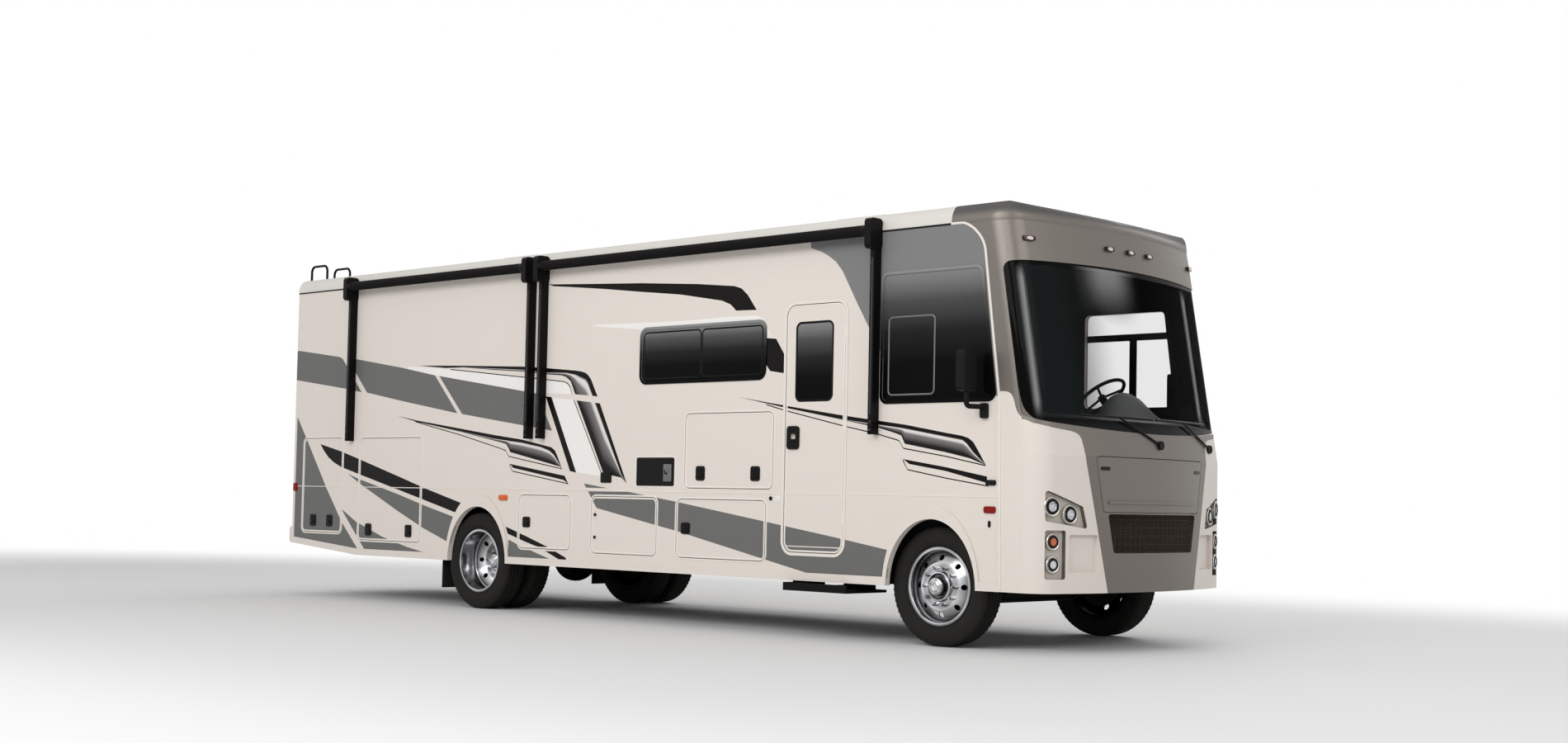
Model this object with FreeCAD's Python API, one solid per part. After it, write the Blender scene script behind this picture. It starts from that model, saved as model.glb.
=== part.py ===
# A motorhome of the class with a flat front, built on a bare truck chassis.
# Lengths are in millimetres. X points forward, Y to the left and Z up.
# The origin lies on the ground, midway between nose and ladder, on the centre plane.
import FreeCAD, Part
import math
import os

V = FreeCAD.Vector

# Overall body
BODY_WIDTH = 2565.0
BODY_HALF = BODY_WIDTH / 2
NOSE_X = 4955.0
TAIL_X = -4880.0
SKIRT_BOTTOM = 445.0
BELT_Z = 1135.0
WALL_TOP = 3190.0
ROOF_EDGE_Z = 3330.0
ROOF_CROWN = 55.0
WALL = 45.0
FLOOR_TOP = 1130.0
FLOOR_THICK = 50.0
FLOOR_UNDER = FLOOR_TOP - FLOOR_THICK
INNER_HALF = BODY_HALF - WALL

# Clearances shared by all fits
SEAT_GAP = 0.3
PANEL_GAP = 6.0
OVERRUN = 40.0

# Front edge of the side walls, seen from the side
EDGE_TOP_X = 4060.0
EDGE_SHOULDER_X = 4178.0
EDGE_SHOULDER_Z = 3112.0
EDGE_BROW_X = 4250.0
EDGE_BROW_Z = 2980.0
EDGE_SILL_X = 4395.0
EDGE_SILL_Z = 1880.0
EDGE_LOW_X = 4425.0
ROOF_FRONT_X = 3930.0

# Front cap
CAP_SHELL = 40.0
CAP_FRONT_RADIUS = 4170.0
CAP_CORNER_RADIUS = 200.0
CAP_REAR_X = 3860.0
CAP_UPRIGHT_Z = 1450.0
CAP_RAKED_Z = 3050.0
CAP_RAKED_X = 4675.0
CAP_BROW_X = 4648.0
BROW_INSET = 230.0
ROOF_SIDE_INSET = 75.0
BROW_STEPS = 4
CAP_CEILING = 45.0
CROWN_FRONT_X = 4400.0
CROWN_MARGIN = 15.0
CROWN_SINK = 4.0
CROWN_FRONT_SINK = 6.0
CROWN_FRONT_DIP = 2.0

# Windscreen opening, as seen from the side; it wraps round both corners of the cap
SCREEN_TOP_Z = 2905.0
SCREEN_TOP_X = 4720.0
SCREEN_BROW_X = 4400.0
SCREEN_BROW_Z = 2872.0
SCREEN_HEEL_X = 4592.0
SCREEN_HEEL_Z = 1738.0
SCREEN_TOE_X = 4930.0
SCREEN_SILL_Z = 1637.0
SCREEN_CORNER = 60.0
SCREEN_SINK = 8.0
SCREEN_GLASS = 10.0

# Front hatch and grille
HATCH_TOP_Z = 1449.0
HATCH_SILL_Z = 1045.0
HATCH_TOP_HALF = 740.0
HATCH_SILL_HALF = 658.0
HATCH_CORNER = 22.0
HATCH_THICK = 28.0
HATCH_LIP = 16.0
HATCH_RIDGE_Z = 1106.0
HATCH_RIDGE = 18.0
HATCH_RIDGE_PROUD = 14.0
HATCH_RIDGE_CORNER = 6.0
HATCH_LATCH_Y = 648.0
HATCH_LATCH_Z = 1364.0
HATCH_LATCH_WIDE = 96.0
HATCH_LATCH_TALL = 26.0
HATCH_LATCH_PROUD = 5.0
HATCH_LATCH_CORNER = 6.5
GRILLE_TOP_Z = 1028.0
GRILLE_SILL_Z = 738.0
GRILLE_TOP_HALF = 612.0
GRILLE_SILL_HALF = 545.0
GRILLE_SINK = 26.0
GRILLE_BAR = 7.0
GRILLE_PITCH = 62.0
GRILLE_FRAME = 16.0

# Lamp recesses in the front cap, as seen from the front, on the right side
POD_OUTER_Y = 1205.0
POD_INNER_Y = 868.0
POD_SHOULDER_Y = 820.0
POD_TOP_Z = 1195.0
POD_SHOULDER_Z = 1078.0
POD_LOW_OUTER_Z = 968.0
POD_LOW_INNER_Z = 915.0
LOW_POD_TOP_Z = 903.0
LOW_POD_INNER_Y = 1030.0
LOW_POD_SILL_Z = 548.0
SCOOP_OUTER_Y = 1000.0
SCOOP_INNER_Y = 712.0
SCOOP_TOP_Z = 872.0
SCOOP_SILL_Z = 600.0
POD_CORNER = 18.0
POD_WALL = 6.0
HEADLAMP_RADIUS = 52.0
SMALL_LAMP_RADIUS = 42.0
LAMP_DEPTH = 30.0
HEADLAMP_Y_OUTER = 1150.0
HEADLAMP_Z_OUTER = 1075.0
HEADLAMP_Y_INNER = 985.0
HEADLAMP_Z_INNER = 1020.0
TURN_LAMP_Y = 1140.0
TURN_LAMP_Z = 820.0
FOG_LAMP_Z = 655.0

# Roof marker lamps
MARKER_Z = 3052.0
MARKER_PITCH = 278.0
MARKER_OUTER_Y = 1125.0
MARKER_LONG = 100.0
MARKER_TALL = 34.0
MARKER_PROUD = 20.0
MARKER_CORNER = 11.0

# Skirts and their arches
SILL_TALL = 65.0
SILL_PROUD = 14.0
KINK_X = -3670.0
TAIL_SKIRT_RISE = 96.0
FLARE_PROUD = 16.0
FRONT_ARCH_X = 3778.0
ARCH_BASE_Z = 443.0
FRONT_ARCH_HALF = 432.0
FRONT_ARCH_TALL = 521.0
FRONT_FLARE_HALF = 463.0
FRONT_FLARE_TALL = 626.0
REAR_ARCH_X = -1712.0
REAR_ARCH_HALF = 440.0
REAR_ARCH_TALL = 527.0
REAR_FLARE_HALF = 476.0
REAR_FLARE_TALL = 652.0

# Wheel housings behind the skirts
HOUSING_SHEET = 8.0
FRONT_HOUSING_HALF = 560.0
FRONT_HOUSING_TALL = 578.0
REAR_HOUSING_HALF = 524.0
REAR_HOUSING_TALL = 578.0
HOUSING_INNER_Y = 600.0

# Side windows on the right
CAB_WINDOW_REAR_X = 3275.0
CAB_WINDOW_TOP_FRONT_X = 4212.0
CAB_WINDOW_SILL_FRONT_X = 4352.0
CAB_WINDOW_SILL_Z = 1865.0
CAB_WINDOW_TOP_Z = 2842.0
CAB_WINDOW_CORNER = 45.0
LIVING_WINDOW_REAR_X = 530.0
LIVING_WINDOW_FRONT_X = 2007.0
LIVING_WINDOW_SILL_Z = 2090.0
LIVING_WINDOW_TOP_Z = 2542.0
WINDOW_CORNER = 60.0
WINDOW_RIM = 24.0
WINDOW_RIM_PROUD = 7.0
GLASS = 8.0
GLASS_SINK = 2.0

# Side windows on the left
DRIVER_WINDOW_REAR_X = 3434.0
DRIVER_WINDOW_SILL_Z = 1925.0
DRIVER_WINDOW_TOP_Z = 2730.0
DRIVER_WINDOW_TOP_FRONT_X = 4225.0
DRIVER_WINDOW_SILL_FRONT_X = 4335.0
TRANSOM_LOW_Z = 2500.0
TRANSOM_TALL = 58.0
MULLION_X = 3897.0
MULLION_WIDE = 70.0
BED_WINDOW_REAR_X = -3900.0
BED_WINDOW_FRONT_X = -3200.0
BED_WINDOW_SILL_Z = 2060.0
BED_WINDOW_TOP_Z = 2560.0

# Entry door
ENTRY_REAR_X = 2262.0
ENTRY_FRONT_X = 2888.0
ENTRY_SILL_Z = 672.0
ENTRY_TOP_Z = 2658.0
ENTRY_CORNER = 88.0
ENTRY_THICK = 38.0
ENTRY_FRAME = 24.0
ENTRY_FRAME_PROUD = 5.0
ENTRY_PANE_REAR_X = 2365.0
ENTRY_PANE_FRONT_X = 2755.0
ENTRY_PANE_SILL_Z = 1885.0
ENTRY_PANE_TOP_Z = 2515.0
ENTRY_PANE_CORNER = 48.0
ENTRY_HANDLE_REAR_X = 2285.0
ENTRY_HANDLE_FRONT_X = 2415.0
ENTRY_HANDLE_LOW_Z = 1495.0
ENTRY_HANDLE_TOP_Z = 1683.0
ENTRY_HANDLE_CORNER = 30.0
ENTRY_HANDLE_PROUD = 16.0
ENTRY_HOLD_WIDE = 62.0
ENTRY_HOLD_DEEP = 28.0
STEPWELL_SHEET = 18.0
STEPWELL_INNER_Y = 790.0
STEPWELL_RISER = 235.0
STEPWELL_GOING = 215.0

# Luggage doors shared sizes
LUGGAGE_THICK = 34.0
LUGGAGE_CORNER = 52.0
LUGGAGE_LIP = 14.0
LATCH_WIDE = 104.0
LATCH_TALL = 122.0
SIDE_LATCH_TALL = 98.0
LATCH_CORNER = 22.0
LATCH_PROUD = 9.0
BIN_SHEET = 14.0
BIN_MARGIN = 16.0
BIN_INNER_Y = 500.0
TALL_BIN_INNER_Y = 700.0
SCREEN_BIN_INNER_Y = 900.0
LOCKER_INNER_Y = 1040.0

# Rear luggage door on the right, hinged along its top
REAR_BIN_SETBACK = 190.0
REAR_BIN_LONG = 710.0
REAR_BIN_REAR_X = TAIL_X + REAR_BIN_SETBACK
REAR_BIN_FRONT_X = REAR_BIN_REAR_X + REAR_BIN_LONG
REAR_BIN_SILL_Z = 665.0
REAR_BIN_TOP_Z = 1636.0
REAR_LATCH_INSET = 205.0
REAR_LATCH_Z = 784.0

# Tall luggage door behind the rear wheel, hinged along its top
TALL_BIN_SPACING = 308.0
TALL_BIN_LONG = 1046.0
TALL_BIN_REAR_X = REAR_BIN_FRONT_X + TALL_BIN_SPACING
TALL_BIN_FRONT_X = TALL_BIN_REAR_X + TALL_BIN_LONG
TALL_BIN_SILL_Z = 604.0
TALL_BIN_TOP_Z = 1630.0
TALL_LATCH_INSET = 184.0
TALL_LATCH_Z = 709.0

# Low luggage doors on the right, hinged along their front edges
AFT_BIN_REAR_X = -1100.0
AFT_BIN_FRONT_X = -378.0
AFT_BIN_SILL_Z = 600.0
AFT_BIN_TOP_Z = 1084.0
AFT_LATCH_Z = 838.0
MID_BIN_REAR_X = -85.0
MID_BIN_FRONT_X = 757.0
MID_BIN_SILL_Z = 585.0
MID_BIN_TOP_Z = 1083.0
MID_CATCH_LOW_Z = 724.0
MID_CATCH_TOP_Z = 924.0
MID_CATCH = 26.0
MID_CATCH_CORNER = 6.5
MID_CATCH_INSET = 52.0
FORE_BIN_REAR_X = 1010.0
FORE_BIN_FRONT_X = 2050.0
FORE_BIN_SILL_Z = 585.0
FORE_BIN_TOP_Z = 1074.0
FORE_LATCH_Z = 831.0
LATCH_EDGE = 62.0

# Upper door over an outdoor screen, hinged along its top
SCREEN_DOOR_REAR_X = 1100.0
SCREEN_DOOR_FRONT_X = 2122.0
SCREEN_DOOR_SILL_Z = 1174.0
SCREEN_DOOR_TOP_Z = 1800.0
SCREEN_LATCH_INSET = 190.0
SCREEN_LATCH_Z = 1298.0

# Small service locker with a black lid
LOCKER_REAR_X = 496.0
LOCKER_FRONT_X = 963.0
LOCKER_SILL_Z = 1190.0
LOCKER_TOP_Z = 1426.0
LOCKER_CORNER = 14.0
LOCKER_THICK = 20.0
LOCKER_LOCK_X = 870.0
LOCKER_LOCK_RADIUS = 22.0
LOCKER_LOCK_PROUD = 8.0

# Low luggage doors on the left, hinged along their front edges
LEFT_AFT_REAR_X = -1000.0
LEFT_AFT_FRONT_X = 420.0
LEFT_FORE_REAR_X = 900.0
LEFT_FORE_FRONT_X = 2700.0
LEFT_BIN_SILL_Z = 595.0
LEFT_BIN_TOP_Z = 1075.0

# Slide-out room on the left
SLIDE_REAR_X = -1150.0
SLIDE_FRONT_X = 2250.0
SLIDE_SILL_Z = 1190.0
SLIDE_HEAD = 130.0
SLIDE_TOP_Z = WALL_TOP - SLIDE_HEAD
SLIDE_CLEAR = 8.0
SLIDE_WALL = 35.0
SLIDE_FLANGE = 45.0
SLIDE_FLANGE_THICK = 20.0
SLIDE_DEEP = 700.0
SLIDE_CORNER = 18.0
SLIDE_PANE_WIDE = 1000.0
SLIDE_PANE_TALL = 560.0
SLIDE_PANE_SILL_Z = 2020.0
SLIDE_PANE_INSET = 420.0

# Wheels
TYRE_RADIUS = 455.0
TYRE_WIDTH = 236.0
TREAD_WIDTH = 196.0
TREAD_CHAMFER = 12.0
TYRE_BEAD_RADIUS = 290.0
TYRE_BULGE_RADIUS = 368.0
TYRE_UPPER_RADIUS = 406.0
TYRE_UPPER_SINK = 3.0
TYRE_SIDES = 48
FRONT_AXLE_X = 3770.0
REAR_AXLE_X = -1765.0
FRONT_TRACK = 2136.0
REAR_TRACK = 1926.0
TWIN_SPACING = 310.0
AXLE_Z = TYRE_RADIUS
RIM_SHEET = 12.0
RIM_FLANGE_TALL = 10.0
RIM_WIDTH = 196.0
RIM_DISC = 14.0
RIM_DISC_BOW = 52.0
HUB_RADIUS = 112.0
HUB_CAP_RADIUS = 74.0
HUB_CAP_LONG = 70.0
HUB_CAP_EDGE = 24.0
HUB_BORE_RADIUS = 44.0
HUB_BORE_LONG = 118.0
HAND_HOLE_RADIUS = 22.0
HAND_HOLE_CIRCLE = 216.0
HAND_HOLES = 8
STUD_CIRCLE = 142.0
STUD_RADIUS = 14.0
STUD_LONG = 30.0
STUDS = 10
DRUM_RADIUS = 205.0
DRUM_WIDE = 120.0

# Steering
KINGPIN_OFFSET = 150.0
KINGPIN_RADIUS = 20.0
KINGPIN_BOSS_RADIUS = 46.0
KINGPIN_BOSS_TALL = 110.0
FORK_THICK = 36.0
FORK_REACH = 62.0
SPINDLE_RADIUS = HUB_BORE_RADIUS - SEAT_GAP
STEER_ARM = 200.0
STEER_ARM_THICK = 26.0
STEER_ARM_WIDE = 44.0
BALL_PIN_RADIUS = 10.0
BALL_PIN_LONG = 34.0
TIE_EYE_RADIUS = 23.0
TIE_EYE_TALL = 26.0
TIE_ROD_RADIUS = 11.0

# Chassis
RAIL_OUTER_Y = 432.0
RAIL_TALL = 240.0
RAIL_FLANGE = 75.0
RAIL_PLATE = 8.0
RAIL_TOP = 960.0
RAIL_UNDER = RAIL_TOP - RAIL_TALL
RAIL_REAR_X = -4790.0
RAIL_FRONT_X = 4560.0
CROSS_WIDE = 90.0
CROSS_TALL = 120.0
CROSS_COUNT = 6
BEARER_WIDE = 60.0
BEARER_COUNT = 9
RECEIVER_OUTER = 64.0
RECEIVER_INNER = 51.0
RECEIVER_LONG = 230.0
RECEIVER_Z = 470.0
RECEIVER_BEAM = 80.0
RECEIVER_PLATE = 12.0
RECEIVER_END_X = -4950.0
RECEIVER_PIN_RADIUS = 8.2
RECEIVER_PIN_SETBACK = 63.0

# Axles and springs
BEAM_TALL = 92.0
BEAM_WIDE = 88.0
BEAM_DROP = 96.0
BEAM_FLAT_HALF = 560.0
BEAM_WEB = 26.0
BEAM_FLANGE_THICK = 20.0
SPRING_Y = 395.0
SPRING_WIDE = 66.0
SPRING_LEAF = 13.0
SPRING_LEAVES = 5
SPRING_FRONT_HALF = 640.0
SPRING_REAR_HALF = 760.0
SPRING_CAMBER = 70.0
SPRING_EYE = 30.0
AXLE_TUBE_RADIUS = 66.0
DIFF_RADIUS = 215.0
DIFF_LONG = 300.0
REAR_SPINDLE_RADIUS = 43.7

# Power unit
ENGINE_REAR_X = 3440.0
ENGINE_LONG = 820.0
ENGINE_HALF = 335.0
ENGINE_UNDER = 500.0
ENGINE_TOP = 1062.0
ENGINE_CORNER = 45.0
GEARBOX_LONG = 620.0
GEARBOX_RADIUS = 165.0
GEARBOX_TAIL_RADIUS = 90.0
GEARBOX_Z = 670.0
SHAFT_RADIUS = 48.0

# Tanks and exhaust
FUEL_REAR_X = -4250.0
FUEL_FRONT_X = -2950.0
FUEL_HALF = RAIL_OUTER_Y - RAIL_FLANGE
FUEL_UNDER = 450.0
FUEL_TOP = 790.0
FUEL_CORNER = 60.0
SILENCER_RADIUS = 105.0
SILENCER_REAR_X = 300.0
SILENCER_LONG = 1000.0
SILENCER_Y = 225.0
SILENCER_Z = 520.0
EXHAUST_RADIUS = 38.0
EXHAUST_FRONT_X = 3200.0
EXHAUST_TURN_X = -860.0
EXHAUST_END_Y = 1250.0
EXHAUST_SLOPE = 300.0
EXHAUST_BEND = 75.0
EXHAUST_LOW_Z = 402.0

# Rear end
TAIL_LAMP_Y = 1120.0
TAIL_LAMP_WIDE = 150.0
TAIL_LAMP_TALL = 330.0
TAIL_LAMP_Z = 960.0
TAIL_LAMP_CORNER = 24.0
TAIL_LAMP_PROUD = 22.0
BUMPER_TALL = 170.0
BUMPER_PROUD = 46.0
BUMPER_CORNER = 30.0
REAR_CLEARANCE_LAMP_Z = 3130.0
REAR_CLEARANCE_PITCH = 190.0
REAR_WINDOW_HALF = 480.0
REAR_WINDOW_SILL_Z = 2060.0
REAR_WINDOW_TOP_Z = 2560.0
LADDER_NEAR_Y = -1085.0
LADDER_STEP_WIDE = 285.0
LADDER_RADIUS = 12.5
LADDER_X = -4956.5
LADDER_FOOT_Z = 960.0
LADDER_LOOP_Z = 3500.0
LADDER_ROOF_X = -4665.0
LADDER_BEND = 60.0
LADDER_MOUNT_RADIUS = 10.0
RUNG_PITCH = 290.0
LADDER_MOUNTS = 3
MUD_FLAP_Z = 175.0
MUD_FLAP_TALL = 390.0
MUD_FLAP_THICK = 9.0
MUD_FLAP_OUTER_Y = 1235.0
MUD_FLAP_INNER_Y = 690.0

# Awnings along the right
AWNING_AXIS_OUT = 104.0
AWNING_AXIS_Z = 3188.0
AWNING_ROLL_RADIUS = 44.0
AWNING_FRONT_X = 3220.0
AWNING_MID_X = -776.0
AWNING_TWIN_X = -948.0
AWNING_REAR_X = -3812.0
AWNING_ARM_WIDE = 44.0
AWNING_ARM_DEEP = 82.0
AWNING_ARM_SHELL = 6.0
AWNING_FOOT_Z = 1606.0
AWNING_HEAD_WIDE = 62.0
AWNING_HEAD_TALL = 238.0
AWNING_HEAD_Z = 3046.0
AWNING_HEAD_CORNER = 35.0
AWNING_SLOT_TALL = 120.0
AWNING_SLOT_WIDE = 16.0
AWNING_ARM_SPLIT = 26.0

# Entry step under the door
STEP_REAR_X = 2330.0
STEP_FRONT_X = 3000.0
STEP_OUTER_Y = 1355.0
STEP_INNER_Y = 860.0
STEP_UNDER = 366.0
STEP_TREAD = 22.0
STEP_TALL = 64.0
STEP_SIDE = 14.0

# Mirrors and wipers
MIRROR_BASE_X = 4270.0
MIRROR_BASE_Z = 1772.0
MIRROR_BASE_LONG = 62.0
MIRROR_BASE_TALL = 112.0
MIRROR_BASE_DEEP = 30.0
MIRROR_OUT = 167.5
MIRROR_HEAD_X = 4220.0
MIRROR_HEAD_LOW_Z = 1910.0
MIRROR_HEAD_TALL = 305.0
MIRROR_HEAD_WIDE = 162.0
MIRROR_HEAD_DEEP = 80.0
MIRROR_HEAD_CORNER = 30.0
MIRROR_ARM_RADIUS = 19.0
MIRROR_ARM_BEND = 30.4
WIPER_PIVOT_Y = 45.0
WIPER_PIVOT_Z = 1557.0
WIPER_SPAN_Y = 895.0
WIPER_BOSS_RADIUS = 34.0
WIPER_BOSS_LONG = 34.0
WIPER_ARM_RADIUS = 8.0
WIPER_REACH_Y = 510.0
WIPER_BLADE_Z = 1752.0
WIPER_BLADE_HALF = 420.0
WIPER_BLADE_RADIUS = 9.0
WIPER_OUT = 22.0

# Cab furniture
DASH_REAR_X = 4240.0
DASH_FRONT_X = 4600.0
DASH_HALF = 1140.0
DASH_TOP_Z = 1660.0
DASH_LIP_Z = 1500.0
DASH_KNEE_Z = 1330.0
DASH_KNEE_X = 4400.0
WHEEL_Y = 620.0
WHEEL_X = 4020.0
WHEEL_Z = 1985.0
WHEEL_RING_RADIUS = 215.0
WHEEL_RIM_RADIUS = 15.0
WHEEL_TILT = 38.0
SPOKES = 3
SPOKE_RADIUS = 10.5
SPOKE_FIRST_ANGLE = 90.0
COLUMN_RADIUS = 32.0
COLUMN_LONG = 520.0
COLUMN_END_GAP = 8.0
SEAT_X = 3140.0
SEAT_LONG = 560.0
SEAT_WIDE = 560.0
SEAT_CUSHION_Z = 1440.0
SEAT_CUSHION_TALL = 150.0
SEAT_BACK_TALL = 720.0
SEAT_BACK_THICK = 150.0
SEAT_LEAN = 90.0
SEAT_PEDESTAL = 320.0
SEAT_CORNER = 50.0

# Roof gear
COOLER_LONG = 760.0
COOLER_HALF = 330.0
COOLER_TALL = 150.0
COOLER_TAPER = 120.0
COOLER_FRONT_X = 2100.0
COOLER_REAR_X = -2500.0
VENT_SIDE = 400.0
VENT_TALL = 70.0
VENT_TAPER = 30.0
VENT_Y = 520.0
VENT_FRONT_X = 900.0
VENT_MID_X = -900.0
VENT_REAR_X = -4000.0


def block(x0, x1, y0, y1, z0, z1):
    return Part.makeBox(x1 - x0, y1 - y0, z1 - z0, V(x0, y0, z0))


def place(axis, at, a, b):
    """A point of a flat outline: the plane lies across the axis, at that distance."""
    if axis == "x":
        return V(at, a, b)
    if axis == "y":
        return V(a, at, b)
    return V(a, b, at)


def corner_arc(before, corner, after, radius):
    """The start, middle and end of the arc that rounds one corner of an outline."""
    u = (before - corner).normalize()
    w = (after - corner).normalize()
    half = u.getAngle(w) / 2
    reach = radius / math.tan(half)
    middle = (u + w).normalize()
    return corner + u * reach, corner + middle * (radius / math.sin(half) - radius), corner + w * reach


def plate(points, radius, axis, low, high):
    """A flat outline with rounded corners, carried along the axis from low to high."""
    corners = [place(axis, low, a, b) for a, b in points]
    arcs = []
    for i, corner in enumerate(corners):
        arcs.append(corner_arc(corners[i - 1], corner, corners[(i + 1) % len(corners)], radius))
    edges = []
    for i, (start, middle, end) in enumerate(arcs):
        following = arcs[(i + 1) % len(arcs)][0]
        edges.append(Part.Arc(start, middle, end).toShape())
        if end.distanceToPoint(following) > SEAT_GAP:
            edges.append(Part.LineSegment(end, following).toShape())
    face = Part.Face(Part.Wire(Part.__sortEdges__(edges)))
    return face.extrude(place(axis, high, 0, 0) - place(axis, low, 0, 0))


def prism(points, axis, low, high):
    """A flat outline with sharp corners, carried along the axis from low to high."""
    ring = [place(axis, low, a, b) for a, b in points]
    face = Part.Face(Part.makePolygon(ring + ring[:1]))
    return face.extrude(place(axis, high, 0, 0) - place(axis, low, 0, 0))


def rectangle(a0, a1, b0, b1):
    return [(a0, b0), (a1, b0), (a1, b1), (a0, b1)]


def rod(start, end, radius):
    return Part.makeCylinder(radius, (end - start).Length, start, end - start)


def bent_tube(points, radius, bend):
    """A round tube along straight runs that are joined by arcs of one bend radius."""
    edges = []
    start = points[0]
    for i in range(1, len(points) - 1):
        first, middle, last = corner_arc(points[i - 1], points[i], points[i + 1], bend)
        edges.append(Part.LineSegment(start, first).toShape())
        edges.append(Part.Arc(first, middle, last).toShape())
        start = last
    edges.append(Part.LineSegment(start, points[-1]).toShape())
    path = Part.Wire(edges)
    ring = Part.Wire(Part.makeCircle(radius, points[0], points[1] - points[0]))
    return path.makePipeShell([ring], True, False)


def fuse(shapes):
    joined = shapes[0]
    if len(shapes) > 1:
        joined = joined.multiFuse(shapes[1:])
    return joined.removeSplitter()


def mirrored(shape):
    return shape.mirror(V(0, 0, 0), V(0, 1, 0))


def both_sides(shape):
    return [shape, mirrored(shape)]


def save(name, shapes):
    """Writes one node as its solids."""
    solids = []
    for shape in shapes:
        solids.extend(shape.Solids)
    body = solids[0] if len(solids) == 1 else Part.makeCompound(solids)
    body.exportStep("parts/" + name + ".step")
    print(name, len(solids), "solids", "valid" if body.isValid() else "NOT VALID")


# The front cap: one round plan outline, drawn at several heights and lofted

def cap_front_x(z):
    """How far forward the middle of the cap reaches at a height."""
    if z <= CAP_UPRIGHT_Z:
        return NOSE_X
    rake = (z - CAP_UPRIGHT_Z) / (CAP_RAKED_Z - CAP_UPRIGHT_Z)
    return NOSE_X + (CAP_RAKED_X - NOSE_X) * rake


def cap_section(z, front_x, half, inset, pull):
    """Plan outline of the cap: two sides, two round corners and one long front arc."""
    radius = CAP_FRONT_RADIUS - inset
    corner = CAP_CORNER_RADIUS - inset
    front = front_x - inset
    half = half - inset
    middle_x = front - radius
    corner_y = half - corner
    corner_x = middle_x + math.sqrt((radius - corner) ** 2 - corner_y ** 2)
    turn = math.atan2(corner_y, corner_x - middle_x)
    tip = V(middle_x + radius * math.cos(turn), radius * math.sin(turn), z)
    slant = (turn + math.pi / 2) / 2
    knee = V(corner_x + corner * math.cos(slant), corner_y + corner * math.sin(slant), z)
    side = V(corner_x, half, z)
    back = V(CAP_REAR_X - pull, half, z)

    def other(point):
        return V(point.x, -point.y, point.z)

    edges = [
        Part.LineSegment(back, side).toShape(),
        Part.Arc(side, knee, tip).toShape(),
        Part.Arc(tip, V(front, 0, z), other(tip)).toShape(),
        Part.Arc(other(tip), other(knee), other(side)).toShape(),
        Part.LineSegment(other(side), other(back)).toShape(),
        Part.LineSegment(other(back), back).toShape(),
    ]
    return Part.Wire(edges)


def cap_solid(inset, low, pull):
    """The filled cap, or the space inside it when the inset is its wall."""
    sections = []
    for z in (low, CAP_UPRIGHT_Z, CAP_RAKED_Z):
        sections.append(cap_section(z, cap_front_x(z), BODY_HALF, inset, pull))
    rise = ROOF_EDGE_Z - WALL_TOP - inset * (CAP_CEILING / CAP_SHELL)
    for step in range(BROW_STEPS + 1):
        angle = math.pi / 2 * step / BROW_STEPS
        z = WALL_TOP + rise * math.sin(angle)
        fall = 1 - math.cos(angle)
        front_x = CAP_BROW_X - BROW_INSET * fall
        half = BODY_HALF - ROOF_SIDE_INSET * fall
        sections.append(cap_section(z, front_x, half, inset, pull))
    return Part.makeLoft(sections, True, True)


def crown_section(x, rise, sink):
    """A flat bow over the roof, its ends just inside the flat top of the cap."""
    half = BODY_HALF - ROOF_SIDE_INSET - CROWN_MARGIN
    low = ROOF_EDGE_Z - CAP_SHELL / 2
    left, right = V(x, half, ROOF_EDGE_Z - sink), V(x, -half, ROOF_EDGE_Z - sink)
    foot_left, foot_right = V(x, half, low), V(x, -half, low)
    edges = [
        Part.Arc(left, V(x, 0, ROOF_EDGE_Z + rise), right).toShape(),
        Part.LineSegment(right, foot_right).toShape(),
        Part.LineSegment(foot_right, foot_left).toShape(),
        Part.LineSegment(foot_left, left).toShape(),
    ]
    return Part.Wire(edges)


def cap_crown():
    """The bow of the roof, run out flat towards the brow."""
    sections = [crown_section(CAP_REAR_X + PANEL_GAP, ROOF_CROWN, CROWN_SINK),
                crown_section(CROWN_FRONT_X, -CROWN_FRONT_DIP, CROWN_FRONT_SINK)]
    return Part.makeLoft(sections, True, True)


def wall_edge_outline(rear_x, low_z, top_z):
    """Everything behind the front edge of the side walls, as an outline seen from the side."""
    return [
        (rear_x, low_z), (EDGE_LOW_X, low_z), (EDGE_LOW_X, SKIRT_BOTTOM), (EDGE_SILL_X, EDGE_SILL_Z),
        (EDGE_BROW_X, EDGE_BROW_Z), (EDGE_SHOULDER_X, EDGE_SHOULDER_Z), (EDGE_TOP_X, WALL_TOP),
        (ROOF_FRONT_X, WALL_TOP), (ROOF_FRONT_X, top_z), (rear_x, top_z),
    ]


def front_view(points, corner):
    """A cutter through the front of the cap, from an outline seen from the front."""
    return plate(points, corner, "x", EDGE_LOW_X, NOSE_X + OVERRUN)


def trapezium(top_half, top_z, sill_half, sill_z):
    return [(-sill_half, sill_z), (sill_half, sill_z), (top_half, top_z), (-top_half, top_z)]


def hatch_outline(grow):
    return trapezium(HATCH_TOP_HALF + grow, HATCH_TOP_Z + grow, HATCH_SILL_HALF + grow, HATCH_SILL_Z - grow)


def grille_outline(grow):
    return trapezium(GRILLE_TOP_HALF + grow, GRILLE_TOP_Z + grow,
                     GRILLE_SILL_HALF + grow, GRILLE_SILL_Z - grow)


def screen_cutter():
    """The opening for the windscreen, from one side of the cap to the other."""
    ahead = NOSE_X + OVERRUN * 2
    outline = [(ahead, SCREEN_SILL_Z), (ahead, SCREEN_TOP_Z), (SCREEN_TOP_X, SCREEN_TOP_Z),
               (SCREEN_BROW_X, SCREEN_BROW_Z), (SCREEN_HEEL_X, SCREEN_HEEL_Z), (SCREEN_TOE_X, SCREEN_SILL_Z)]
    return plate(outline, SCREEN_CORNER, "y", -BODY_HALF - OVERRUN, BODY_HALF + OVERRUN)


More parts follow.
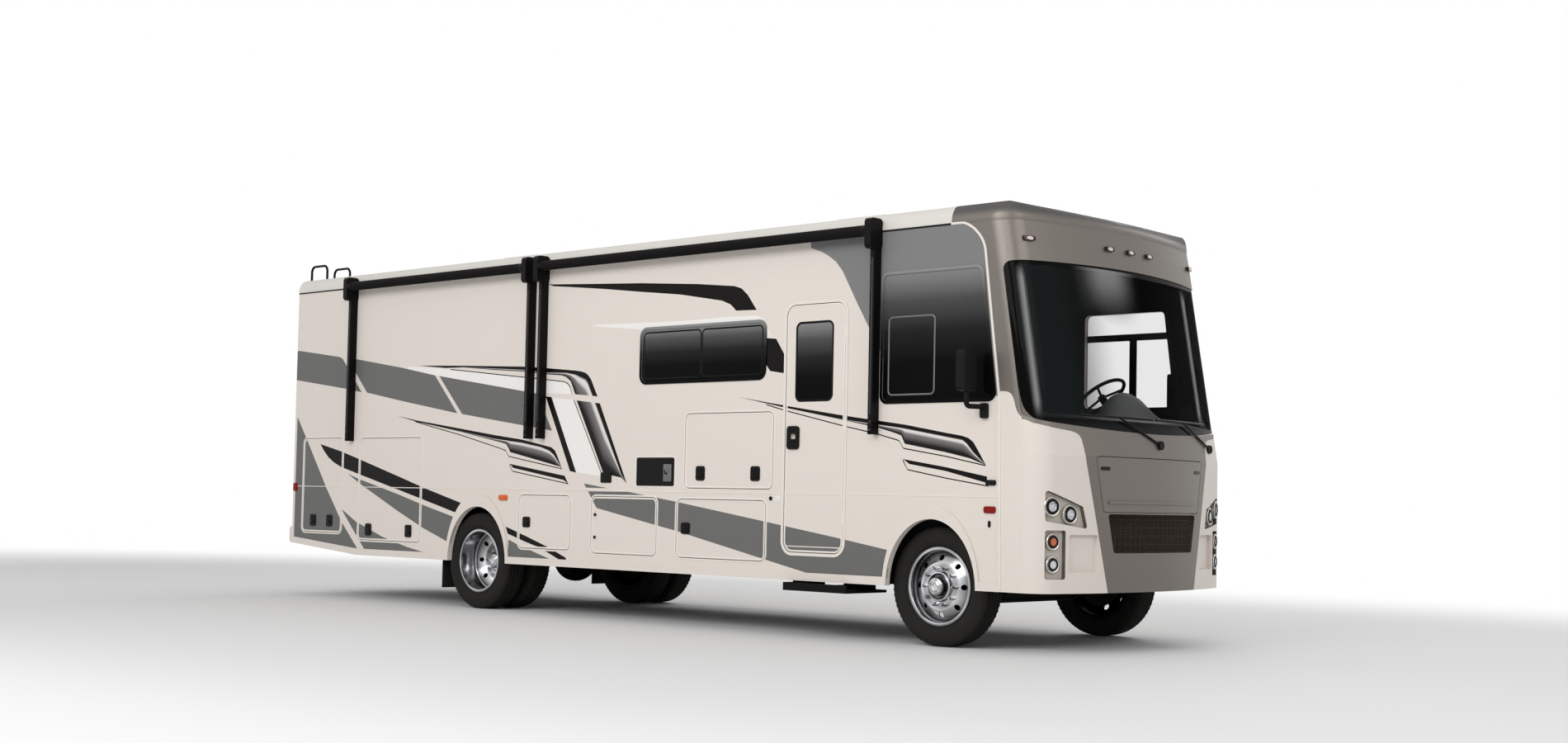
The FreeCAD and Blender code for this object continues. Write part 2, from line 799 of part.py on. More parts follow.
def upper_pod():
    return [(-POD_OUTER_Y, POD_LOW_OUTER_Z), (-POD_SHOULDER_Y, POD_LOW_INNER_Z),
            (-POD_INNER_Y, POD_SHOULDER_Z), (-POD_OUTER_Y, POD_TOP_Z)]


def lower_pod():
    return rectangle(-POD_OUTER_Y, -LOW_POD_INNER_Y, LOW_POD_SILL_Z, LOW_POD_TOP_Z)


def scoop_outline():
    return rectangle(-SCOOP_OUTER_Y, -SCOOP_INNER_Y, SCOOP_SILL_Z, SCOOP_TOP_Z)


def front_cap(outer, inner):
    behind = prism(wall_edge_outline(CAP_REAR_X - OVERRUN * 2, SKIRT_BOTTOM - OVERRUN,
                                     ROOF_EDGE_Z + OVERRUN * 2),
                   "y", -BODY_HALF - OVERRUN, BODY_HALF + OVERRUN)
    shell = outer.fuse(cap_crown()).cut(inner).cut(behind)
    seat = cap_solid(HATCH_THICK + SEAT_GAP, SKIRT_BOTTOM - OVERRUN, OVERRUN)
    pocket = front_view(hatch_outline(PANEL_GAP), HATCH_CORNER + PANEL_GAP).cut(seat)
    opening = front_view(hatch_outline(-HATCH_LIP), HATCH_CORNER)
    recess = cap_solid(CAP_SHELL - POD_WALL, SKIRT_BOTTOM - OVERRUN, OVERRUN)
    pods = [plate(outline, POD_CORNER, "x", EDGE_LOW_X, NOSE_X + OVERRUN)
            for outline in (upper_pod(), lower_pod(), scoop_outline())]
    pods = [pod.cut(recess) for pod in pods]
    cutters = [screen_cutter(), pocket, opening,
               front_view(grille_outline(0), HATCH_CORNER)]
    cutters += pods + [mirrored(pod) for pod in pods]
    shell = shell.cut(Part.makeCompound(cutters))
    return shell


def windscreen():
    outer = cap_solid(SCREEN_SINK, SKIRT_BOTTOM - OVERRUN, OVERRUN)
    inner = cap_solid(SCREEN_SINK + SCREEN_GLASS, SKIRT_BOTTOM - OVERRUN * 2, OVERRUN * 2)
    return outer.cut(inner).common(screen_cutter())


def front_hatch(outer):
    inner = cap_solid(HATCH_THICK, SKIRT_BOTTOM - OVERRUN, OVERRUN)
    panel = outer.cut(inner).common(front_view(hatch_outline(0), HATCH_CORNER))
    proud = cap_solid(-HATCH_RIDGE_PROUD, SKIRT_BOTTOM, 0)
    middle = cap_solid(HATCH_THICK / 2, SKIRT_BOTTOM - OVERRUN, OVERRUN)
    ridge_half = HATCH_SILL_HALF - HATCH_CORNER * 2
    ridge = proud.cut(middle).common(front_view(
        rectangle(-ridge_half, ridge_half, HATCH_RIDGE_Z, HATCH_RIDGE_Z + HATCH_RIDGE), HATCH_RIDGE_CORNER))
    latches = []
    flush = cap_solid(-HATCH_LATCH_PROUD, SKIRT_BOTTOM, 0)
    for side in (-1, 1):
        near = side * HATCH_LATCH_Y - HATCH_LATCH_WIDE / 2
        outline = rectangle(near, near + HATCH_LATCH_WIDE,
                            HATCH_LATCH_Z - HATCH_LATCH_TALL / 2, HATCH_LATCH_Z + HATCH_LATCH_TALL / 2)
        latches.append(flush.cut(middle).common(front_view(outline, HATCH_LATCH_CORNER)))
    return fuse([panel, ridge] + latches)


def grille():
    """A frame with upright and level bars, set back in its opening."""
    back = cap_solid(GRILLE_SINK + GRILLE_BAR * 2, SKIRT_BOTTOM - OVERRUN, OVERRUN)
    skin = cap_solid(GRILLE_SINK, SKIRT_BOTTOM, 0).cut(back)
    frame = skin.common(front_view(grille_outline(0), HATCH_CORNER))
    frame = frame.cut(front_view(grille_outline(-GRILLE_FRAME), HATCH_CORNER - GRILLE_FRAME / 2))
    bars = []
    count = int(GRILLE_TOP_HALF // GRILLE_PITCH)
    for i in range(-count, count + 1):
        y = i * GRILLE_PITCH
        bars.append(block(EDGE_LOW_X, NOSE_X, y - GRILLE_BAR / 2, y + GRILLE_BAR / 2,
                          GRILLE_SILL_Z, GRILLE_TOP_Z))
    rows = int((GRILLE_TOP_Z - GRILLE_SILL_Z) // GRILLE_PITCH)
    for i in range(1, rows + 1):
        z = GRILLE_SILL_Z + i * GRILLE_PITCH
        bars.append(block(EDGE_LOW_X, NOSE_X, -GRILLE_TOP_HALF, GRILLE_TOP_HALF,
                          z - GRILLE_BAR / 2, z + GRILLE_BAR / 2))
    lattice = fuse(bars).common(skin).common(front_view(grille_outline(-GRILLE_FRAME / 2), HATCH_CORNER / 2))
    return fuse([frame, lattice])


def cap_lamp(y, z, radius):
    """A round lamp that stands on the back of its recess."""
    floor = cap_solid(CAP_SHELL - POD_WALL, SKIRT_BOTTOM - OVERRUN, OVERRUN)
    front = cap_solid(CAP_SHELL - POD_WALL - LAMP_DEPTH, SKIRT_BOTTOM, 0)
    return rod(V(EDGE_LOW_X, y, z), V(NOSE_X, y, z), radius).cut(floor).common(front)


def front_lamps():
    lamps = [
        cap_lamp(-HEADLAMP_Y_OUTER, HEADLAMP_Z_OUTER, HEADLAMP_RADIUS),
        cap_lamp(-HEADLAMP_Y_INNER, HEADLAMP_Z_INNER, HEADLAMP_RADIUS),
        cap_lamp(-TURN_LAMP_Y, TURN_LAMP_Z, SMALL_LAMP_RADIUS),
        cap_lamp(-TURN_LAMP_Y, FOG_LAMP_Z, SMALL_LAMP_RADIUS),
    ]
    return lamps + [mirrored(lamp) for lamp in lamps]


def marker_lamps():
    """Five clearance lamps over the windscreen, and five more high on the rear wall."""
    lamps = []
    outer = cap_solid(-MARKER_PROUD, SKIRT_BOTTOM, 0)
    inner = cap_solid(0, SKIRT_BOTTOM - OVERRUN, OVERRUN)
    skin = outer.cut(inner)
    for y in (-MARKER_OUTER_Y, -MARKER_PITCH, 0, MARKER_PITCH, MARKER_OUTER_Y):
        outline = rectangle(y - MARKER_LONG / 2, y + MARKER_LONG / 2,
                            MARKER_Z - MARKER_TALL / 2, MARKER_Z + MARKER_TALL / 2)
        lamps.append(skin.common(plate(outline, MARKER_CORNER, "x", EDGE_LOW_X, NOSE_X + OVERRUN)))
    for y in (-MARKER_OUTER_Y, -REAR_CLEARANCE_PITCH, 0, REAR_CLEARANCE_PITCH, MARKER_OUTER_Y):
        outline = rectangle(y - MARKER_LONG / 2, y + MARKER_LONG / 2,
                            REAR_CLEARANCE_LAMP_Z - MARKER_TALL / 2, REAR_CLEARANCE_LAMP_Z + MARKER_TALL / 2)
        lamps.append(plate(outline, MARKER_CORNER, "x", TAIL_X - MARKER_PROUD, TAIL_X))
    return lamps


# Walls, doors and windows: each door sits in a pocket with a lip behind it

def wall_panel(points, corner, depth_out, depth_in):
    """A panel of the right side, between two depths measured inwards from the outer face."""
    return plate(points, corner, "y", -BODY_HALF + depth_out, -BODY_HALF + depth_in)


def grown(rear, front, sill, top, grow):
    return rectangle(rear - grow, front + grow, sill - grow, top + grow)


def door_cut(rear, front, sill, top, corner, thick):
    """The pocket that a door lies in, and the smaller opening through the wall behind it."""
    pocket = wall_panel(grown(rear, front, sill, top, PANEL_GAP), corner + PANEL_GAP,
                        -OVERRUN, thick + SEAT_GAP)
    opening = wall_panel(grown(rear, front, sill, top, -LUGGAGE_LIP), corner - LUGGAGE_LIP,
                         -OVERRUN, WALL + OVERRUN)
    return [pocket, opening]


def latch(x, z, wide, tall):
    outline = rectangle(x - wide / 2, x + wide / 2, z - tall / 2, z + tall / 2)
    return wall_panel(outline, LATCH_CORNER, -LATCH_PROUD, LUGGAGE_THICK / 2)


def luggage_door(rear, front, sill, top, latches):
    panel = wall_panel(grown(rear, front, sill, top, 0), LUGGAGE_CORNER, 0, LUGGAGE_THICK)
    return fuse([panel] + latches)


def arch(x, half, tall, y0, y1):
    """The space of a wheel arch: half an ellipse over an open foot."""
    centre = V(x, y0, ARCH_BASE_Z)
    curve = Part.Ellipse(V(x, y0, ARCH_BASE_Z + tall), V(x + half, y0, ARCH_BASE_Z), centre)
    dome = Part.Face(Part.Wire(curve.toShape())).extrude(V(0, y1 - y0, 0))
    foot = block(x - half, x + half, y0, y1, SKIRT_BOTTOM - OVERRUN, ARCH_BASE_Z)
    dome = dome.common(block(x - half - OVERRUN, x + half + OVERRUN, y0, y1,
                             ARCH_BASE_Z, ARCH_BASE_Z + tall + OVERRUN))
    return dome.fuse(foot).removeSplitter()


def low_doors():
    """The luggage doors on the right whose pockets reach into the skirt."""
    return [
        (REAR_BIN_REAR_X, REAR_BIN_FRONT_X, REAR_BIN_SILL_Z, REAR_BIN_TOP_Z),
        (TALL_BIN_REAR_X, TALL_BIN_FRONT_X, TALL_BIN_SILL_Z, TALL_BIN_TOP_Z),
        (AFT_BIN_REAR_X, AFT_BIN_FRONT_X, AFT_BIN_SILL_Z, AFT_BIN_TOP_Z),
        (MID_BIN_REAR_X, MID_BIN_FRONT_X, MID_BIN_SILL_Z, MID_BIN_TOP_Z),
        (FORE_BIN_REAR_X, FORE_BIN_FRONT_X, FORE_BIN_SILL_Z, FORE_BIN_TOP_Z),
    ]


def left_doors():
    return [
        (LEFT_AFT_REAR_X, LEFT_AFT_FRONT_X, LEFT_BIN_SILL_Z, LEFT_BIN_TOP_Z),
        (LEFT_FORE_REAR_X, LEFT_FORE_FRONT_X, LEFT_BIN_SILL_Z, LEFT_BIN_TOP_Z),
    ]


def luggage_cuts(doors):
    cuts = []
    for rear, front, sill, top in doors:
        cuts += door_cut(rear, front, sill, top, LUGGAGE_CORNER, LUGGAGE_THICK)
    return cuts


def entry_cuts():
    return door_cut(ENTRY_REAR_X, ENTRY_FRONT_X, ENTRY_SILL_Z, ENTRY_TOP_Z, ENTRY_CORNER, ENTRY_THICK)


def low_edge_x(z):
    """How far forward the leaning front edge of the skirt lies at a height."""
    return EDGE_LOW_X + (EDGE_SILL_X - EDGE_LOW_X) * (z - SKIRT_BOTTOM) / (EDGE_SILL_Z - SKIRT_BOTTOM)


def skirt(doors, extra_cuts):
    """The lower side, with a rounded sill along its foot and a flare round each arch."""
    tail_sill = SKIRT_BOTTOM + TAIL_SKIRT_RISE
    sill_top = SKIRT_BOTTOM + SILL_TALL
    outline = [(TAIL_X, tail_sill), (KINK_X, SKIRT_BOTTOM), (EDGE_LOW_X, SKIRT_BOTTOM)]
    outline += [(low_edge_x(BELT_Z), BELT_Z), (TAIL_X, BELT_Z)]
    panel = prism(outline, "y", -BODY_HALF, -INNER_HALF)
    sill_outline = [(TAIL_X, tail_sill), (KINK_X, SKIRT_BOTTOM), (EDGE_LOW_X, SKIRT_BOTTOM),
                    (low_edge_x(sill_top), sill_top), (KINK_X, sill_top), (TAIL_X, tail_sill + SILL_TALL)]
    sill = prism(sill_outline, "y", -BODY_HALF - SILL_PROUD, -BODY_HALF + SILL_PROUD)
    flares = []
    for x, half, tall in ((FRONT_ARCH_X, FRONT_FLARE_HALF, FRONT_FLARE_TALL),
                          (REAR_ARCH_X, REAR_FLARE_HALF, REAR_FLARE_TALL)):
        flare = arch(x, half, tall, -BODY_HALF - FLARE_PROUD, -BODY_HALF + FLARE_PROUD)
        flares.append(flare.common(block(x - half, x + half, -BODY_HALF - FLARE_PROUD, -INNER_HALF,
                                         SKIRT_BOTTOM, BELT_Z)))
    cuts = luggage_cuts(doors) + extra_cuts
    cuts.append(arch(FRONT_ARCH_X, FRONT_ARCH_HALF, FRONT_ARCH_TALL, -BODY_HALF - OVERRUN, -INNER_HALF + OVERRUN))
    cuts.append(arch(REAR_ARCH_X, REAR_ARCH_HALF, REAR_ARCH_TALL, -BODY_HALF - OVERRUN, -INNER_HALF + OVERRUN))
    return fuse([panel, sill] + flares).cut(Part.makeCompound(cuts))


def side_wall(cuts):
    """The upper side, from the belt to the roof, up to the edge of the front cap."""
    panel = block(TAIL_X, EDGE_LOW_X, -BODY_HALF, -INNER_HALF, BELT_Z, WALL_TOP)
    behind = prism(wall_edge_outline(TAIL_X, SKIRT_BOTTOM - OVERRUN, WALL_TOP + OVERRUN),
                   "y", -BODY_HALF - OVERRUN, -INNER_HALF + OVERRUN)
    return panel.common(behind).cut(Part.makeCompound(cuts))


def cab_window():
    return [(CAB_WINDOW_REAR_X, CAB_WINDOW_SILL_Z), (CAB_WINDOW_SILL_FRONT_X, CAB_WINDOW_SILL_Z),
            (CAB_WINDOW_TOP_FRONT_X, CAB_WINDOW_TOP_Z), (CAB_WINDOW_REAR_X, CAB_WINDOW_TOP_Z)]


def living_window():
    return rectangle(LIVING_WINDOW_REAR_X, LIVING_WINDOW_FRONT_X, LIVING_WINDOW_SILL_Z, LIVING_WINDOW_TOP_Z)


def driver_window():
    return [(DRIVER_WINDOW_REAR_X, DRIVER_WINDOW_SILL_Z), (DRIVER_WINDOW_SILL_FRONT_X, DRIVER_WINDOW_SILL_Z),
            (DRIVER_WINDOW_TOP_FRONT_X, DRIVER_WINDOW_TOP_Z), (DRIVER_WINDOW_REAR_X, DRIVER_WINDOW_TOP_Z)]


def bed_window():
    return rectangle(BED_WINDOW_REAR_X, BED_WINDOW_FRONT_X, BED_WINDOW_SILL_Z, BED_WINDOW_TOP_Z)


def through_wall(outline, corner):
    return wall_panel(outline, corner, -OVERRUN, WALL + OVERRUN)


def pane(outline, corner):
    return wall_panel(outline, corner, GLASS_SINK, GLASS_SINK + GLASS)


def rim_outline(outline, grow):
    """An outline grown by the same amount on every side."""
    middle_a = sum(a for a, b in outline) / len(outline)
    middle_b = sum(b for a, b in outline) / len(outline)
    return [(a + math.copysign(grow, a - middle_a), b + math.copysign(grow, b - middle_b)) for a, b in outline]


def window_frame(outline, corner):
    outer = wall_panel(rim_outline(outline, WINDOW_RIM), corner + WINDOW_RIM, -WINDOW_RIM_PROUD, 0)
    return outer.cut(wall_panel(outline, corner, -OVERRUN, OVERRUN))


def window_frames():
    frames = [window_frame(cab_window(), CAB_WINDOW_CORNER), window_frame(living_window(), WINDOW_CORNER)]
    left = [window_frame(driver_window(), CAB_WINDOW_CORNER), window_frame(bed_window(), WINDOW_CORNER)]
    transom = wall_panel(rectangle(DRIVER_WINDOW_REAR_X - WINDOW_RIM / 2,
                                   DRIVER_WINDOW_SILL_FRONT_X - TRANSOM_TALL / 2,
                                   TRANSOM_LOW_Z, TRANSOM_LOW_Z + TRANSOM_TALL),
                         WINDOW_RIM_PROUD, -WINDOW_RIM_PROUD, 0)
    mullion = wall_panel(rectangle(MULLION_X - MULLION_WIDE / 2, MULLION_X + MULLION_WIDE / 2,
                                   DRIVER_WINDOW_SILL_Z - WINDOW_RIM / 2, TRANSOM_LOW_Z + TRANSOM_TALL / 2),
                         WINDOW_RIM_PROUD, -WINDOW_RIM_PROUD, 0)
    left[0] = fuse([left[0], transom, mullion])
    return frames + [mirrored(frame) for frame in left]


def window_glass():
    panes = [pane(cab_window(), CAB_WINDOW_CORNER), pane(living_window(), WINDOW_CORNER)]
    panes += [mirrored(pane(driver_window(), CAB_WINDOW_CORNER)), mirrored(pane(bed_window(), WINDOW_CORNER))]
    panes.append(plate(rear_window(), WINDOW_CORNER, "x", TAIL_X + GLASS_SINK, TAIL_X + GLASS_SINK + GLASS))
    return panes


def rear_window():
    return rectangle(-REAR_WINDOW_HALF, REAR_WINDOW_HALF, REAR_WINDOW_SILL_Z, REAR_WINDOW_TOP_Z)


def entry_door():
    """The door leaf, its raised edge band and the black plate with its pull handle."""
    outline = grown(ENTRY_REAR_X, ENTRY_FRONT_X, ENTRY_SILL_Z, ENTRY_TOP_Z, 0)
    leaf = wall_panel(outline, ENTRY_CORNER, 0, ENTRY_THICK)
    window = wall_panel(rectangle(ENTRY_PANE_REAR_X, ENTRY_PANE_FRONT_X, ENTRY_PANE_SILL_Z, ENTRY_PANE_TOP_Z),
                        ENTRY_PANE_CORNER, -OVERRUN, WALL + OVERRUN)
    handle_outline = rectangle(ENTRY_HANDLE_REAR_X, ENTRY_HANDLE_FRONT_X,
                               ENTRY_HANDLE_LOW_Z, ENTRY_HANDLE_TOP_Z)
    handle = wall_panel(handle_outline, ENTRY_HANDLE_CORNER, -ENTRY_HANDLE_PROUD, ENTRY_THICK / 2)
    middle_x = (ENTRY_HANDLE_REAR_X + ENTRY_HANDLE_FRONT_X) / 2
    middle_z = (ENTRY_HANDLE_LOW_Z + ENTRY_HANDLE_TOP_Z) / 2
    hold = wall_panel(rectangle(middle_x - ENTRY_HOLD_WIDE / 2, middle_x + ENTRY_HOLD_WIDE / 2,
                                middle_z - ENTRY_HOLD_WIDE / 2, middle_z + ENTRY_HOLD_WIDE / 2),
                      ENTRY_HANDLE_CORNER / 2, -ENTRY_HANDLE_PROUD - OVERRUN, -ENTRY_HANDLE_PROUD + ENTRY_HOLD_DEEP)
    return fuse([leaf, handle]).cut(Part.makeCompound([window, hold]))


def entry_glass():
    outline = rectangle(ENTRY_PANE_REAR_X, ENTRY_PANE_FRONT_X, ENTRY_PANE_SILL_Z, ENTRY_PANE_TOP_Z)
    return pane(outline, ENTRY_PANE_CORNER)


def entry_frame():
    """The raised band on the wall around the entry door."""
    grow = PANEL_GAP + ENTRY_FRAME
    outer = wall_panel(grown(ENTRY_REAR_X, ENTRY_FRONT_X, ENTRY_SILL_Z, ENTRY_TOP_Z, grow),
                       ENTRY_CORNER + grow, -ENTRY_FRAME_PROUD, 0)
    inner = wall_panel(grown(ENTRY_REAR_X, ENTRY_FRONT_X, ENTRY_SILL_Z, ENTRY_TOP_Z, PANEL_GAP),
                       ENTRY_CORNER + PANEL_GAP, -OVERRUN, OVERRUN)
    return outer.cut(inner)


def bin_box(rear, front, sill, top, inner_y):
    """An open-fronted sheet box behind a luggage door on the right."""
    low = sill - BIN_MARGIN
    outer = block(rear - BIN_MARGIN, front + BIN_MARGIN, -INNER_HALF, -inner_y, low, top)
    inner = block(rear - BIN_MARGIN + BIN_SHEET, front + BIN_MARGIN - BIN_SHEET,
                  -INNER_HALF, -inner_y - BIN_SHEET, low + BIN_SHEET, top - BIN_SHEET)
    return outer.cut(inner)


def low_bin(rear, front, sill):
    return bin_box(rear, front, sill, FLOOR_UNDER, BIN_INNER_Y)


def rear_bins():
    """The two tall bins behind the rear wheel, which pass up through the floor."""
    return [
        bin_box(REAR_BIN_REAR_X, REAR_BIN_FRONT_X, REAR_BIN_SILL_Z,
                REAR_BIN_TOP_Z + BIN_MARGIN, TALL_BIN_INNER_Y),
        bin_box(TALL_BIN_REAR_X, TALL_BIN_FRONT_X, TALL_BIN_SILL_Z,
                TALL_BIN_TOP_Z + BIN_MARGIN, TALL_BIN_INNER_Y),
    ]


def luggage_bins():
    bins = rear_bins()
    bins += [low_bin(AFT_BIN_REAR_X, AFT_BIN_FRONT_X, AFT_BIN_SILL_Z),
             low_bin(MID_BIN_REAR_X, MID_BIN_FRONT_X, MID_BIN_SILL_Z),
             low_bin(FORE_BIN_REAR_X, FORE_BIN_FRONT_X, FORE_BIN_SILL_Z)]
    bins.append(bin_box(SCREEN_DOOR_REAR_X, SCREEN_DOOR_FRONT_X, FLOOR_TOP + BIN_MARGIN,
                        SCREEN_DOOR_TOP_Z + BIN_MARGIN, SCREEN_BIN_INNER_Y))
    bins.append(bin_box(LOCKER_REAR_X, LOCKER_FRONT_X, LOCKER_SILL_Z,
                        LOCKER_TOP_Z + BIN_MARGIN, LOCKER_INNER_Y))
    for rear, front, sill, top in left_doors():
        bins.append(mirrored(low_bin(rear, front, sill)))
    return bins


def slide_room():
    """The slide-out: an outer wall with a flange, a roof, a floor and two ends."""
    rear = SLIDE_REAR_X + SLIDE_CLEAR
    front = SLIDE_FRONT_X - SLIDE_CLEAR
    low = SLIDE_SILL_Z + SLIDE_CLEAR
    top = SLIDE_TOP_Z - SLIDE_CLEAR
    face = BODY_HALF + SEAT_GAP
    flange = plate(grown(SLIDE_REAR_X, SLIDE_FRONT_X, SLIDE_SILL_Z, SLIDE_TOP_Z, SLIDE_FLANGE),
                   SLIDE_CORNER, "y", face, face + SLIDE_FLANGE_THICK)
    box = block(rear, front, face - SLIDE_DEEP, face, low, top)
    hollow = block(rear + SLIDE_WALL, front - SLIDE_WALL, face - SLIDE_DEEP - OVERRUN, face - SLIDE_WALL,
                   low + SLIDE_WALL, top - SLIDE_WALL)
    room = fuse([flange, box]).cut(hollow)
    windows = [plate(outline, WINDOW_CORNER, "y", face - SLIDE_WALL - OVERRUN, face + SLIDE_FLANGE_THICK + OVERRUN)
               for outline in slide_windows()]
    return room.cut(Part.makeCompound(windows))


def slide_windows():
    outlines = []
    for rear in (SLIDE_REAR_X + SLIDE_PANE_INSET, SLIDE_FRONT_X - SLIDE_PANE_INSET - SLIDE_PANE_WIDE):
        outlines.append(rectangle(rear, rear + SLIDE_PANE_WIDE,
                                  SLIDE_PANE_SILL_Z, SLIDE_PANE_SILL_Z + SLIDE_PANE_TALL))
    return outlines


def slide_glass():
    outer = BODY_HALF + SEAT_GAP + SLIDE_FLANGE_THICK - GLASS_SINK
    return [plate(outline, WINDOW_CORNER, "y", outer - GLASS, outer) for outline in slide_windows()]


def roof():
    """A crowned roof with rounded edges and a shallow ceiling recess."""
    brow_y = BODY_HALF - ROOF_SIDE_INSET
    side = []
    rise = ROOF_EDGE_Z - WALL_TOP
    slant = math.pi / 4
    left_foot = V(TAIL_X, BODY_HALF, WALL_TOP)
    left_knee = V(TAIL_X, BODY_HALF - ROOF_SIDE_INSET * (1 - math.cos(slant)), WALL_TOP + rise * math.sin(slant))
    left_brow = V(TAIL_X, brow_y, ROOF_EDGE_Z)
    crown = V(TAIL_X, 0, ROOF_EDGE_Z + ROOF_CROWN)

    def other(point):
        return V(point.x, -point.y, point.z)

    side.append(Part.Arc(left_foot, left_knee, left_brow).toShape())
    side.append(Part.Arc(left_brow, crown, other(left_brow)).toShape())
    side.append(Part.Arc(other(left_brow), other(left_knee), other(left_foot)).toShape())
    side.append(Part.LineSegment(other(left_foot), left_foot).toShape())
    solid = Part.Face(Part.Wire(side)).extrude(V(ROOF_FRONT_X - TAIL_X, 0, 0))
    recess = block(TAIL_X + WALL, ROOF_FRONT_X + OVERRUN, -INNER_HALF + WALL, INNER_HALF - WALL,
                   WALL_TOP - OVERRUN, ROOF_EDGE_Z - WALL)
    return solid.cut(recess)


def floor_panel(rear, front, near_y, far_y):
    return block(rear, front, near_y, far_y, FLOOR_UNDER, FLOOR_TOP)


def stepwell(rear, front, landing_y):
    """A sheet well with two steps behind the entry door, and the landing at its head."""
    well = block(rear, front, -INNER_HALF, -STEPWELL_INNER_Y, ENTRY_SILL_Z - STEPWELL_SHEET, FLOOR_TOP)
    landing = floor_panel(rear, front, -STEPWELL_INNER_Y, landing_y)
    tread_z = ENTRY_SILL_Z + STEPWELL_RISER
    low = block(rear + STEPWELL_SHEET, front - STEPWELL_SHEET, -INNER_HALF - OVERRUN,
                -INNER_HALF + STEPWELL_GOING, ENTRY_SILL_Z, FLOOR_TOP + OVERRUN)
    high = block(rear + STEPWELL_SHEET, front - STEPWELL_SHEET, -INNER_HALF - OVERRUN,
                 -STEPWELL_INNER_Y - STEPWELL_SHEET, tread_z, FLOOR_TOP + OVERRUN)
    under = block(rear, front, -INNER_HALF + STEPWELL_GOING + STEPWELL_SHEET, -STEPWELL_INNER_Y,
                  ENTRY_SILL_Z - STEPWELL_SHEET, tread_z - STEPWELL_SHEET)
    return fuse([well, landing]).cut(low).cut(high).cut(under)


def floor():
    """One wide panel on the bearers, narrow panels between the tall bins and the stepwell."""
    seam_y = -TALL_BIN_INNER_Y - SEAT_GAP
    well_rear = ENTRY_REAR_X - BIN_MARGIN
    well_front = ENTRY_FRONT_X + BIN_MARGIN
    edges = [TAIL_X + WALL, REAR_BIN_REAR_X - BIN_MARGIN, REAR_BIN_FRONT_X + BIN_MARGIN,
             TALL_BIN_REAR_X - BIN_MARGIN, TALL_BIN_FRONT_X + BIN_MARGIN, well_rear - SEAT_GAP,
             well_front + SEAT_GAP, DASH_FRONT_X]
    panels = [floor_panel(TAIL_X + WALL, DASH_FRONT_X, -TALL_BIN_INNER_Y, INNER_HALF)]
    for rear, front in zip(edges[::2], edges[1::2]):
        panels.append(floor_panel(rear, front, -INNER_HALF, seam_y))
    return panels + [stepwell(well_rear, well_front, seam_y)]


def rear_wall():
    sill = SKIRT_BOTTOM + TAIL_SKIRT_RISE
    panel = block(TAIL_X, TAIL_X + WALL, -INNER_HALF, INNER_HALF, sill, WALL_TOP)
    window = plate(rear_window(), WINDOW_CORNER, "x", TAIL_X - OVERRUN, TAIL_X + WALL + OVERRUN)
    return panel.cut(window)


def rear_bumper():
    sill = SKIRT_BOTTOM + TAIL_SKIRT_RISE
    outline = rectangle(-BODY_HALF, BODY_HALF, sill, sill + BUMPER_TALL)
    return plate(outline, BUMPER_CORNER, "x", TAIL_X - BUMPER_PROUD, TAIL_X)


def tail_lamps():
    outline = rectangle(-TAIL_LAMP_Y - TAIL_LAMP_WIDE / 2, -TAIL_LAMP_Y + TAIL_LAMP_WIDE / 2,
                        TAIL_LAMP_Z, TAIL_LAMP_Z + TAIL_LAMP_TALL)
    return both_sides(plate(outline, TAIL_LAMP_CORNER, "x", TAIL_X - TAIL_LAMP_PROUD, TAIL_X))


# Wheels: profiles turned about the axle

def turned(points, x, axis_y):
    """A ring from a profile of radius and offset along the axle, turned about the axle."""
    ring = [V(x, axis_y + offset, AXLE_Z + radius) for radius, offset in points]
    face = Part.Face(Part.makePolygon(ring + ring[:1]))
    return face.revolve(V(x, axis_y, AXLE_Z), V(0, 1, 0), 360)


def tyre_ring(x, y, radius):
    """A many-sided outline of the tyre at one radius, across the axle."""
    points = []
    for i in range(TYRE_SIDES + 1):
        angle = 2 * math.pi * i / TYRE_SIDES
        points.append(V(x + radius * math.cos(angle), y, AXLE_Z + radius * math.sin(angle)))
    return Part.makePolygon(points)


def tyre(x, y):
    """A tyre lofted between flat-sided rings, open over the rim and stepped at its flanges."""
    bulge = TYRE_WIDTH / 2
    flange = RIM_WIDTH / 2 - RIM_SHEET - SEAT_GAP
    seat = TYRE_BEAD_RADIUS / math.cos(math.pi / TYRE_SIDES)
    lip = (TYRE_BEAD_RADIUS + RIM_FLANGE_TALL) / math.cos(math.pi / TYRE_SIDES)
    half = [(lip, flange), (TYRE_BULGE_RADIUS, bulge), (TYRE_UPPER_RADIUS, bulge - TYRE_UPPER_SINK),
            (TYRE_RADIUS - TREAD_CHAMFER, TREAD_WIDTH / 2 + TREAD_CHAMFER / 2),
            (TYRE_RADIUS, TREAD_WIDTH / 2 - TREAD_CHAMFER)]
    profile = half + [(radius, -offset) for radius, offset in reversed(half)]
    body = Part.makeLoft([tyre_ring(x, y + offset, radius) for radius, offset in profile], True, True)
    bore = Part.makeLoft([tyre_ring(x, y + side * flange, seat) for side in (-1, 1)], True, True)
    return body.cut(bore)


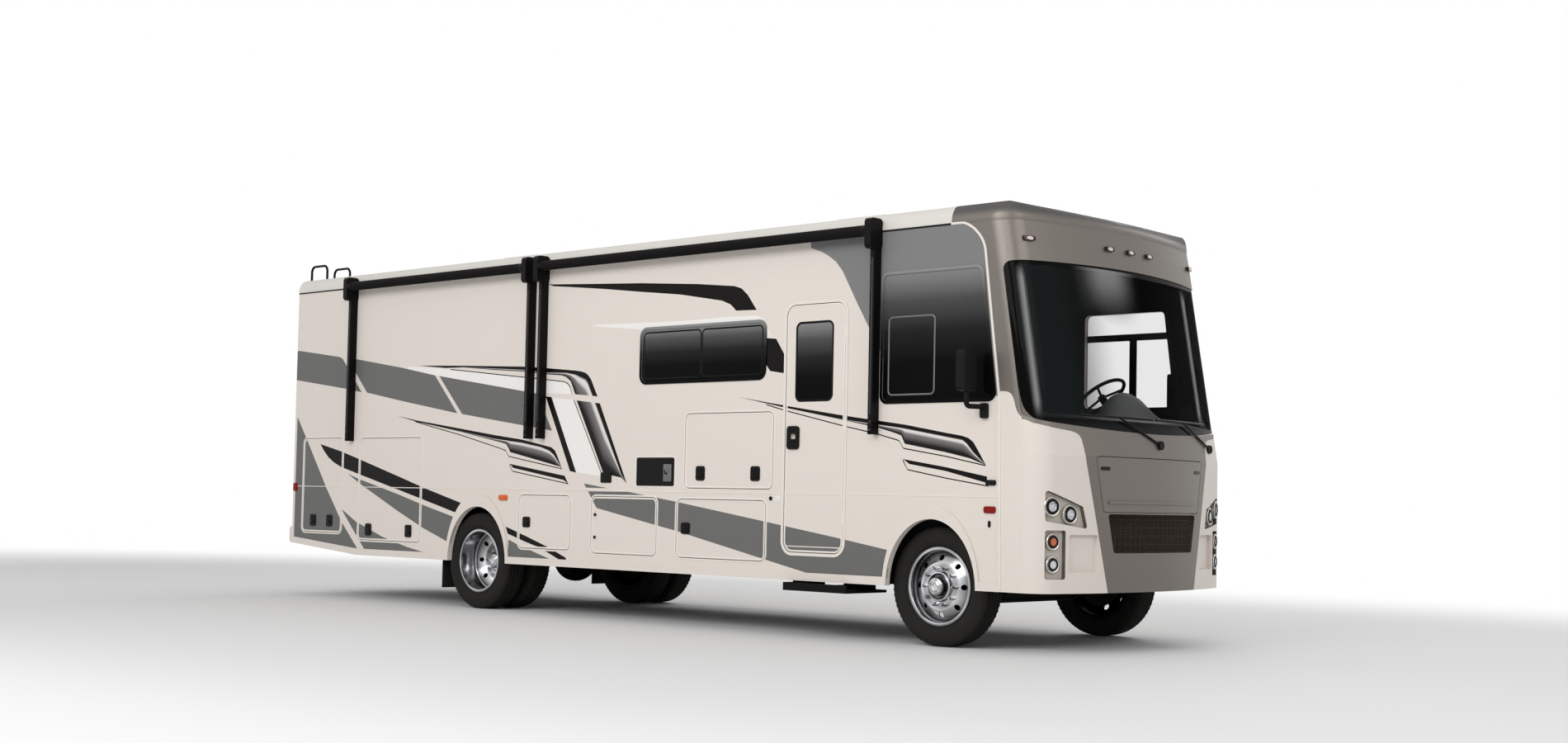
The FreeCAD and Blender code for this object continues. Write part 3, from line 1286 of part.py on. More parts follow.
def rim(x, y, side, dish):
    """A steel rim with its disc, hand holes and hub; the disc bows out by the dish."""
    half = RIM_WIDTH / 2
    outer = TYRE_BEAD_RADIUS
    flange = outer + RIM_FLANGE_TALL
    drop = outer - RIM_SHEET
    barrel = turned([(outer, -half + RIM_SHEET), (outer, half - RIM_SHEET), (flange, half - RIM_SHEET),
                     (flange, half), (drop, half), (drop, -half), (flange, -half),
                     (flange, -half + RIM_SHEET)], x, y)
    face_y = side * dish
    back_y = face_y - side * RIM_DISC
    foot_y = side * (dish - math.copysign(RIM_DISC_BOW, dish))
    disc = turned([(HUB_BORE_RADIUS, face_y), (HUB_RADIUS + STUD_CIRCLE / 2, face_y), (drop, foot_y),
                   (drop, foot_y - side * RIM_DISC), (HUB_RADIUS + STUD_CIRCLE / 2, back_y),
                   (HUB_BORE_RADIUS, back_y)], x, y)
    holes = []
    for i in range(HAND_HOLES):
        angle = 2 * math.pi * i / HAND_HOLES
        centre = V(x + HAND_HOLE_CIRCLE * math.cos(angle), y - RIM_WIDTH, AXLE_Z + HAND_HOLE_CIRCLE * math.sin(angle))
        holes.append(rod(centre, centre + V(0, RIM_WIDTH * 2, 0), HAND_HOLE_RADIUS))
    return fuse([barrel, disc]).cut(Part.makeCompound(holes))


def hub(x, y, side, dish, bore_long):
    """The hub with its cap and studs, turned on the spindle."""
    face_y = y + side * dish
    inner_y = face_y - side * bore_long
    cap_y = face_y + side * HUB_CAP_LONG
    body = rod(V(x, inner_y, AXLE_Z), V(x, face_y, AXLE_Z), HUB_RADIUS)
    cap = rod(V(x, face_y, AXLE_Z), V(x, cap_y, AXLE_Z), HUB_CAP_RADIUS)
    cap = cap.makeFillet(HUB_CAP_EDGE, [edge for edge in cap.Edges
                                              if abs(edge.BoundBox.YMin - cap_y) < SEAT_GAP
                                              and abs(edge.BoundBox.YMax - cap_y) < SEAT_GAP])
    studs = []
    for i in range(STUDS):
        angle = 2 * math.pi * i / STUDS
        foot = V(x + STUD_CIRCLE * math.cos(angle), face_y - side * RIM_DISC, AXLE_Z + STUD_CIRCLE * math.sin(angle))
        studs.append(rod(foot, foot + V(0, side * (STUD_LONG + RIM_DISC), 0), STUD_RADIUS))
    bore = rod(V(x, inner_y - side * OVERRUN, AXLE_Z), V(x, face_y, AXLE_Z), HUB_BORE_RADIUS)
    return [fuse([body, cap]).cut(bore)] + studs


def front_wheel(side):
    y = side * FRONT_TRACK / 2
    dish = RIM_WIDTH / 2 - RIM_DISC
    return fuse([rim(FRONT_AXLE_X, y, side, dish)] + hub(FRONT_AXLE_X, y, side, dish, HUB_BORE_LONG))


def rear_wheels(side):
    middle = side * REAR_TRACK / 2
    outer_y = middle + side * TWIN_SPACING / 2
    inner_y = middle - side * TWIN_SPACING / 2
    dish = TWIN_SPACING / 2 - RIM_DISC
    drum = rod(V(REAR_AXLE_X, inner_y - side * DRUM_WIDE / 2, AXLE_Z), V(REAR_AXLE_X, middle, AXLE_Z), DRUM_RADIUS)
    bore = rod(V(REAR_AXLE_X, inner_y - side * DRUM_WIDE, AXLE_Z), V(REAR_AXLE_X, middle, AXLE_Z), HUB_BORE_RADIUS)
    pieces = [rim(REAR_AXLE_X, outer_y, side, -dish + RIM_DISC), rim(REAR_AXLE_X, inner_y, side, dish)]
    pieces += hub(REAR_AXLE_X, middle, side, RIM_DISC, TWIN_SPACING / 2)
    pieces.append(drum)
    return fuse(pieces).cut(bore)


# Steering: the axle beam carries the kingpins, the knuckles turn on them

def kingpin_y():
    return FRONT_TRACK / 2 - KINGPIN_OFFSET


def front_axle():
    """A dropped I-beam with a boss and a kingpin at each end."""
    low = AXLE_Z - BEAM_DROP - BEAM_TALL / 2
    top = low + BEAM_TALL
    end_y = kingpin_y()
    rise = BEAM_DROP
    neck_y = end_y - KINGPIN_BOSS_RADIUS * 2
    under = [(-end_y, low + rise), (-neck_y, low + rise), (-BEAM_FLAT_HALF, low),
             (BEAM_FLAT_HALF, low), (neck_y, low + rise), (end_y, low + rise)]
    over = [(y, z + BEAM_TALL) for y, z in reversed(under)]
    solid = prism(under + over, "x", FRONT_AXLE_X - BEAM_WIDE / 2, FRONT_AXLE_X + BEAM_WIDE / 2)
    flute_outline = [(y, z + BEAM_FLANGE_THICK) for y, z in under]
    flute_outline += [(y, z - BEAM_FLANGE_THICK) for y, z in over]
    flutes = []
    for side in (-1, 1):
        inner = FRONT_AXLE_X + side * BEAM_WEB / 2
        outer = FRONT_AXLE_X + side * BEAM_WIDE
        flutes.append(prism(flute_outline, "x", min(inner, outer), max(inner, outer)))
    solid = solid.cut(Part.makeCompound(flutes))
    pieces = [solid]
    for side in (-1, 1):
        base = V(FRONT_AXLE_X, side * end_y, AXLE_Z - KINGPIN_BOSS_TALL / 2)
        pieces.append(rod(base, base + V(0, 0, KINGPIN_BOSS_TALL), KINGPIN_BOSS_RADIUS))
        pin = FORK_THICK + SEAT_GAP
        pieces.append(rod(base - V(0, 0, pin), base + V(0, 0, KINGPIN_BOSS_TALL + pin), KINGPIN_RADIUS))
    pads = []
    for side in (-1, 1):
        pads.append(block(FRONT_AXLE_X - BEAM_WIDE, FRONT_AXLE_X + BEAM_WIDE, side * SPRING_Y - SPRING_WIDE / 2,
                          side * SPRING_Y + SPRING_WIDE / 2, top - BEAM_FLANGE_THICK, top))
    return fuse(pieces + pads)


def knuckle():
    """The right knuckle: a fork on the kingpin, a spindle, a back plate and a steering arm."""
    y = -kingpin_y()
    low = AXLE_Z - KINGPIN_BOSS_TALL / 2 - SEAT_GAP
    top = AXLE_Z + KINGPIN_BOSS_TALL / 2 + SEAT_GAP
    pieces = []
    for z0 in (low - FORK_THICK, top):
        lug = rod(V(FRONT_AXLE_X, y, z0), V(FRONT_AXLE_X, y, z0 + FORK_THICK), KINGPIN_BOSS_RADIUS)
        arm = block(FRONT_AXLE_X - KINGPIN_BOSS_RADIUS, FRONT_AXLE_X + KINGPIN_BOSS_RADIUS,
                    y - FORK_REACH - FORK_THICK, y, z0, z0 + FORK_THICK)
        pieces += [lug, arm]
    pieces.append(block(FRONT_AXLE_X - KINGPIN_BOSS_RADIUS, FRONT_AXLE_X + KINGPIN_BOSS_RADIUS,
                        y - FORK_REACH - FORK_THICK, y - FORK_REACH, low - FORK_THICK, top + FORK_THICK))
    face_y = -(FRONT_TRACK / 2 + RIM_WIDTH / 2 - RIM_DISC)
    spindle_end = face_y + RIM_DISC
    pieces.append(rod(V(FRONT_AXLE_X, y - FORK_REACH, AXLE_Z), V(FRONT_AXLE_X, spindle_end, AXLE_Z), SPINDLE_RADIUS))
    plate_y = y - FORK_REACH - FORK_THICK
    pieces.append(rod(V(FRONT_AXLE_X, plate_y, AXLE_Z), V(FRONT_AXLE_X, plate_y + RIM_DISC, AXLE_Z), DRUM_RADIUS))
    arm_z = low - FORK_THICK
    pieces.append(block(FRONT_AXLE_X - STEER_ARM, FRONT_AXLE_X, y - STEER_ARM_WIDE / 2, y + STEER_ARM_WIDE / 2,
                        arm_z, arm_z + STEER_ARM_THICK))
    ball = V(FRONT_AXLE_X - STEER_ARM, y, arm_z)
    pieces.append(rod(ball, ball + V(0, 0, STEER_ARM_THICK), STEER_ARM_WIDE / 2))
    pieces.append(rod(ball - V(0, 0, BALL_PIN_LONG), ball, BALL_PIN_RADIUS))
    solid = fuse(pieces)
    pin_hole = rod(V(FRONT_AXLE_X, y, low - FORK_THICK * 2), V(FRONT_AXLE_X, y, top + FORK_THICK * 2),
                   KINGPIN_RADIUS + SEAT_GAP)
    beam_room = block(FRONT_AXLE_X - KINGPIN_BOSS_RADIUS * 2, FRONT_AXLE_X + KINGPIN_BOSS_RADIUS * 2,
                      y - FORK_REACH, y + KINGPIN_BOSS_RADIUS * 2, low, top)
    return solid.cut(pin_hole).cut(beam_room)


def tie_rod():
    """The rod that joins both steering arms, with an eye round each ball pin."""
    y = kingpin_y()
    x = FRONT_AXLE_X - STEER_ARM
    top = AXLE_Z - KINGPIN_BOSS_TALL / 2 - SEAT_GAP - FORK_THICK - SEAT_GAP
    pieces = []
    holes = []
    for side in (-1, 1):
        base = V(x, side * y, top - TIE_EYE_TALL)
        pieces.append(rod(base, base + V(0, 0, TIE_EYE_TALL), TIE_EYE_RADIUS))
        holes.append(rod(base - V(0, 0, OVERRUN), base + V(0, 0, OVERRUN * 2), BALL_PIN_RADIUS + SEAT_GAP))
    middle = top - TIE_EYE_TALL / 2
    pieces.append(rod(V(x, -y, middle), V(x, y, middle), TIE_ROD_RADIUS))
    return fuse(pieces).cut(Part.makeCompound(holes))


def rear_axle():
    end = REAR_TRACK / 2
    tube_end = end - TWIN_SPACING / 2 - DRUM_WIDE / 2 - PANEL_GAP * 2
    tube = rod(V(REAR_AXLE_X, -tube_end, AXLE_Z), V(REAR_AXLE_X, tube_end, AXLE_Z), AXLE_TUBE_RADIUS)
    spindle = rod(V(REAR_AXLE_X, -end, AXLE_Z), V(REAR_AXLE_X, end, AXLE_Z), REAR_SPINDLE_RADIUS)
    ball = Part.makeSphere(DIFF_RADIUS, V(REAR_AXLE_X, 0, AXLE_Z))
    ball = ball.common(block(REAR_AXLE_X - DIFF_RADIUS, REAR_AXLE_X + DIFF_RADIUS,
                             -DIFF_LONG / 2, DIFF_LONG / 2, AXLE_Z - DIFF_RADIUS, AXLE_Z + DIFF_RADIUS))
    nose = rod(V(REAR_AXLE_X, 0, AXLE_Z), V(REAR_AXLE_X + DIFF_RADIUS + AXLE_TUBE_RADIUS, 0, AXLE_Z),
               AXLE_TUBE_RADIUS)
    pads = []
    for side in (-1, 1):
        pads.append(block(REAR_AXLE_X - AXLE_TUBE_RADIUS, REAR_AXLE_X + AXLE_TUBE_RADIUS,
                          side * SPRING_Y - SPRING_WIDE / 2, side * SPRING_Y + SPRING_WIDE / 2,
                          AXLE_Z, AXLE_Z + AXLE_TUBE_RADIUS))
    return fuse([tube, spindle, ball, nose] + pads)


def leaf_spring(x, half, seat_z, side):
    """A stack of leaves, each shorter than the one above, with an eye bracket at each end."""
    y0 = side * SPRING_Y - SPRING_WIDE / 2
    y1 = side * SPRING_Y + SPRING_WIDE / 2
    top_z = seat_z + SPRING_LEAF * SPRING_LEAVES
    leaves = []
    for i in range(SPRING_LEAVES):
        reach = half * (SPRING_LEAVES - i) / SPRING_LEAVES
        lift = SPRING_CAMBER * (reach / half) ** 2
        upper = top_z - i * SPRING_LEAF
        ends = [V(x - reach, y0, upper + lift), V(x, y0, upper), V(x + reach, y0, upper + lift)]
        lower = [point - V(0, 0, SPRING_LEAF) for point in ends]
        edges = [Part.Arc(ends[0], ends[1], ends[2]).toShape(), Part.LineSegment(ends[2], lower[2]).toShape(),
                 Part.Arc(lower[2], lower[1], lower[0]).toShape(), Part.LineSegment(lower[0], ends[0]).toShape()]
        leaves.append(Part.Face(Part.Wire(edges)).extrude(V(0, y1 - y0, 0)))
    for way in (-1, 1):
        eye_x = x + way * half
        eye_z = top_z + SPRING_CAMBER
        leaves.append(rod(V(eye_x, y0, eye_z), V(eye_x, y1, eye_z), SPRING_EYE))
        leaves.append(block(eye_x - SPRING_EYE, eye_x + SPRING_EYE, y0, y1, eye_z, RAIL_UNDER))
    return fuse(leaves)


def springs():
    beam_top = AXLE_Z - BEAM_DROP + BEAM_TALL / 2
    found = []
    for side in (-1, 1):
        found.append(leaf_spring(FRONT_AXLE_X, SPRING_FRONT_HALF, beam_top, side))
        found.append(leaf_spring(REAR_AXLE_X, SPRING_REAR_HALF, AXLE_Z + AXLE_TUBE_RADIUS, side))
    return found


# Chassis and what it carries

def rail(side):
    """A channel rail with its open side towards the middle."""
    outer = side * RAIL_OUTER_Y
    inner = side * (RAIL_OUTER_Y - RAIL_FLANGE)
    y0, y1 = min(outer, inner), max(outer, inner)
    bar = block(RAIL_REAR_X, RAIL_FRONT_X, y0, y1, RAIL_UNDER, RAIL_TOP)
    if side > 0:
        y1 -= RAIL_PLATE
    else:
        y0 += RAIL_PLATE
    return bar.cut(block(RAIL_REAR_X - OVERRUN, RAIL_FRONT_X + OVERRUN, min(y0, y0), max(y1, y1),
                         RAIL_UNDER + RAIL_PLATE, RAIL_TOP - RAIL_PLATE))


def receiver():
    """A square receiver tube under a cross beam, open to the rear."""
    half = RECEIVER_OUTER / 2
    bore = RECEIVER_INNER / 2
    tube = block(RECEIVER_END_X, RECEIVER_END_X + RECEIVER_LONG, -half, half, RECEIVER_Z - half, RECEIVER_Z + half)
    beam_x = RECEIVER_END_X + RECEIVER_LONG - RECEIVER_BEAM
    beam = block(beam_x, beam_x + RECEIVER_BEAM, -RAIL_OUTER_Y, RAIL_OUTER_Y,
                 RECEIVER_Z + half, RECEIVER_Z + half + RECEIVER_BEAM / 2)
    plates = []
    for side in (-1, 1):
        y = side * RAIL_OUTER_Y
        plates.append(block(beam_x, beam_x + RECEIVER_BEAM * 2, min(y, y - side * RECEIVER_PLATE),
                            max(y, y - side * RECEIVER_PLATE), RECEIVER_Z + half, RAIL_TOP - RAIL_PLATE))
    bore_box = block(RECEIVER_END_X - OVERRUN, RECEIVER_END_X + RECEIVER_LONG - RECEIVER_PLATE,
                     -bore, bore, RECEIVER_Z - bore, RECEIVER_Z + bore)
    pin_x = RECEIVER_END_X + RECEIVER_PIN_SETBACK
    pin_hole = rod(V(pin_x, -RECEIVER_OUTER, RECEIVER_Z), V(pin_x, RECEIVER_OUTER, RECEIVER_Z), RECEIVER_PIN_RADIUS)
    return [fuse([tube, beam] + plates).cut(bore_box).cut(pin_hole)]


def chassis():
    pieces = [rail(-1), rail(1)] + receiver()
    web_half = RAIL_OUTER_Y - RAIL_PLATE
    low = RAIL_TOP - RAIL_PLATE - CROSS_TALL
    span = RAIL_FRONT_X - RAIL_REAR_X - CROSS_WIDE
    for i in range(CROSS_COUNT):
        x = RAIL_REAR_X + span * i / (CROSS_COUNT - 1)
        if x + CROSS_WIDE > ENGINE_REAR_X and x < ENGINE_REAR_X + ENGINE_LONG:
            continue
        pieces.append(block(x, x + CROSS_WIDE, -web_half, web_half, low, RAIL_TOP - RAIL_PLATE))
    cradle_x = ENGINE_REAR_X + ENGINE_LONG / 2
    throat = RAIL_OUTER_Y - RAIL_FLANGE
    pieces.append(block(cradle_x - CROSS_WIDE / 2, cradle_x + CROSS_WIDE / 2, -throat, throat,
                        ENGINE_UNDER - CROSS_WIDE / 2, ENGINE_UNDER))
    for side in (-1, 1):
        outer = side * throat
        inner = side * (throat - RAIL_PLATE * 2)
        pieces.append(block(cradle_x - CROSS_WIDE / 2, cradle_x + CROSS_WIDE / 2, min(outer, inner),
                            max(outer, inner), ENGINE_UNDER - CROSS_WIDE / 2, RAIL_TOP))
    span = RAIL_FRONT_X - RAIL_REAR_X - BEARER_WIDE
    for i in range(BEARER_COUNT):
        x = RAIL_REAR_X + span * i / (BEARER_COUNT - 1)
        for side in (-1, 1):
            y = side * (RAIL_OUTER_Y - RAIL_FLANGE / 2)
            pieces.append(block(x, x + BEARER_WIDE, y - RAIL_FLANGE / 2, y + RAIL_FLANGE / 2, RAIL_TOP, FLOOR_UNDER))
    return fuse(pieces)


def engine():
    outline = rectangle(ENGINE_REAR_X, ENGINE_REAR_X + ENGINE_LONG, ENGINE_UNDER, ENGINE_TOP)
    return plate(outline, ENGINE_CORNER, "y", -ENGINE_HALF, ENGINE_HALF)


def drive_line():
    """The gearbox behind the engine and the shaft that slopes down to the rear axle."""
    front = V(ENGINE_REAR_X, 0, GEARBOX_Z)
    tail = V(ENGINE_REAR_X - GEARBOX_LONG, 0, GEARBOX_Z)
    case = Part.makeCone(GEARBOX_RADIUS, GEARBOX_TAIL_RADIUS, GEARBOX_LONG, front, V(-1, 0, 0))
    nose = V(REAR_AXLE_X + DIFF_RADIUS + AXLE_TUBE_RADIUS, 0, AXLE_Z)
    shaft = rod(nose, tail, SHAFT_RADIUS)
    shaft = shaft.cut(block(REAR_AXLE_X, nose.x, -DIFF_RADIUS, DIFF_RADIUS, AXLE_Z - DIFF_RADIUS, AXLE_Z + DIFF_RADIUS))
    return fuse([case, shaft])


def fuel_tank():
    outline = rectangle(-FUEL_HALF, FUEL_HALF, FUEL_UNDER, FUEL_TOP)
    return plate(outline, FUEL_CORNER, "x", FUEL_REAR_X, FUEL_FRONT_X)


def exhaust():
    front = V(EXHAUST_FRONT_X, SILENCER_Y, SILENCER_Z)
    case = rod(V(SILENCER_REAR_X, SILENCER_Y, SILENCER_Z),
               V(SILENCER_REAR_X + SILENCER_LONG, SILENCER_Y, SILENCER_Z), SILENCER_RADIUS)
    knee = V(EXHAUST_TURN_X, SILENCER_Y, EXHAUST_LOW_Z)
    tube = bent_tube([front, V(EXHAUST_TURN_X + EXHAUST_SLOPE, SILENCER_Y, SILENCER_Z), knee,
                      V(EXHAUST_TURN_X, EXHAUST_END_Y, EXHAUST_LOW_Z)], EXHAUST_RADIUS, EXHAUST_BEND)
    hangers = []
    for x in (SILENCER_REAR_X + SILENCER_LONG / 4, SILENCER_REAR_X + SILENCER_LONG * 3 / 4):
        hangers.append(block(x - EXHAUST_RADIUS, x + EXHAUST_RADIUS, RAIL_OUTER_Y - RAIL_FLANGE,
                             RAIL_OUTER_Y - RAIL_FLANGE + RAIL_PLATE, SILENCER_Z, RAIL_UNDER))
        hangers.append(block(x - EXHAUST_RADIUS, x + EXHAUST_RADIUS, SILENCER_Y,
                             RAIL_OUTER_Y - RAIL_FLANGE + RAIL_PLATE, SILENCER_Z, SILENCER_Z + RAIL_PLATE))
    return fuse([case, tube] + hangers)


def housing(x, half, tall):
    outer = arch(x, half + HOUSING_SHEET, tall + HOUSING_SHEET, -INNER_HALF, -HOUSING_INNER_Y)
    inner = arch(x, half, tall, -INNER_HALF - OVERRUN, -HOUSING_INNER_Y + OVERRUN)
    return outer.cut(inner).common(block(x - half * 2, x + half * 2, -INNER_HALF, -HOUSING_INNER_Y,
                                         SKIRT_BOTTOM, FLOOR_UNDER))


def wheel_housings():
    found = []
    for x, half, tall in ((FRONT_ARCH_X, FRONT_HOUSING_HALF, FRONT_HOUSING_TALL),
                          (REAR_AXLE_X, REAR_HOUSING_HALF, REAR_HOUSING_TALL)):
        found += both_sides(housing(x, half, tall))
    return found


def mud_flaps():
    rear = REAR_AXLE_X - REAR_HOUSING_HALF - HOUSING_SHEET
    flap = block(rear - MUD_FLAP_THICK, rear, -MUD_FLAP_OUTER_Y, -MUD_FLAP_INNER_Y,
                 MUD_FLAP_Z, MUD_FLAP_Z + MUD_FLAP_TALL)
    return both_sides(flap)


# Fittings outside

def ladder():
    """Two tubes that rise up the rear wall and loop over onto the roof, with rungs between."""
    pieces = []
    for y in (LADDER_NEAR_Y, LADDER_NEAR_Y + LADDER_STEP_WIDE):
        roof_z = ROOF_EDGE_Z
        path = [V(TAIL_X, y, LADDER_FOOT_Z), V(LADDER_X, y, LADDER_FOOT_Z), V(LADDER_X, y, LADDER_LOOP_Z),
                V(LADDER_ROOF_X, y, LADDER_LOOP_Z), V(LADDER_ROOF_X, y, roof_z)]
        pieces.append(bent_tube(path, LADDER_RADIUS, LADDER_BEND))
        for i in range(LADDER_MOUNTS):
            z = LADDER_FOOT_Z + (WALL_TOP - LADDER_FOOT_Z) * (i + 1) / (LADDER_MOUNTS + 1)
            pieces.append(rod(V(LADDER_X, y, z), V(TAIL_X, y, z), LADDER_MOUNT_RADIUS))
    count = int((WALL_TOP - LADDER_FOOT_Z) // RUNG_PITCH)
    for i in range(1, count + 1):
        z = LADDER_FOOT_Z + i * RUNG_PITCH
        pieces.append(rod(V(LADDER_X, LADDER_NEAR_Y, z), V(LADDER_X, LADDER_NEAR_Y + LADDER_STEP_WIDE, z),
                          LADDER_RADIUS))
    joined = fuse(pieces)
    crown = roof_outer_solid()
    return joined.cut(crown)


def roof_outer_solid():
    """The roof without its ceiling recess, to trim what stands on it."""
    return roof().fuse(block(TAIL_X + WALL, ROOF_FRONT_X, -INNER_HALF + WALL, INNER_HALF - WALL,
                             WALL_TOP - OVERRUN, ROOF_EDGE_Z - WALL))


def awning_y():
    return -BODY_HALF - AWNING_AXIS_OUT


def awning_rollers():
    y = awning_y()
    rolls = []
    for front, rear in ((AWNING_FRONT_X, AWNING_MID_X), (AWNING_TWIN_X, AWNING_REAR_X)):
        inset = AWNING_HEAD_WIDE / 2
        rolls.append(rod(V(rear + inset, y, AWNING_AXIS_Z), V(front - inset, y, AWNING_AXIS_Z), AWNING_ROLL_RADIUS))
    return rolls


def awning_arm(x):
    """An upright channel arm on the wall, with a slotted foot and a head that holds the roller."""
    half = AWNING_ARM_WIDE / 2
    y_wall = -BODY_HALF
    y_out = y_wall - AWNING_ARM_DEEP
    bar = block(x - half, x + half, y_out, y_wall, AWNING_FOOT_Z, AWNING_HEAD_Z + AWNING_HEAD_TALL / 2)
    groove = block(x - half + AWNING_ARM_SHELL, x + half - AWNING_ARM_SHELL, y_out + AWNING_ARM_SHELL,
                   y_wall - AWNING_ARM_SPLIT, AWNING_FOOT_Z + AWNING_SLOT_TALL, AWNING_HEAD_Z)
    slot = block(x - AWNING_SLOT_WIDE / 2, x + AWNING_SLOT_WIDE / 2, y_out - OVERRUN, y_out + AWNING_ARM_DEEP / 2,
                 AWNING_FOOT_Z - OVERRUN, AWNING_FOOT_Z + AWNING_SLOT_TALL / 2)
    head_half = AWNING_HEAD_WIDE / 2
    head_outline = rectangle(y_wall - AWNING_AXIS_OUT - AWNING_ROLL_RADIUS, y_wall,
                             AWNING_HEAD_Z, AWNING_HEAD_Z + AWNING_HEAD_TALL)
    head = plate(head_outline, AWNING_HEAD_CORNER, "x", x - head_half, x + head_half)
    return fuse([bar.cut(groove).cut(slot), head])


def awning_arms():
    crown = roof_outer_solid()
    return [awning_arm(x).cut(crown) for x in (AWNING_FRONT_X, AWNING_MID_X, AWNING_TWIN_X, AWNING_REAR_X)]


def entry_step():
    """A folded tread that hangs under the sill on two side plates."""
    top = STEP_UNDER + STEP_TALL
    tread = block(STEP_REAR_X, STEP_FRONT_X, -STEP_OUTER_Y, -STEP_INNER_Y, STEP_UNDER, STEP_UNDER + STEP_TREAD)
    lip = block(STEP_REAR_X, STEP_FRONT_X, -STEP_OUTER_Y, -STEP_OUTER_Y + STEP_SIDE, STEP_UNDER, top)
    pieces = [tread, lip]
    well_low = ENTRY_SILL_Z - STEPWELL_SHEET
    for x in (STEP_REAR_X, ENTRY_FRONT_X - STEP_SIDE):
        pieces.append(block(x, x + STEP_SIDE, -STEP_OUTER_Y, -STEP_INNER_Y, STEP_UNDER, top))
        pieces.append(block(x, x + STEP_SIDE, -INNER_HALF, -INNER_HALF + STEPWELL_GOING, STEP_UNDER, well_low))
    return fuse(pieces)


def mirror_set():
    """A mirror on the right: a wall plate, a bent arm and a tall rounded head."""
    base_outline = rectangle(MIRROR_BASE_X - MIRROR_BASE_LONG / 2, MIRROR_BASE_X + MIRROR_BASE_LONG / 2,
                             MIRROR_BASE_Z - MIRROR_BASE_TALL / 2, MIRROR_BASE_Z + MIRROR_BASE_TALL / 2)
    base = plate(base_outline, MIRROR_BASE_DEEP / 2, "y", -BODY_HALF - MIRROR_BASE_DEEP, -BODY_HALF)
    out_y = -BODY_HALF - MIRROR_OUT
    head_top = MIRROR_HEAD_LOW_Z + MIRROR_HEAD_TALL
    head_outline = rectangle(out_y - MIRROR_HEAD_WIDE / 2, out_y + MIRROR_HEAD_WIDE / 2,
                             MIRROR_HEAD_LOW_Z, head_top)
    head = plate(head_outline, MIRROR_HEAD_CORNER, "x", MIRROR_HEAD_X - MIRROR_HEAD_DEEP / 2,
                 MIRROR_HEAD_X + MIRROR_HEAD_DEEP / 2)
    head = head.makeFillet(MIRROR_HEAD_CORNER / 2, [edge for edge in head.Edges
                                                    if edge.BoundBox.XMin > MIRROR_HEAD_X])
    low_z = MIRROR_BASE_Z + MIRROR_BASE_TALL / 4
    path = [V(MIRROR_BASE_X, -BODY_HALF - MIRROR_BASE_DEEP / 2, low_z),
            V(MIRROR_HEAD_X, out_y, low_z),
            V(MIRROR_HEAD_X, out_y, MIRROR_HEAD_LOW_Z + MIRROR_HEAD_CORNER)]
    arm = bent_tube(path, MIRROR_ARM_RADIUS, MIRROR_ARM_BEND)
    return fuse([base, arm, head])


def wiper(pivot_y):
    """One wiper: a boss on the cap, an arm across the glass and a straight blade."""
    surface = cap_front_x(WIPER_PIVOT_Z) - pivot_y ** 2 / CAP_FRONT_RADIUS / 2
    reach_y = pivot_y - WIPER_REACH_Y
    blade_x = cap_front_x(WIPER_BLADE_Z) - reach_y ** 2 / CAP_FRONT_RADIUS / 2 + WIPER_OUT
    pivot = V(surface - WIPER_BOSS_LONG, pivot_y, WIPER_PIVOT_Z)
    knob = V(surface + WIPER_OUT, pivot_y, WIPER_PIVOT_Z)
    middle = V(blade_x, reach_y, WIPER_BLADE_Z)
    boss = rod(pivot, knob, WIPER_BOSS_RADIUS)
    arm = rod(knob - V(WIPER_ARM_RADIUS, 0, 0), middle, WIPER_ARM_RADIUS)
    ends = []
    for way in (-1, 1):
        y = reach_y + way * WIPER_BLADE_HALF
        bow = cap_front_x(WIPER_BLADE_Z) - y ** 2 / CAP_FRONT_RADIUS / 2 + WIPER_OUT
        ends.append(V(bow, y, WIPER_BLADE_Z))
    edge = Part.Arc(ends[0], middle, ends[1]).toShape()
    ring = Part.Wire(Part.makeCircle(WIPER_BLADE_RADIUS, ends[0], edge.tangentAt(edge.FirstParameter)))
    blade = Part.Wire(edge).makePipeShell([ring], True, False)
    return fuse([boss, arm, blade]).cut(cap_solid(0, SKIRT_BOTTOM, 0))


def wipers():
    return [wiper(WIPER_PIVOT_Y), wiper(WIPER_PIVOT_Y + WIPER_SPAN_Y)]


# Inside the cab

def column_axis():
    tilt = math.radians(WHEEL_TILT)
    return V(-math.sin(tilt), 0, math.cos(tilt))


def column(radius, reach):
    """A round bar from the middle of the steering wheel down towards the dashboard."""
    centre = V(WHEEL_X, WHEEL_Y, WHEEL_Z)
    return rod(centre - column_axis() * reach, centre, radius)


def dashboard():
    """The dashboard, with a round bore that the steering column turns in."""
    outline = [(DASH_KNEE_X, FLOOR_TOP), (DASH_FRONT_X, FLOOR_TOP), (DASH_FRONT_X, DASH_TOP_Z),
               (DASH_REAR_X + (DASH_KNEE_X - DASH_REAR_X) / 3, DASH_TOP_Z), (DASH_REAR_X, DASH_LIP_Z),
               (DASH_REAR_X, DASH_KNEE_Z), (DASH_KNEE_X, DASH_KNEE_Z - (DASH_LIP_Z - DASH_KNEE_Z) / 2)]
    bore = column(COLUMN_RADIUS + SEAT_GAP, COLUMN_LONG + COLUMN_END_GAP)
    return prism(outline, "y", -DASH_HALF, DASH_HALF).cut(bore)


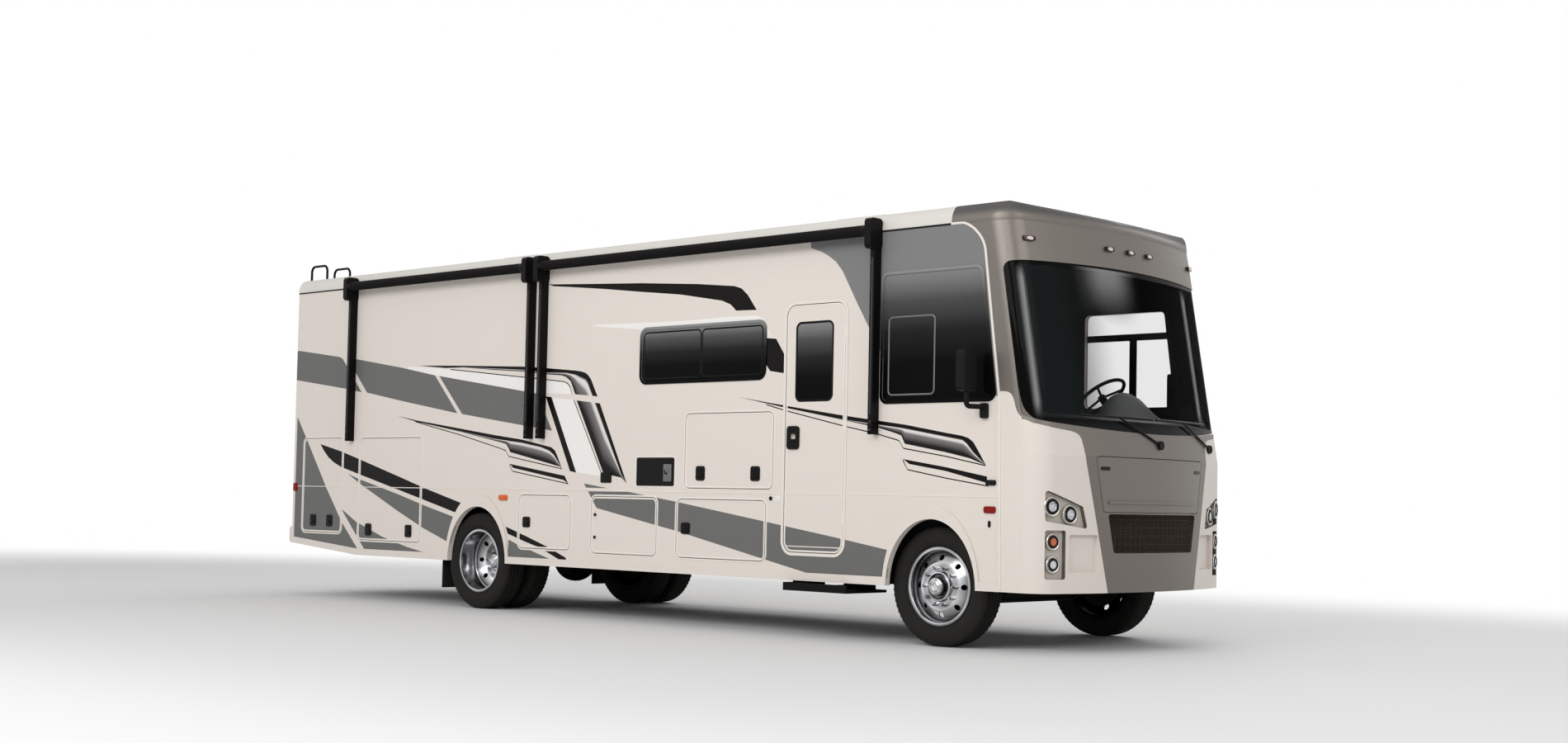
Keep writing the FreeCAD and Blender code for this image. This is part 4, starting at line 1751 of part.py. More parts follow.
def steering_wheel():
    """A round rim on three spokes, on a column that leans forward into the dashboard."""
    axis = column_axis()
    centre = V(WHEEL_X, WHEEL_Y, WHEEL_Z)
    ring = Part.makeTorus(WHEEL_RING_RADIUS, WHEEL_RIM_RADIUS, centre, axis)
    across = V(0, 1, 0)
    along = axis.cross(across)
    spokes = []
    for i in range(SPOKES):
        turn = math.radians(SPOKE_FIRST_ANGLE) + 2 * math.pi * i / SPOKES
        end = centre + across * (WHEEL_RING_RADIUS * math.cos(turn)) + along * (WHEEL_RING_RADIUS * math.sin(turn))
        spokes.append(rod(centre - axis * WHEEL_RIM_RADIUS, end, SPOKE_RADIUS))
    return fuse([ring, column(COLUMN_RADIUS, COLUMN_LONG)] + spokes)


def seat(side):
    y0 = side * WHEEL_Y - SEAT_WIDE / 2
    y1 = y0 + SEAT_WIDE
    pedestal = block(SEAT_X + (SEAT_LONG - SEAT_PEDESTAL) / 2, SEAT_X + (SEAT_LONG + SEAT_PEDESTAL) / 2,
                     side * WHEEL_Y - SEAT_PEDESTAL / 2, side * WHEEL_Y + SEAT_PEDESTAL / 2,
                     FLOOR_TOP, SEAT_CUSHION_Z)
    cushion_outline = rectangle(SEAT_X, SEAT_X + SEAT_LONG, SEAT_CUSHION_Z, SEAT_CUSHION_Z + SEAT_CUSHION_TALL)
    cushion = plate(cushion_outline, SEAT_CORNER, "y", y0, y1)
    back_z = SEAT_CUSHION_Z + SEAT_CUSHION_TALL / 2
    back_outline = [(SEAT_X, back_z), (SEAT_X + SEAT_BACK_THICK, back_z),
                    (SEAT_X + SEAT_BACK_THICK - SEAT_LEAN, back_z + SEAT_BACK_TALL),
                    (SEAT_X - SEAT_LEAN, back_z + SEAT_BACK_TALL)]
    back = plate(back_outline, SEAT_CORNER, "y", y0, y1)
    return fuse([pedestal, cushion, back])


# Roof gear

def tapered_box(x, y, half_x, half_y, tall, taper):
    base = [V(x - half_x, y - half_y, ROOF_EDGE_Z), V(x + half_x, y - half_y, ROOF_EDGE_Z),
            V(x + half_x, y + half_y, ROOF_EDGE_Z), V(x - half_x, y + half_y, ROOF_EDGE_Z)]
    top_z = ROOF_EDGE_Z + ROOF_CROWN + tall
    top_x, top_y = half_x - taper, half_y - taper
    top = [V(x - top_x, y - top_y, top_z), V(x + top_x, y - top_y, top_z),
           V(x + top_x, y + top_y, top_z), V(x - top_x, y + top_y, top_z)]
    wires = [Part.makePolygon(ring + ring[:1]) for ring in (base, top)]
    return Part.makeLoft(wires, True, True).cut(roof_outer_solid())


def coolers():
    return [tapered_box(x, 0, COOLER_LONG / 2, COOLER_HALF, COOLER_TALL, COOLER_TAPER)
            for x in (COOLER_FRONT_X, COOLER_REAR_X)]


def vents():
    return [tapered_box(x, VENT_Y, VENT_SIDE / 2, VENT_SIDE / 2, VENT_TALL, VENT_TAPER)
            for x in (VENT_FRONT_X, VENT_MID_X, VENT_REAR_X)]


def right_side_cuts():
    cuts = [through_wall(cab_window(), CAB_WINDOW_CORNER), through_wall(living_window(), WINDOW_CORNER)]
    cuts += entry_cuts()
    cuts += luggage_cuts(low_doors())
    cuts += door_cut(SCREEN_DOOR_REAR_X, SCREEN_DOOR_FRONT_X, SCREEN_DOOR_SILL_Z, SCREEN_DOOR_TOP_Z,
                     LUGGAGE_CORNER, LUGGAGE_THICK)
    pocket = wall_panel(grown(LOCKER_REAR_X, LOCKER_FRONT_X, LOCKER_SILL_Z, LOCKER_TOP_Z, PANEL_GAP),
                        LOCKER_CORNER, -OVERRUN, LOCKER_THICK + SEAT_GAP)
    opening = wall_panel(grown(LOCKER_REAR_X, LOCKER_FRONT_X, LOCKER_SILL_Z, LOCKER_TOP_Z, -LUGGAGE_LIP),
                         LOCKER_CORNER, -OVERRUN, WALL + OVERRUN)
    return cuts + [pocket, opening]


def left_side_cuts():
    slide = wall_panel(rectangle(SLIDE_REAR_X, SLIDE_FRONT_X, SLIDE_SILL_Z, SLIDE_TOP_Z),
                       SLIDE_CORNER / 2, -OVERRUN, WALL + OVERRUN)
    return [through_wall(driver_window(), CAB_WINDOW_CORNER), through_wall(bed_window(), WINDOW_CORNER), slide]


def locker_lid():
    lid = wall_panel(grown(LOCKER_REAR_X, LOCKER_FRONT_X, LOCKER_SILL_Z, LOCKER_TOP_Z, 0),
                     LOCKER_CORNER, 0, LOCKER_THICK)
    lock_z = (LOCKER_SILL_Z + LOCKER_TOP_Z) / 2
    lock = rod(V(LOCKER_LOCK_X, -BODY_HALF + LOCKER_THICK / 2, lock_z),
               V(LOCKER_LOCK_X, -BODY_HALF - LOCKER_LOCK_PROUD, lock_z), LOCKER_LOCK_RADIUS)
    return fuse([lid, lock])


def latch_pair(rear, front, inset, z):
    """Two latches near the foot of a top-hinged door, the same way in from each side."""
    return [latch(x, z, LATCH_WIDE, LATCH_TALL) for x in (rear + inset, front - inset)]


def side_latch(rear, z):
    return latch(rear + LATCH_EDGE + LATCH_WIDE / 2, z, LATCH_WIDE, SIDE_LATCH_TALL)


def right_doors():
    """Each luggage door on the right by its node name."""
    rear = luggage_door(REAR_BIN_REAR_X, REAR_BIN_FRONT_X, REAR_BIN_SILL_Z, REAR_BIN_TOP_Z,
                        latch_pair(REAR_BIN_REAR_X, REAR_BIN_FRONT_X, REAR_LATCH_INSET, REAR_LATCH_Z))
    tall = luggage_door(TALL_BIN_REAR_X, TALL_BIN_FRONT_X, TALL_BIN_SILL_Z, TALL_BIN_TOP_Z,
                        latch_pair(TALL_BIN_REAR_X, TALL_BIN_FRONT_X, TALL_LATCH_INSET, TALL_LATCH_Z))
    aft = luggage_door(AFT_BIN_REAR_X, AFT_BIN_FRONT_X, AFT_BIN_SILL_Z, AFT_BIN_TOP_Z,
                       [side_latch(AFT_BIN_REAR_X, AFT_LATCH_Z)])
    catch_x = MID_BIN_REAR_X + MID_CATCH_INSET
    mid = luggage_door(MID_BIN_REAR_X, MID_BIN_FRONT_X, MID_BIN_SILL_Z, MID_BIN_TOP_Z,
                       [wall_panel(rectangle(catch_x - MID_CATCH / 2, catch_x + MID_CATCH / 2,
                                             z - MID_CATCH / 2, z + MID_CATCH / 2),
                                   MID_CATCH_CORNER, -LATCH_PROUD, LUGGAGE_THICK / 2)
                        for z in (MID_CATCH_LOW_Z, MID_CATCH_TOP_Z)])
    fore = luggage_door(FORE_BIN_REAR_X, FORE_BIN_FRONT_X, FORE_BIN_SILL_Z, FORE_BIN_TOP_Z,
                        [side_latch(FORE_BIN_REAR_X, FORE_LATCH_Z)])
    screen = luggage_door(SCREEN_DOOR_REAR_X, SCREEN_DOOR_FRONT_X, SCREEN_DOOR_SILL_Z, SCREEN_DOOR_TOP_Z,
                          latch_pair(SCREEN_DOOR_REAR_X, SCREEN_DOOR_FRONT_X, SCREEN_LATCH_INSET, SCREEN_LATCH_Z))
    return {"luggage_door_rear": rear, "luggage_door_tall": tall, "luggage_door_aft": aft,
            "luggage_door_mid": mid, "luggage_door_fore": fore, "screen_door": screen}


def left_luggage_doors():
    found = []
    for rear, front, sill, top in left_doors():
        middle_z = (sill + top) / 2
        found.append(mirrored(luggage_door(rear, front, sill, top, [side_latch(rear, middle_z)])))
    return found


def build():
    os.makedirs("parts", exist_ok=True)
    outer = cap_solid(0, SKIRT_BOTTOM, 0)
    inner = cap_solid(CAP_SHELL, SKIRT_BOTTOM - OVERRUN, OVERRUN)
    save("front_cap", [front_cap(outer, inner)])
    save("windscreen", [windscreen()])
    save("front_hatch", [front_hatch(outer)])
    save("grille", [grille()])
    save("front_lamps", front_lamps())
    save("marker_lamps", marker_lamps() + tail_lamps())
    save("skirt_right", [skirt(low_doors(), entry_cuts())])
    save("skirt_left", [mirrored(skirt(left_doors(), []))])
    save("side_wall_right", [side_wall(right_side_cuts())])
    save("side_wall_left", [mirrored(side_wall(left_side_cuts()))])
    save("window_frames", window_frames() + [entry_frame()])
    save("window_glass", window_glass())
    save("entry_door", [entry_door()])
    save("entry_door_glass", [entry_glass()])
    for name, shape in right_doors().items():
        save(name, [shape])
    left = left_luggage_doors()
    save("luggage_door_left_aft", [left[0]])
    save("luggage_door_left_fore", [left[1]])
    save("locker_lid", [locker_lid()])
    save("luggage_bins", luggage_bins())
    save("slide_room", [slide_room()])
    save("slide_room_glass", slide_glass())
    save("roof", [roof()])
    save("floor", floor())
    save("rear_wall", [fuse([rear_wall(), rear_bumper()])])
    save("wheel_housings", wheel_housings())
    save("mud_flaps", mud_flaps())
    for name, side in (("right", -1), ("left", 1)):
        save("tyre_front_" + name, [tyre(FRONT_AXLE_X, side * FRONT_TRACK / 2)])
        save("rim_front_" + name, [front_wheel(side)])
        save("tyres_rear_" + name, [tyre(REAR_AXLE_X, side * (REAR_TRACK / 2 - TWIN_SPACING / 2)),
                                    tyre(REAR_AXLE_X, side * (REAR_TRACK / 2 + TWIN_SPACING / 2))])
        save("rims_rear_" + name, [rear_wheels(side)])
    save("front_axle", [front_axle()])
    save("knuckle_right", [knuckle()])
    save("knuckle_left", [mirrored(knuckle())])
    save("tie_rod", [tie_rod()])
    save("rear_axle", [rear_axle()])
    save("springs", springs())
    save("chassis", [chassis()])
    save("engine_block", [engine()])
    save("drive_line", [drive_line()])
    save("fuel_tank_and_exhaust", [fuel_tank(), exhaust()])
    save("ladder", [ladder()])
    save("awning_rollers", awning_rollers())
    save("awning_arms", awning_arms())
    save("entry_step", [entry_step()])
    save("mirrors", both_sides(mirror_set()))
    save("wipers", wipers())
    save("dashboard", [dashboard()])
    save("steering_wheel", [steering_wheel()])
    save("seats", [seat(-1), seat(1)])
    save("roof_gear", coolers() + vents())


build()
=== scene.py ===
# %% [markdown]
# # A motorhome with a flat front, dressed in Blender
# The packed CAD model is the frame: every panel, wheel and door is already in its place, in metres.
# This script adds what makes it look real: paint and stripes, chrome, glass, rubber, trims and fasteners.
# X points forward, Y to the left and Z up, and the origin lies on the ground under the middle.

# %% Load the frame
import bpy
import bmesh
import math
from mathutils import Matrix, Vector


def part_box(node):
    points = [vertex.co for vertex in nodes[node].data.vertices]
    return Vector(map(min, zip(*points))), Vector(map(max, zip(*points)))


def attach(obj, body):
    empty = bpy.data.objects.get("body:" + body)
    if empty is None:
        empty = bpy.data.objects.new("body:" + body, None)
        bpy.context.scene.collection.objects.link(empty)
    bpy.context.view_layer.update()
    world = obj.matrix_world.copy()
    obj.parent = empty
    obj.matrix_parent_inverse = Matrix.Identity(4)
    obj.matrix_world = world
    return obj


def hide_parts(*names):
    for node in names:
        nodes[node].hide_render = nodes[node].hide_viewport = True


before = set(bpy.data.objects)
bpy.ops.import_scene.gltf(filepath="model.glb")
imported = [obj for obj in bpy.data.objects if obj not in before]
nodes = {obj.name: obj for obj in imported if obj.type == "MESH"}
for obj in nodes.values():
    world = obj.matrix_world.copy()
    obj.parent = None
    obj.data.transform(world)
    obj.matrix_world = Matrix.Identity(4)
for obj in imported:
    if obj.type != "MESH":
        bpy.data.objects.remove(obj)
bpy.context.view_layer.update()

# %% [markdown]
# ## Camera
# The picture is taken from a little over one metre up, ahead and to the right of the nose,
# with a normal lens.
# The camera's axes are written as three directions: to the right, up, and forward into the picture.
# A matrix of those columns turns the camera, which is plainer than three angles that depend on their order.

# %% Camera
CAMERA_PLACE = (12.724557, -12.533672, 1.072565)
CAMERA_RIGHT = (0.732720, 0.680244, 0.019735)
CAMERA_UP = (0.016391, -0.046632, 0.998777)
CAMERA_FORWARD = (-0.680333, 0.731501, 0.045318)

camera_data = bpy.data.cameras.new("camera")
camera = bpy.data.objects.new("camera", camera_data)
bpy.context.scene.collection.objects.link(camera)
camera_turn = Matrix((CAMERA_RIGHT, CAMERA_UP, -Vector(CAMERA_FORWARD))).transposed()
camera.matrix_world = Matrix.Translation(CAMERA_PLACE) @ camera_turn.to_4x4()
camera_data.lens = 43.5771
camera_data.sensor_width = 36
camera_data.shift_x = -0.0012477
camera_data.shift_y = 0.0280904
camera_data.clip_end = 300
bpy.context.scene.camera = camera
print("camera lens", camera_data.lens, "at", CAMERA_PLACE)

# %% [markdown]
# ## A wire for shader maths
# A material is a tree of nodes, and its maths is easier to read as Python expressions.
# A Wire is one output socket, and adding or multiplying wires adds Math nodes behind the scene.
# The reflected forms let a plain number stand on the left, as in 1 - mask.

# %% Wire
class Wire:
    """One output socket of a tree, with arithmetic."""

    def __init__(self, tree, socket):
        self.tree = tree
        self.socket = socket

    def maths(self, operation, *values):
        return self.tree.maths(operation, *values)

    def __add__(self, other):
        return self.maths("ADD", self, other)

    def __radd__(self, other):
        return self.maths("ADD", other, self)

    def __sub__(self, other):
        return self.maths("SUBTRACT", self, other)

    def __rsub__(self, other):
        return self.maths("SUBTRACT", other, self)

    def __mul__(self, other):
        return self.maths("MULTIPLY", self, other)

    def __rmul__(self, other):
        return self.maths("MULTIPLY", other, self)

    def __truediv__(self, other):
        return self.maths("DIVIDE", self, other)

    def __pow__(self, other):
        return self.maths("POWER", self, other)

    def __gt__(self, other):
        return self.maths("GREATER_THAN", self, other)

    def __lt__(self, other):
        return self.maths("LESS_THAN", self, other)

    def __abs__(self):
        return self.maths("ABSOLUTE", self)

    def near(self, other, reach):
        """One where the two values differ by no more than the reach."""
        return self.maths("COMPARE", self, other, reach)

    def fraction(self, low, high):
        """Runs from 0 at low to 1 at high."""
        return self.maths("MULTIPLY_ADD", self, 1 / (high - low), -low / (high - low))

    def either(self, other):
        return self.maths("MAXIMUM", self, other)

    def ease(self, low, high):
        """Runs smoothly from 0 at low to 1 at high, and stays there."""
        return self.tree.add("ShaderNodeMapRange", {"interpolation_type": "SMOOTHSTEP"},
                             {0: self, 1: low, 2: high, 3: 0, 4: 1})


print("a wire has", len([name for name in vars(Wire) if name.startswith("__r")]), "reflected forms")

# %% [markdown]
# ## A tree that grows by one method
# Both materials and Geometry Nodes trees are made the same way here.
# One method adds any node: its settings come first, then the values or links of its sockets.
# A ramp's stops and a curve's points count as settings, because they live inside the node.

# %% Tree
class Tree:
    """A node tree that grows by one method."""

    def __init__(self, nodes_tree):
        self.nodes_tree = nodes_tree

    def join(self, value, socket):
        if isinstance(value, Wire):
            self.nodes_tree.links.new(value.socket, socket)
        else:
            socket.default_value = value

    def add(self, kind, settings=None, values=None, out=0):
        node = self.nodes_tree.nodes.new(kind)
        for key, value in (settings or {}).items():
            if key == "stops":
                self.fill_ramp(node.color_ramp, value)
            elif key == "points":
                self.fill_curve(node, value)
            else:
                setattr(node, key, value)
        for key, value in (values or {}).items():
            self.join(value, node.inputs[key])
        return Wire(self, node.outputs[out])

    def maths(self, operation, *values):
        return self.add("ShaderNodeMath", {"operation": operation}, dict(enumerate(values)))

    @staticmethod
    def fill_ramp(ramp, stops):
        while len(ramp.elements) < len(stops):
            ramp.elements.new(1)
        for element, (position, colour) in zip(ramp.elements, stops):
            element.position = position
            element.color = colour

    @staticmethod
    def fill_curve(node, points):
        curve = node.mapping.curves[0]
        while len(curve.points) < len(points):
            curve.points.new(1, 1)
        for point, (across, height) in zip(curve.points, points):
            point.location = (across, height)
            point.handle_type = "VECTOR"
        node.mapping.update()


def linear(red, green, blue):
    """A colour of 0 to 255, as the eye reads it, turned into the linear light that shaders use."""
    def channel(value):
        part = value / 255
        return part / 12.92 if part <= 0.04045 else ((part + 0.055) / 1.055) ** 2.4
    return (channel(red), channel(green), channel(blue), 1)


print("middle grey in linear light", round(linear(119, 119, 119)[0], 3))

# %% [markdown]
# ## A finish
# A finish is a material with one Principled shader.
# Its patterns are laid on Object coordinates, so they have real sizes in metres and stay still in every view.
# Constants sit on the shader's own sockets, and only colour, roughness, metal, coat, alpha and bump vary.

# %% Finish
class Finish(Tree):
    """A material whose patterns read Object coordinates."""

    def __init__(self, name, **constants):
        self.material = bpy.data.materials.new(name)
        self.material.use_nodes = True
        super().__init__(self.material.node_tree)
        self.shader = self.nodes_tree.nodes["Principled BSDF"]
        self.place = self.add("ShaderNodeTexCoord", out="Object")
        split = self.add("ShaderNodeSeparateXYZ", values={0: self.place}).socket.node
        self.x, self.y, self.z = (Wire(self, output) for output in split.outputs)
        self.set(**constants)

    def set(self, **values):
        for key, value in values.items():
            self.join(value, self.shader.inputs[key.replace("_", " ").title().replace("Ior", "IOR")])
        return self

    def colour(self):
        """The wire that feeds the base colour now."""
        return Wire(self, self.shader.inputs["Base Color"].links[0].from_socket)

    def noise(self, scale, detail=3, stretch=(1, 1, 1)):
        place = self.add("ShaderNodeMapping", values={"Vector": self.place, "Scale": stretch})
        return self.add("ShaderNodeTexNoise", values={"Vector": place, "Scale": scale, "Detail": detail})

    def ramp(self, factor, stops):
        return self.add("ShaderNodeValToRGB", {"stops": stops}, {0: factor})

    def mix(self, factor, first, second):
        """The first colour where the factor is 0 and the second where it is 1."""
        return self.add("ShaderNodeMix", {"data_type": "RGBA"}, {0: factor, 6: first, 7: second}, out=2)

    def bump(self, height, strength, distance=0.001):
        return self.set(normal=self.add("ShaderNodeBump", values={
            "Height": height, "Strength": strength, "Distance": distance}))

    def mottled(self, colour, amount, scale, stretch=(1, 1, 1)):
        """A colour that drifts a little lighter and darker, as a real coat does."""
        dark = tuple(c * (1 - amount) for c in colour[:3]) + (1,)
        light = tuple(min(c * (1 + amount), 1) for c in colour[:3]) + (1,)
        return self.mix(self.noise(scale, 4, stretch), dark, light)


print("a finish has these inputs", len(Finish("spare").shader.inputs))
bpy.data.materials.remove(bpy.data.materials["spare"])

# %% [markdown]
# ## Floor and light
# A white cyclorama shows a vehicle's shape without telling a story about a place.
# The floor near the wheels keeps their shadow, and fades to the white of the background further out.
# The light level is set so that a colour looks about as it is written.

# %% Floor
FLOOR_HALF = 120
FLOOR_FADE_NEAR = 5.5
FLOOR_FADE_FAR = 11

floor_mesh = bmesh.new()
bmesh.ops.create_grid(floor_mesh, x_segments=8, y_segments=8, size=FLOOR_HALF)
floor_data = bpy.data.meshes.new("studio_floor")
floor_mesh.to_mesh(floor_data)
floor_mesh.free()
studio_floor = bpy.data.objects.new("studio_floor", floor_data)
bpy.context.scene.collection.objects.link(studio_floor)
studio_floor.location.z = -0.001

floor_finish = Finish("studio_floor", base_color=linear(222, 222, 222), roughness=0.8, ior=1.2)
rays = floor_finish.add("ShaderNodeLightPath").socket.node
seen = Wire(floor_finish, rays.outputs["Is Camera Ray"])
seen = seen.either(Wire(floor_finish, rays.outputs["Is Glossy Ray"]))
seen = seen.either(Wire(floor_finish, rays.outputs["Is Transmission Ray"]))
flat_place = floor_finish.add("ShaderNodeCombineXYZ", values={0: floor_finish.x * 0.5, 1: floor_finish.y})
distance = floor_finish.add("ShaderNodeVectorMath", {"operation": "LENGTH"}, {0: flat_place}, out=1)
fade = floor_finish.add("ShaderNodeMapRange", {"interpolation_type": "SMOOTHSTEP"},
                        {0: distance, 1: FLOOR_FADE_NEAR, 2: FLOOR_FADE_FAR, 3: 0, 4: 1})
white_light = floor_finish.add("ShaderNodeEmission", values={"Color": (1, 1, 1, 1), "Strength": 1.0})
floor_out = floor_finish.nodes_tree.nodes["Material Output"]
floor_mix = floor_finish.add("ShaderNodeMixShader", values={
    0: seen * fade, 1: Wire(floor_finish, floor_finish.shader.outputs[0]), 2: white_light})
floor_finish.join(floor_mix, floor_out.inputs["Surface"])
studio_floor.data.materials.append(floor_finish.material)
print("floor", 2 * FLOOR_HALF, "m wide")

# %% Light
SKY_LEVEL = 0.58

world = bpy.data.worlds.new("studio")
world.use_nodes = True
bpy.context.scene.world = world
sky = Tree(world.node_tree)
backdrop = world.node_tree.nodes["Background"]
rays = sky.add("ShaderNodeLightPath").socket.node
seen = Wire(sky, rays.outputs["Is Camera Ray"]).either(Wire(sky, rays.outputs["Is Glossy Ray"]))
seen = seen.either(Wire(sky, rays.outputs["Is Transmission Ray"]))
backdrop.inputs["Color"].default_value = (1, 1, 1, 1)
sky.join(seen * (1 - SKY_LEVEL) + SKY_LEVEL, backdrop.inputs["Strength"])


def soft_lamp(name, place, aim, size, power):
    data = bpy.data.lights.new(name, "AREA")
    data.shape = "RECTANGLE"
    data.size, data.size_y = size
    data.energy = power
    lamp = bpy.data.objects.new(name, data)
    bpy.context.scene.collection.objects.link(lamp)
    lamp.location = place
    lamp.rotation_mode = "QUATERNION"
    lamp.rotation_quaternion = (Vector(aim) - Vector(place)).to_track_quat("-Z", "Y")
    return lamp


soft_lamp("key", (2.2, -17, 9.6), (0, -1, 1.6), (12, 8), 1330)
soft_lamp("corner", (11, -12.5, 8.2), (4.3, -1, 2.4), (4, 5), 230)
soft_lamp("front", (17, -1.5, 8.5), (4, 0, 1.5), (11, 4), 330)
soft_lamp("left", (-2, 15, 10), (0, 1, 1.5), (12, 5), 900)
bpy.context.scene.view_settings.view_transform = "Standard"

# %% [markdown]
# ## Painted stripes
# The sides carry long swooping stripes. On the real vehicle they are masked and sprayed, or cut from film.
# Here they are paint too: each stripe is the space between an upper and a lower edge,
# and each edge is a short list of points along the body, of forward place and height in metres.
# A curve node turns forward place into the height of the edge, so a stripe costs few nodes.
# A hairline is one edge and a thickness, made thicker in height where the edge falls steeply.

# %% Stripe edges
def hairline(points, wide):
    """The upper and lower edges of a thin line of even thickness."""
    lower = []
    for i, (x, z) in enumerate(points):
        before, after = points[max(i - 1, 0)], points[min(i + 1, len(points) - 1)]
        slope = (after[1] - before[1]) / (after[0] - before[0])
        lower.append((x, z - wide * math.hypot(1, slope)))
    return points, lower


HAIR = 0.009
GREY_BANDS = {
    "rear band, first part": (
        [(-4.97, 2.58), (-4.825, 2.575), (-4.085, 2.483), (-4.033, 2.46), (-3.679, 2.107)],
        [(-4.97, 2.266), (-4.825, 2.258), (-3.985, 2.152), (-3.679, 2.107)]),
    "rear band, second part": (
        [(-3.955, 2.474), (-3.0, 2.335), (-2.448, 2.242), (-2.073, 1.862)],
        [(-3.955, 2.474), (-3.585, 2.10), (-3.0, 2.004), (-2.073, 1.862)]),
    "rear band, third part": (
        [(-2.379, 2.233), (-1.4, 2.097), (-0.879, 2.023), (-0.657, 1.679)],
        [(-2.379, 2.233), (-2.0, 1.854), (-1.4, 1.775), (-0.657, 1.679)]),
    "tail triangle": (
        [(-4.842, 1.872), (-4.633, 1.608), (-4.262, 1.123), (-3.967, 0.775), (-3.675, 0.51)],
        [(-4.842, 0.5), (-3.675, 0.5)]),
    "band under the black": (
        [(-3.877, 1.269), (-3.673, 1.217), (-3.0, 1.071), (-2.583, 0.971), (-2.05, 0.855)],
        [(-3.877, 1.269), (-3.673, 1.175), (-3.0, 0.904), (-2.583, 0.748), (-2.05, 0.582)]),
    "low dart": (
        [(-3.975, 0.908), (-3.717, 0.785), (-3.242, 0.64), (-2.84, 0.554), (-2.53, 0.505)],
        [(-3.975, 0.905), (-3.717, 0.658), (-3.55, 0.505), (-2.53, 0.505)]),
    "strip behind the wheel": (
        [(-1.246, 0.669), (-1.104, 0.625), (-0.875, 0.567), (-0.62, 0.502)],
        [(-1.246, 0.5), (-0.62, 0.5)]),
    "small dart at the belt": (
        [(-0.196, 1.2), (0.133, 1.16)],
        [(-0.196, 1.2), (-0.17, 1.163), (0.133, 1.16)]),
    "long low band": (
        [(-0.142, 1.131), (0.4, 1.131), (1.0, 1.054), (2.02, 0.912), (2.84, 0.796), (3.36, 0.717)],
        [(-0.142, 1.131), (-0.02, 0.983), (0.733, 0.852), (1.0, 0.807), (2.01, 0.608),
         (2.56, 0.5), (3.36, 0.5)]),
}
BLACK_BANDS = {
    "tail black": (
        [(-4.398, 1.581), (-4.012, 1.502), (-3.673, 1.419), (-2.9, 1.223), (-2.583, 1.14), (-1.98, 1.0)],
        [(-4.398, 1.581), (-4.325, 1.508), (-4.24, 1.44), (-4.137, 1.387), (-4.012, 1.342),
         (-3.673, 1.265), (-2.583, 1.023), (-1.98, 0.887)]),
    "strip behind the wheel": (
        [(-1.292, 0.79), (-1.0, 0.71), (-0.687, 0.62), (-0.427, 0.53), (-0.406, 0.5)],
        [(-1.292, 0.79), (-1.26, 0.723), (-1.0, 0.655), (-0.8, 0.61), (-0.5, 0.502), (-0.406, 0.5)]),
    "leaning bar": (
        [(-0.762, 2.001), (-0.679, 1.992), (-0.308, 1.297)],
        [(-0.762, 2.001), (-0.393, 1.31), (-0.308, 1.297)]),
    "high swoosh": (
        [(-0.775, 3.033), (-0.687, 3.025), (0.0, 2.987), (0.5, 2.96), (1.2, 2.908), (1.5, 2.877),
         (1.646, 2.862), (1.729, 2.837), (1.802, 2.779), (1.906, 2.65)],
        [(-0.775, 3.033), (-0.687, 3.008), (0.0, 2.94), (0.5, 2.883), (1.0, 2.829), (1.5, 2.748),
         (1.604, 2.71), (1.67, 2.654), (1.906, 2.648)]),
    "block ahead of the window": (
        [(2.015, 2.41), (2.135, 2.4), (2.244, 2.248)],
        [(2.015, 2.206), (2.073, 2.137), (2.244, 2.112)]),
    "middle dart, lower": (
        [(-1.259, 1.376), (-0.466, 1.268), (-0.413, 1.196)],
        [(-1.259, 1.376), (-1.203, 1.337), (-0.874, 1.288), (-0.48, 1.229), (-0.413, 1.196)]),
    "middle dart, line": hairline([(-1.259, 1.376), (-1.216, 1.312), (-0.413, 1.2)], HAIR),
    "front dart, lower": (
        [(3.491, 1.417), (3.617, 1.398), (3.906, 1.356), (4.294, 1.287)],
        [(3.491, 1.417), (3.556, 1.378), (3.906, 1.326), (4.294, 1.239)]),
    "front dart, line": hairline([(3.491, 1.417), (3.539, 1.34), (3.906, 1.278), (4.306, 1.221)], HAIR),
    "main line": hairline([(-2.2, 2.295), (-2.0, 2.277), (-1.5, 2.227), (-0.775, 2.157), (-0.505, 2.128),
                           (-0.453, 2.11), (-0.42, 2.082), (-0.363, 1.96), (0.034, 1.301)], HAIR),
    "middle line": hairline([(-2.75, 1.796), (-2.5, 1.748), (-2.0, 1.654), (-1.4, 1.525), (-1.321, 1.505),
                             (-1.275, 1.45), (-0.505, 1.335)], HAIR),
    "front line": hairline([(2.04, 1.867), (2.244, 1.817), (2.844, 1.69), (3.241, 1.613), (3.45, 1.563),
                            (3.494, 1.503), (3.906, 1.441), (4.278, 1.372)], HAIR),
}
WHITE_BANDS = {
    "main swoosh": (
        [(-2.9, 2.345), (-2.2, 2.293), (-1.5, 2.225), (-0.775, 2.155), (-0.505, 2.125), (-0.42, 2.08),
         (-0.375, 2.008)],
        [(-2.9, 2.317), (-2.448, 2.242), (-1.4, 2.09), (-0.86, 2.03), (-0.375, 2.006)]),
    "main leg": (
        [(-0.69, 1.985), (-0.363, 1.953), (0.034, 1.295), (0.06, 1.262)],
        [(-0.69, 1.985), (-0.3, 1.3), (0.034, 1.268), (0.06, 1.262)]),
    "over the window": (
        [(-0.146, 2.612), (-0.1, 2.622), (1.0, 2.6), (1.625, 2.606), (1.917, 2.6),
         (1.99, 2.571), (2.085, 2.402)],
        [(-0.146, 2.612), (0.5, 2.554), (2.0, 2.5), (2.085, 2.402)]),
}
print("stripes", len(GREY_BANDS) + len(BLACK_BANDS) + len(WHITE_BANDS))

# %% [markdown]
# ## Shaded tubes in the paint
# Three stripes are sprayed to look like polished tubes: a black outer edge, then a white glint,
# then grey, and black again at the inner edge. The place across the tube drives a colour ramp.
# Each tube has an outer edge, the inner side of its black border, and its own lower edge.

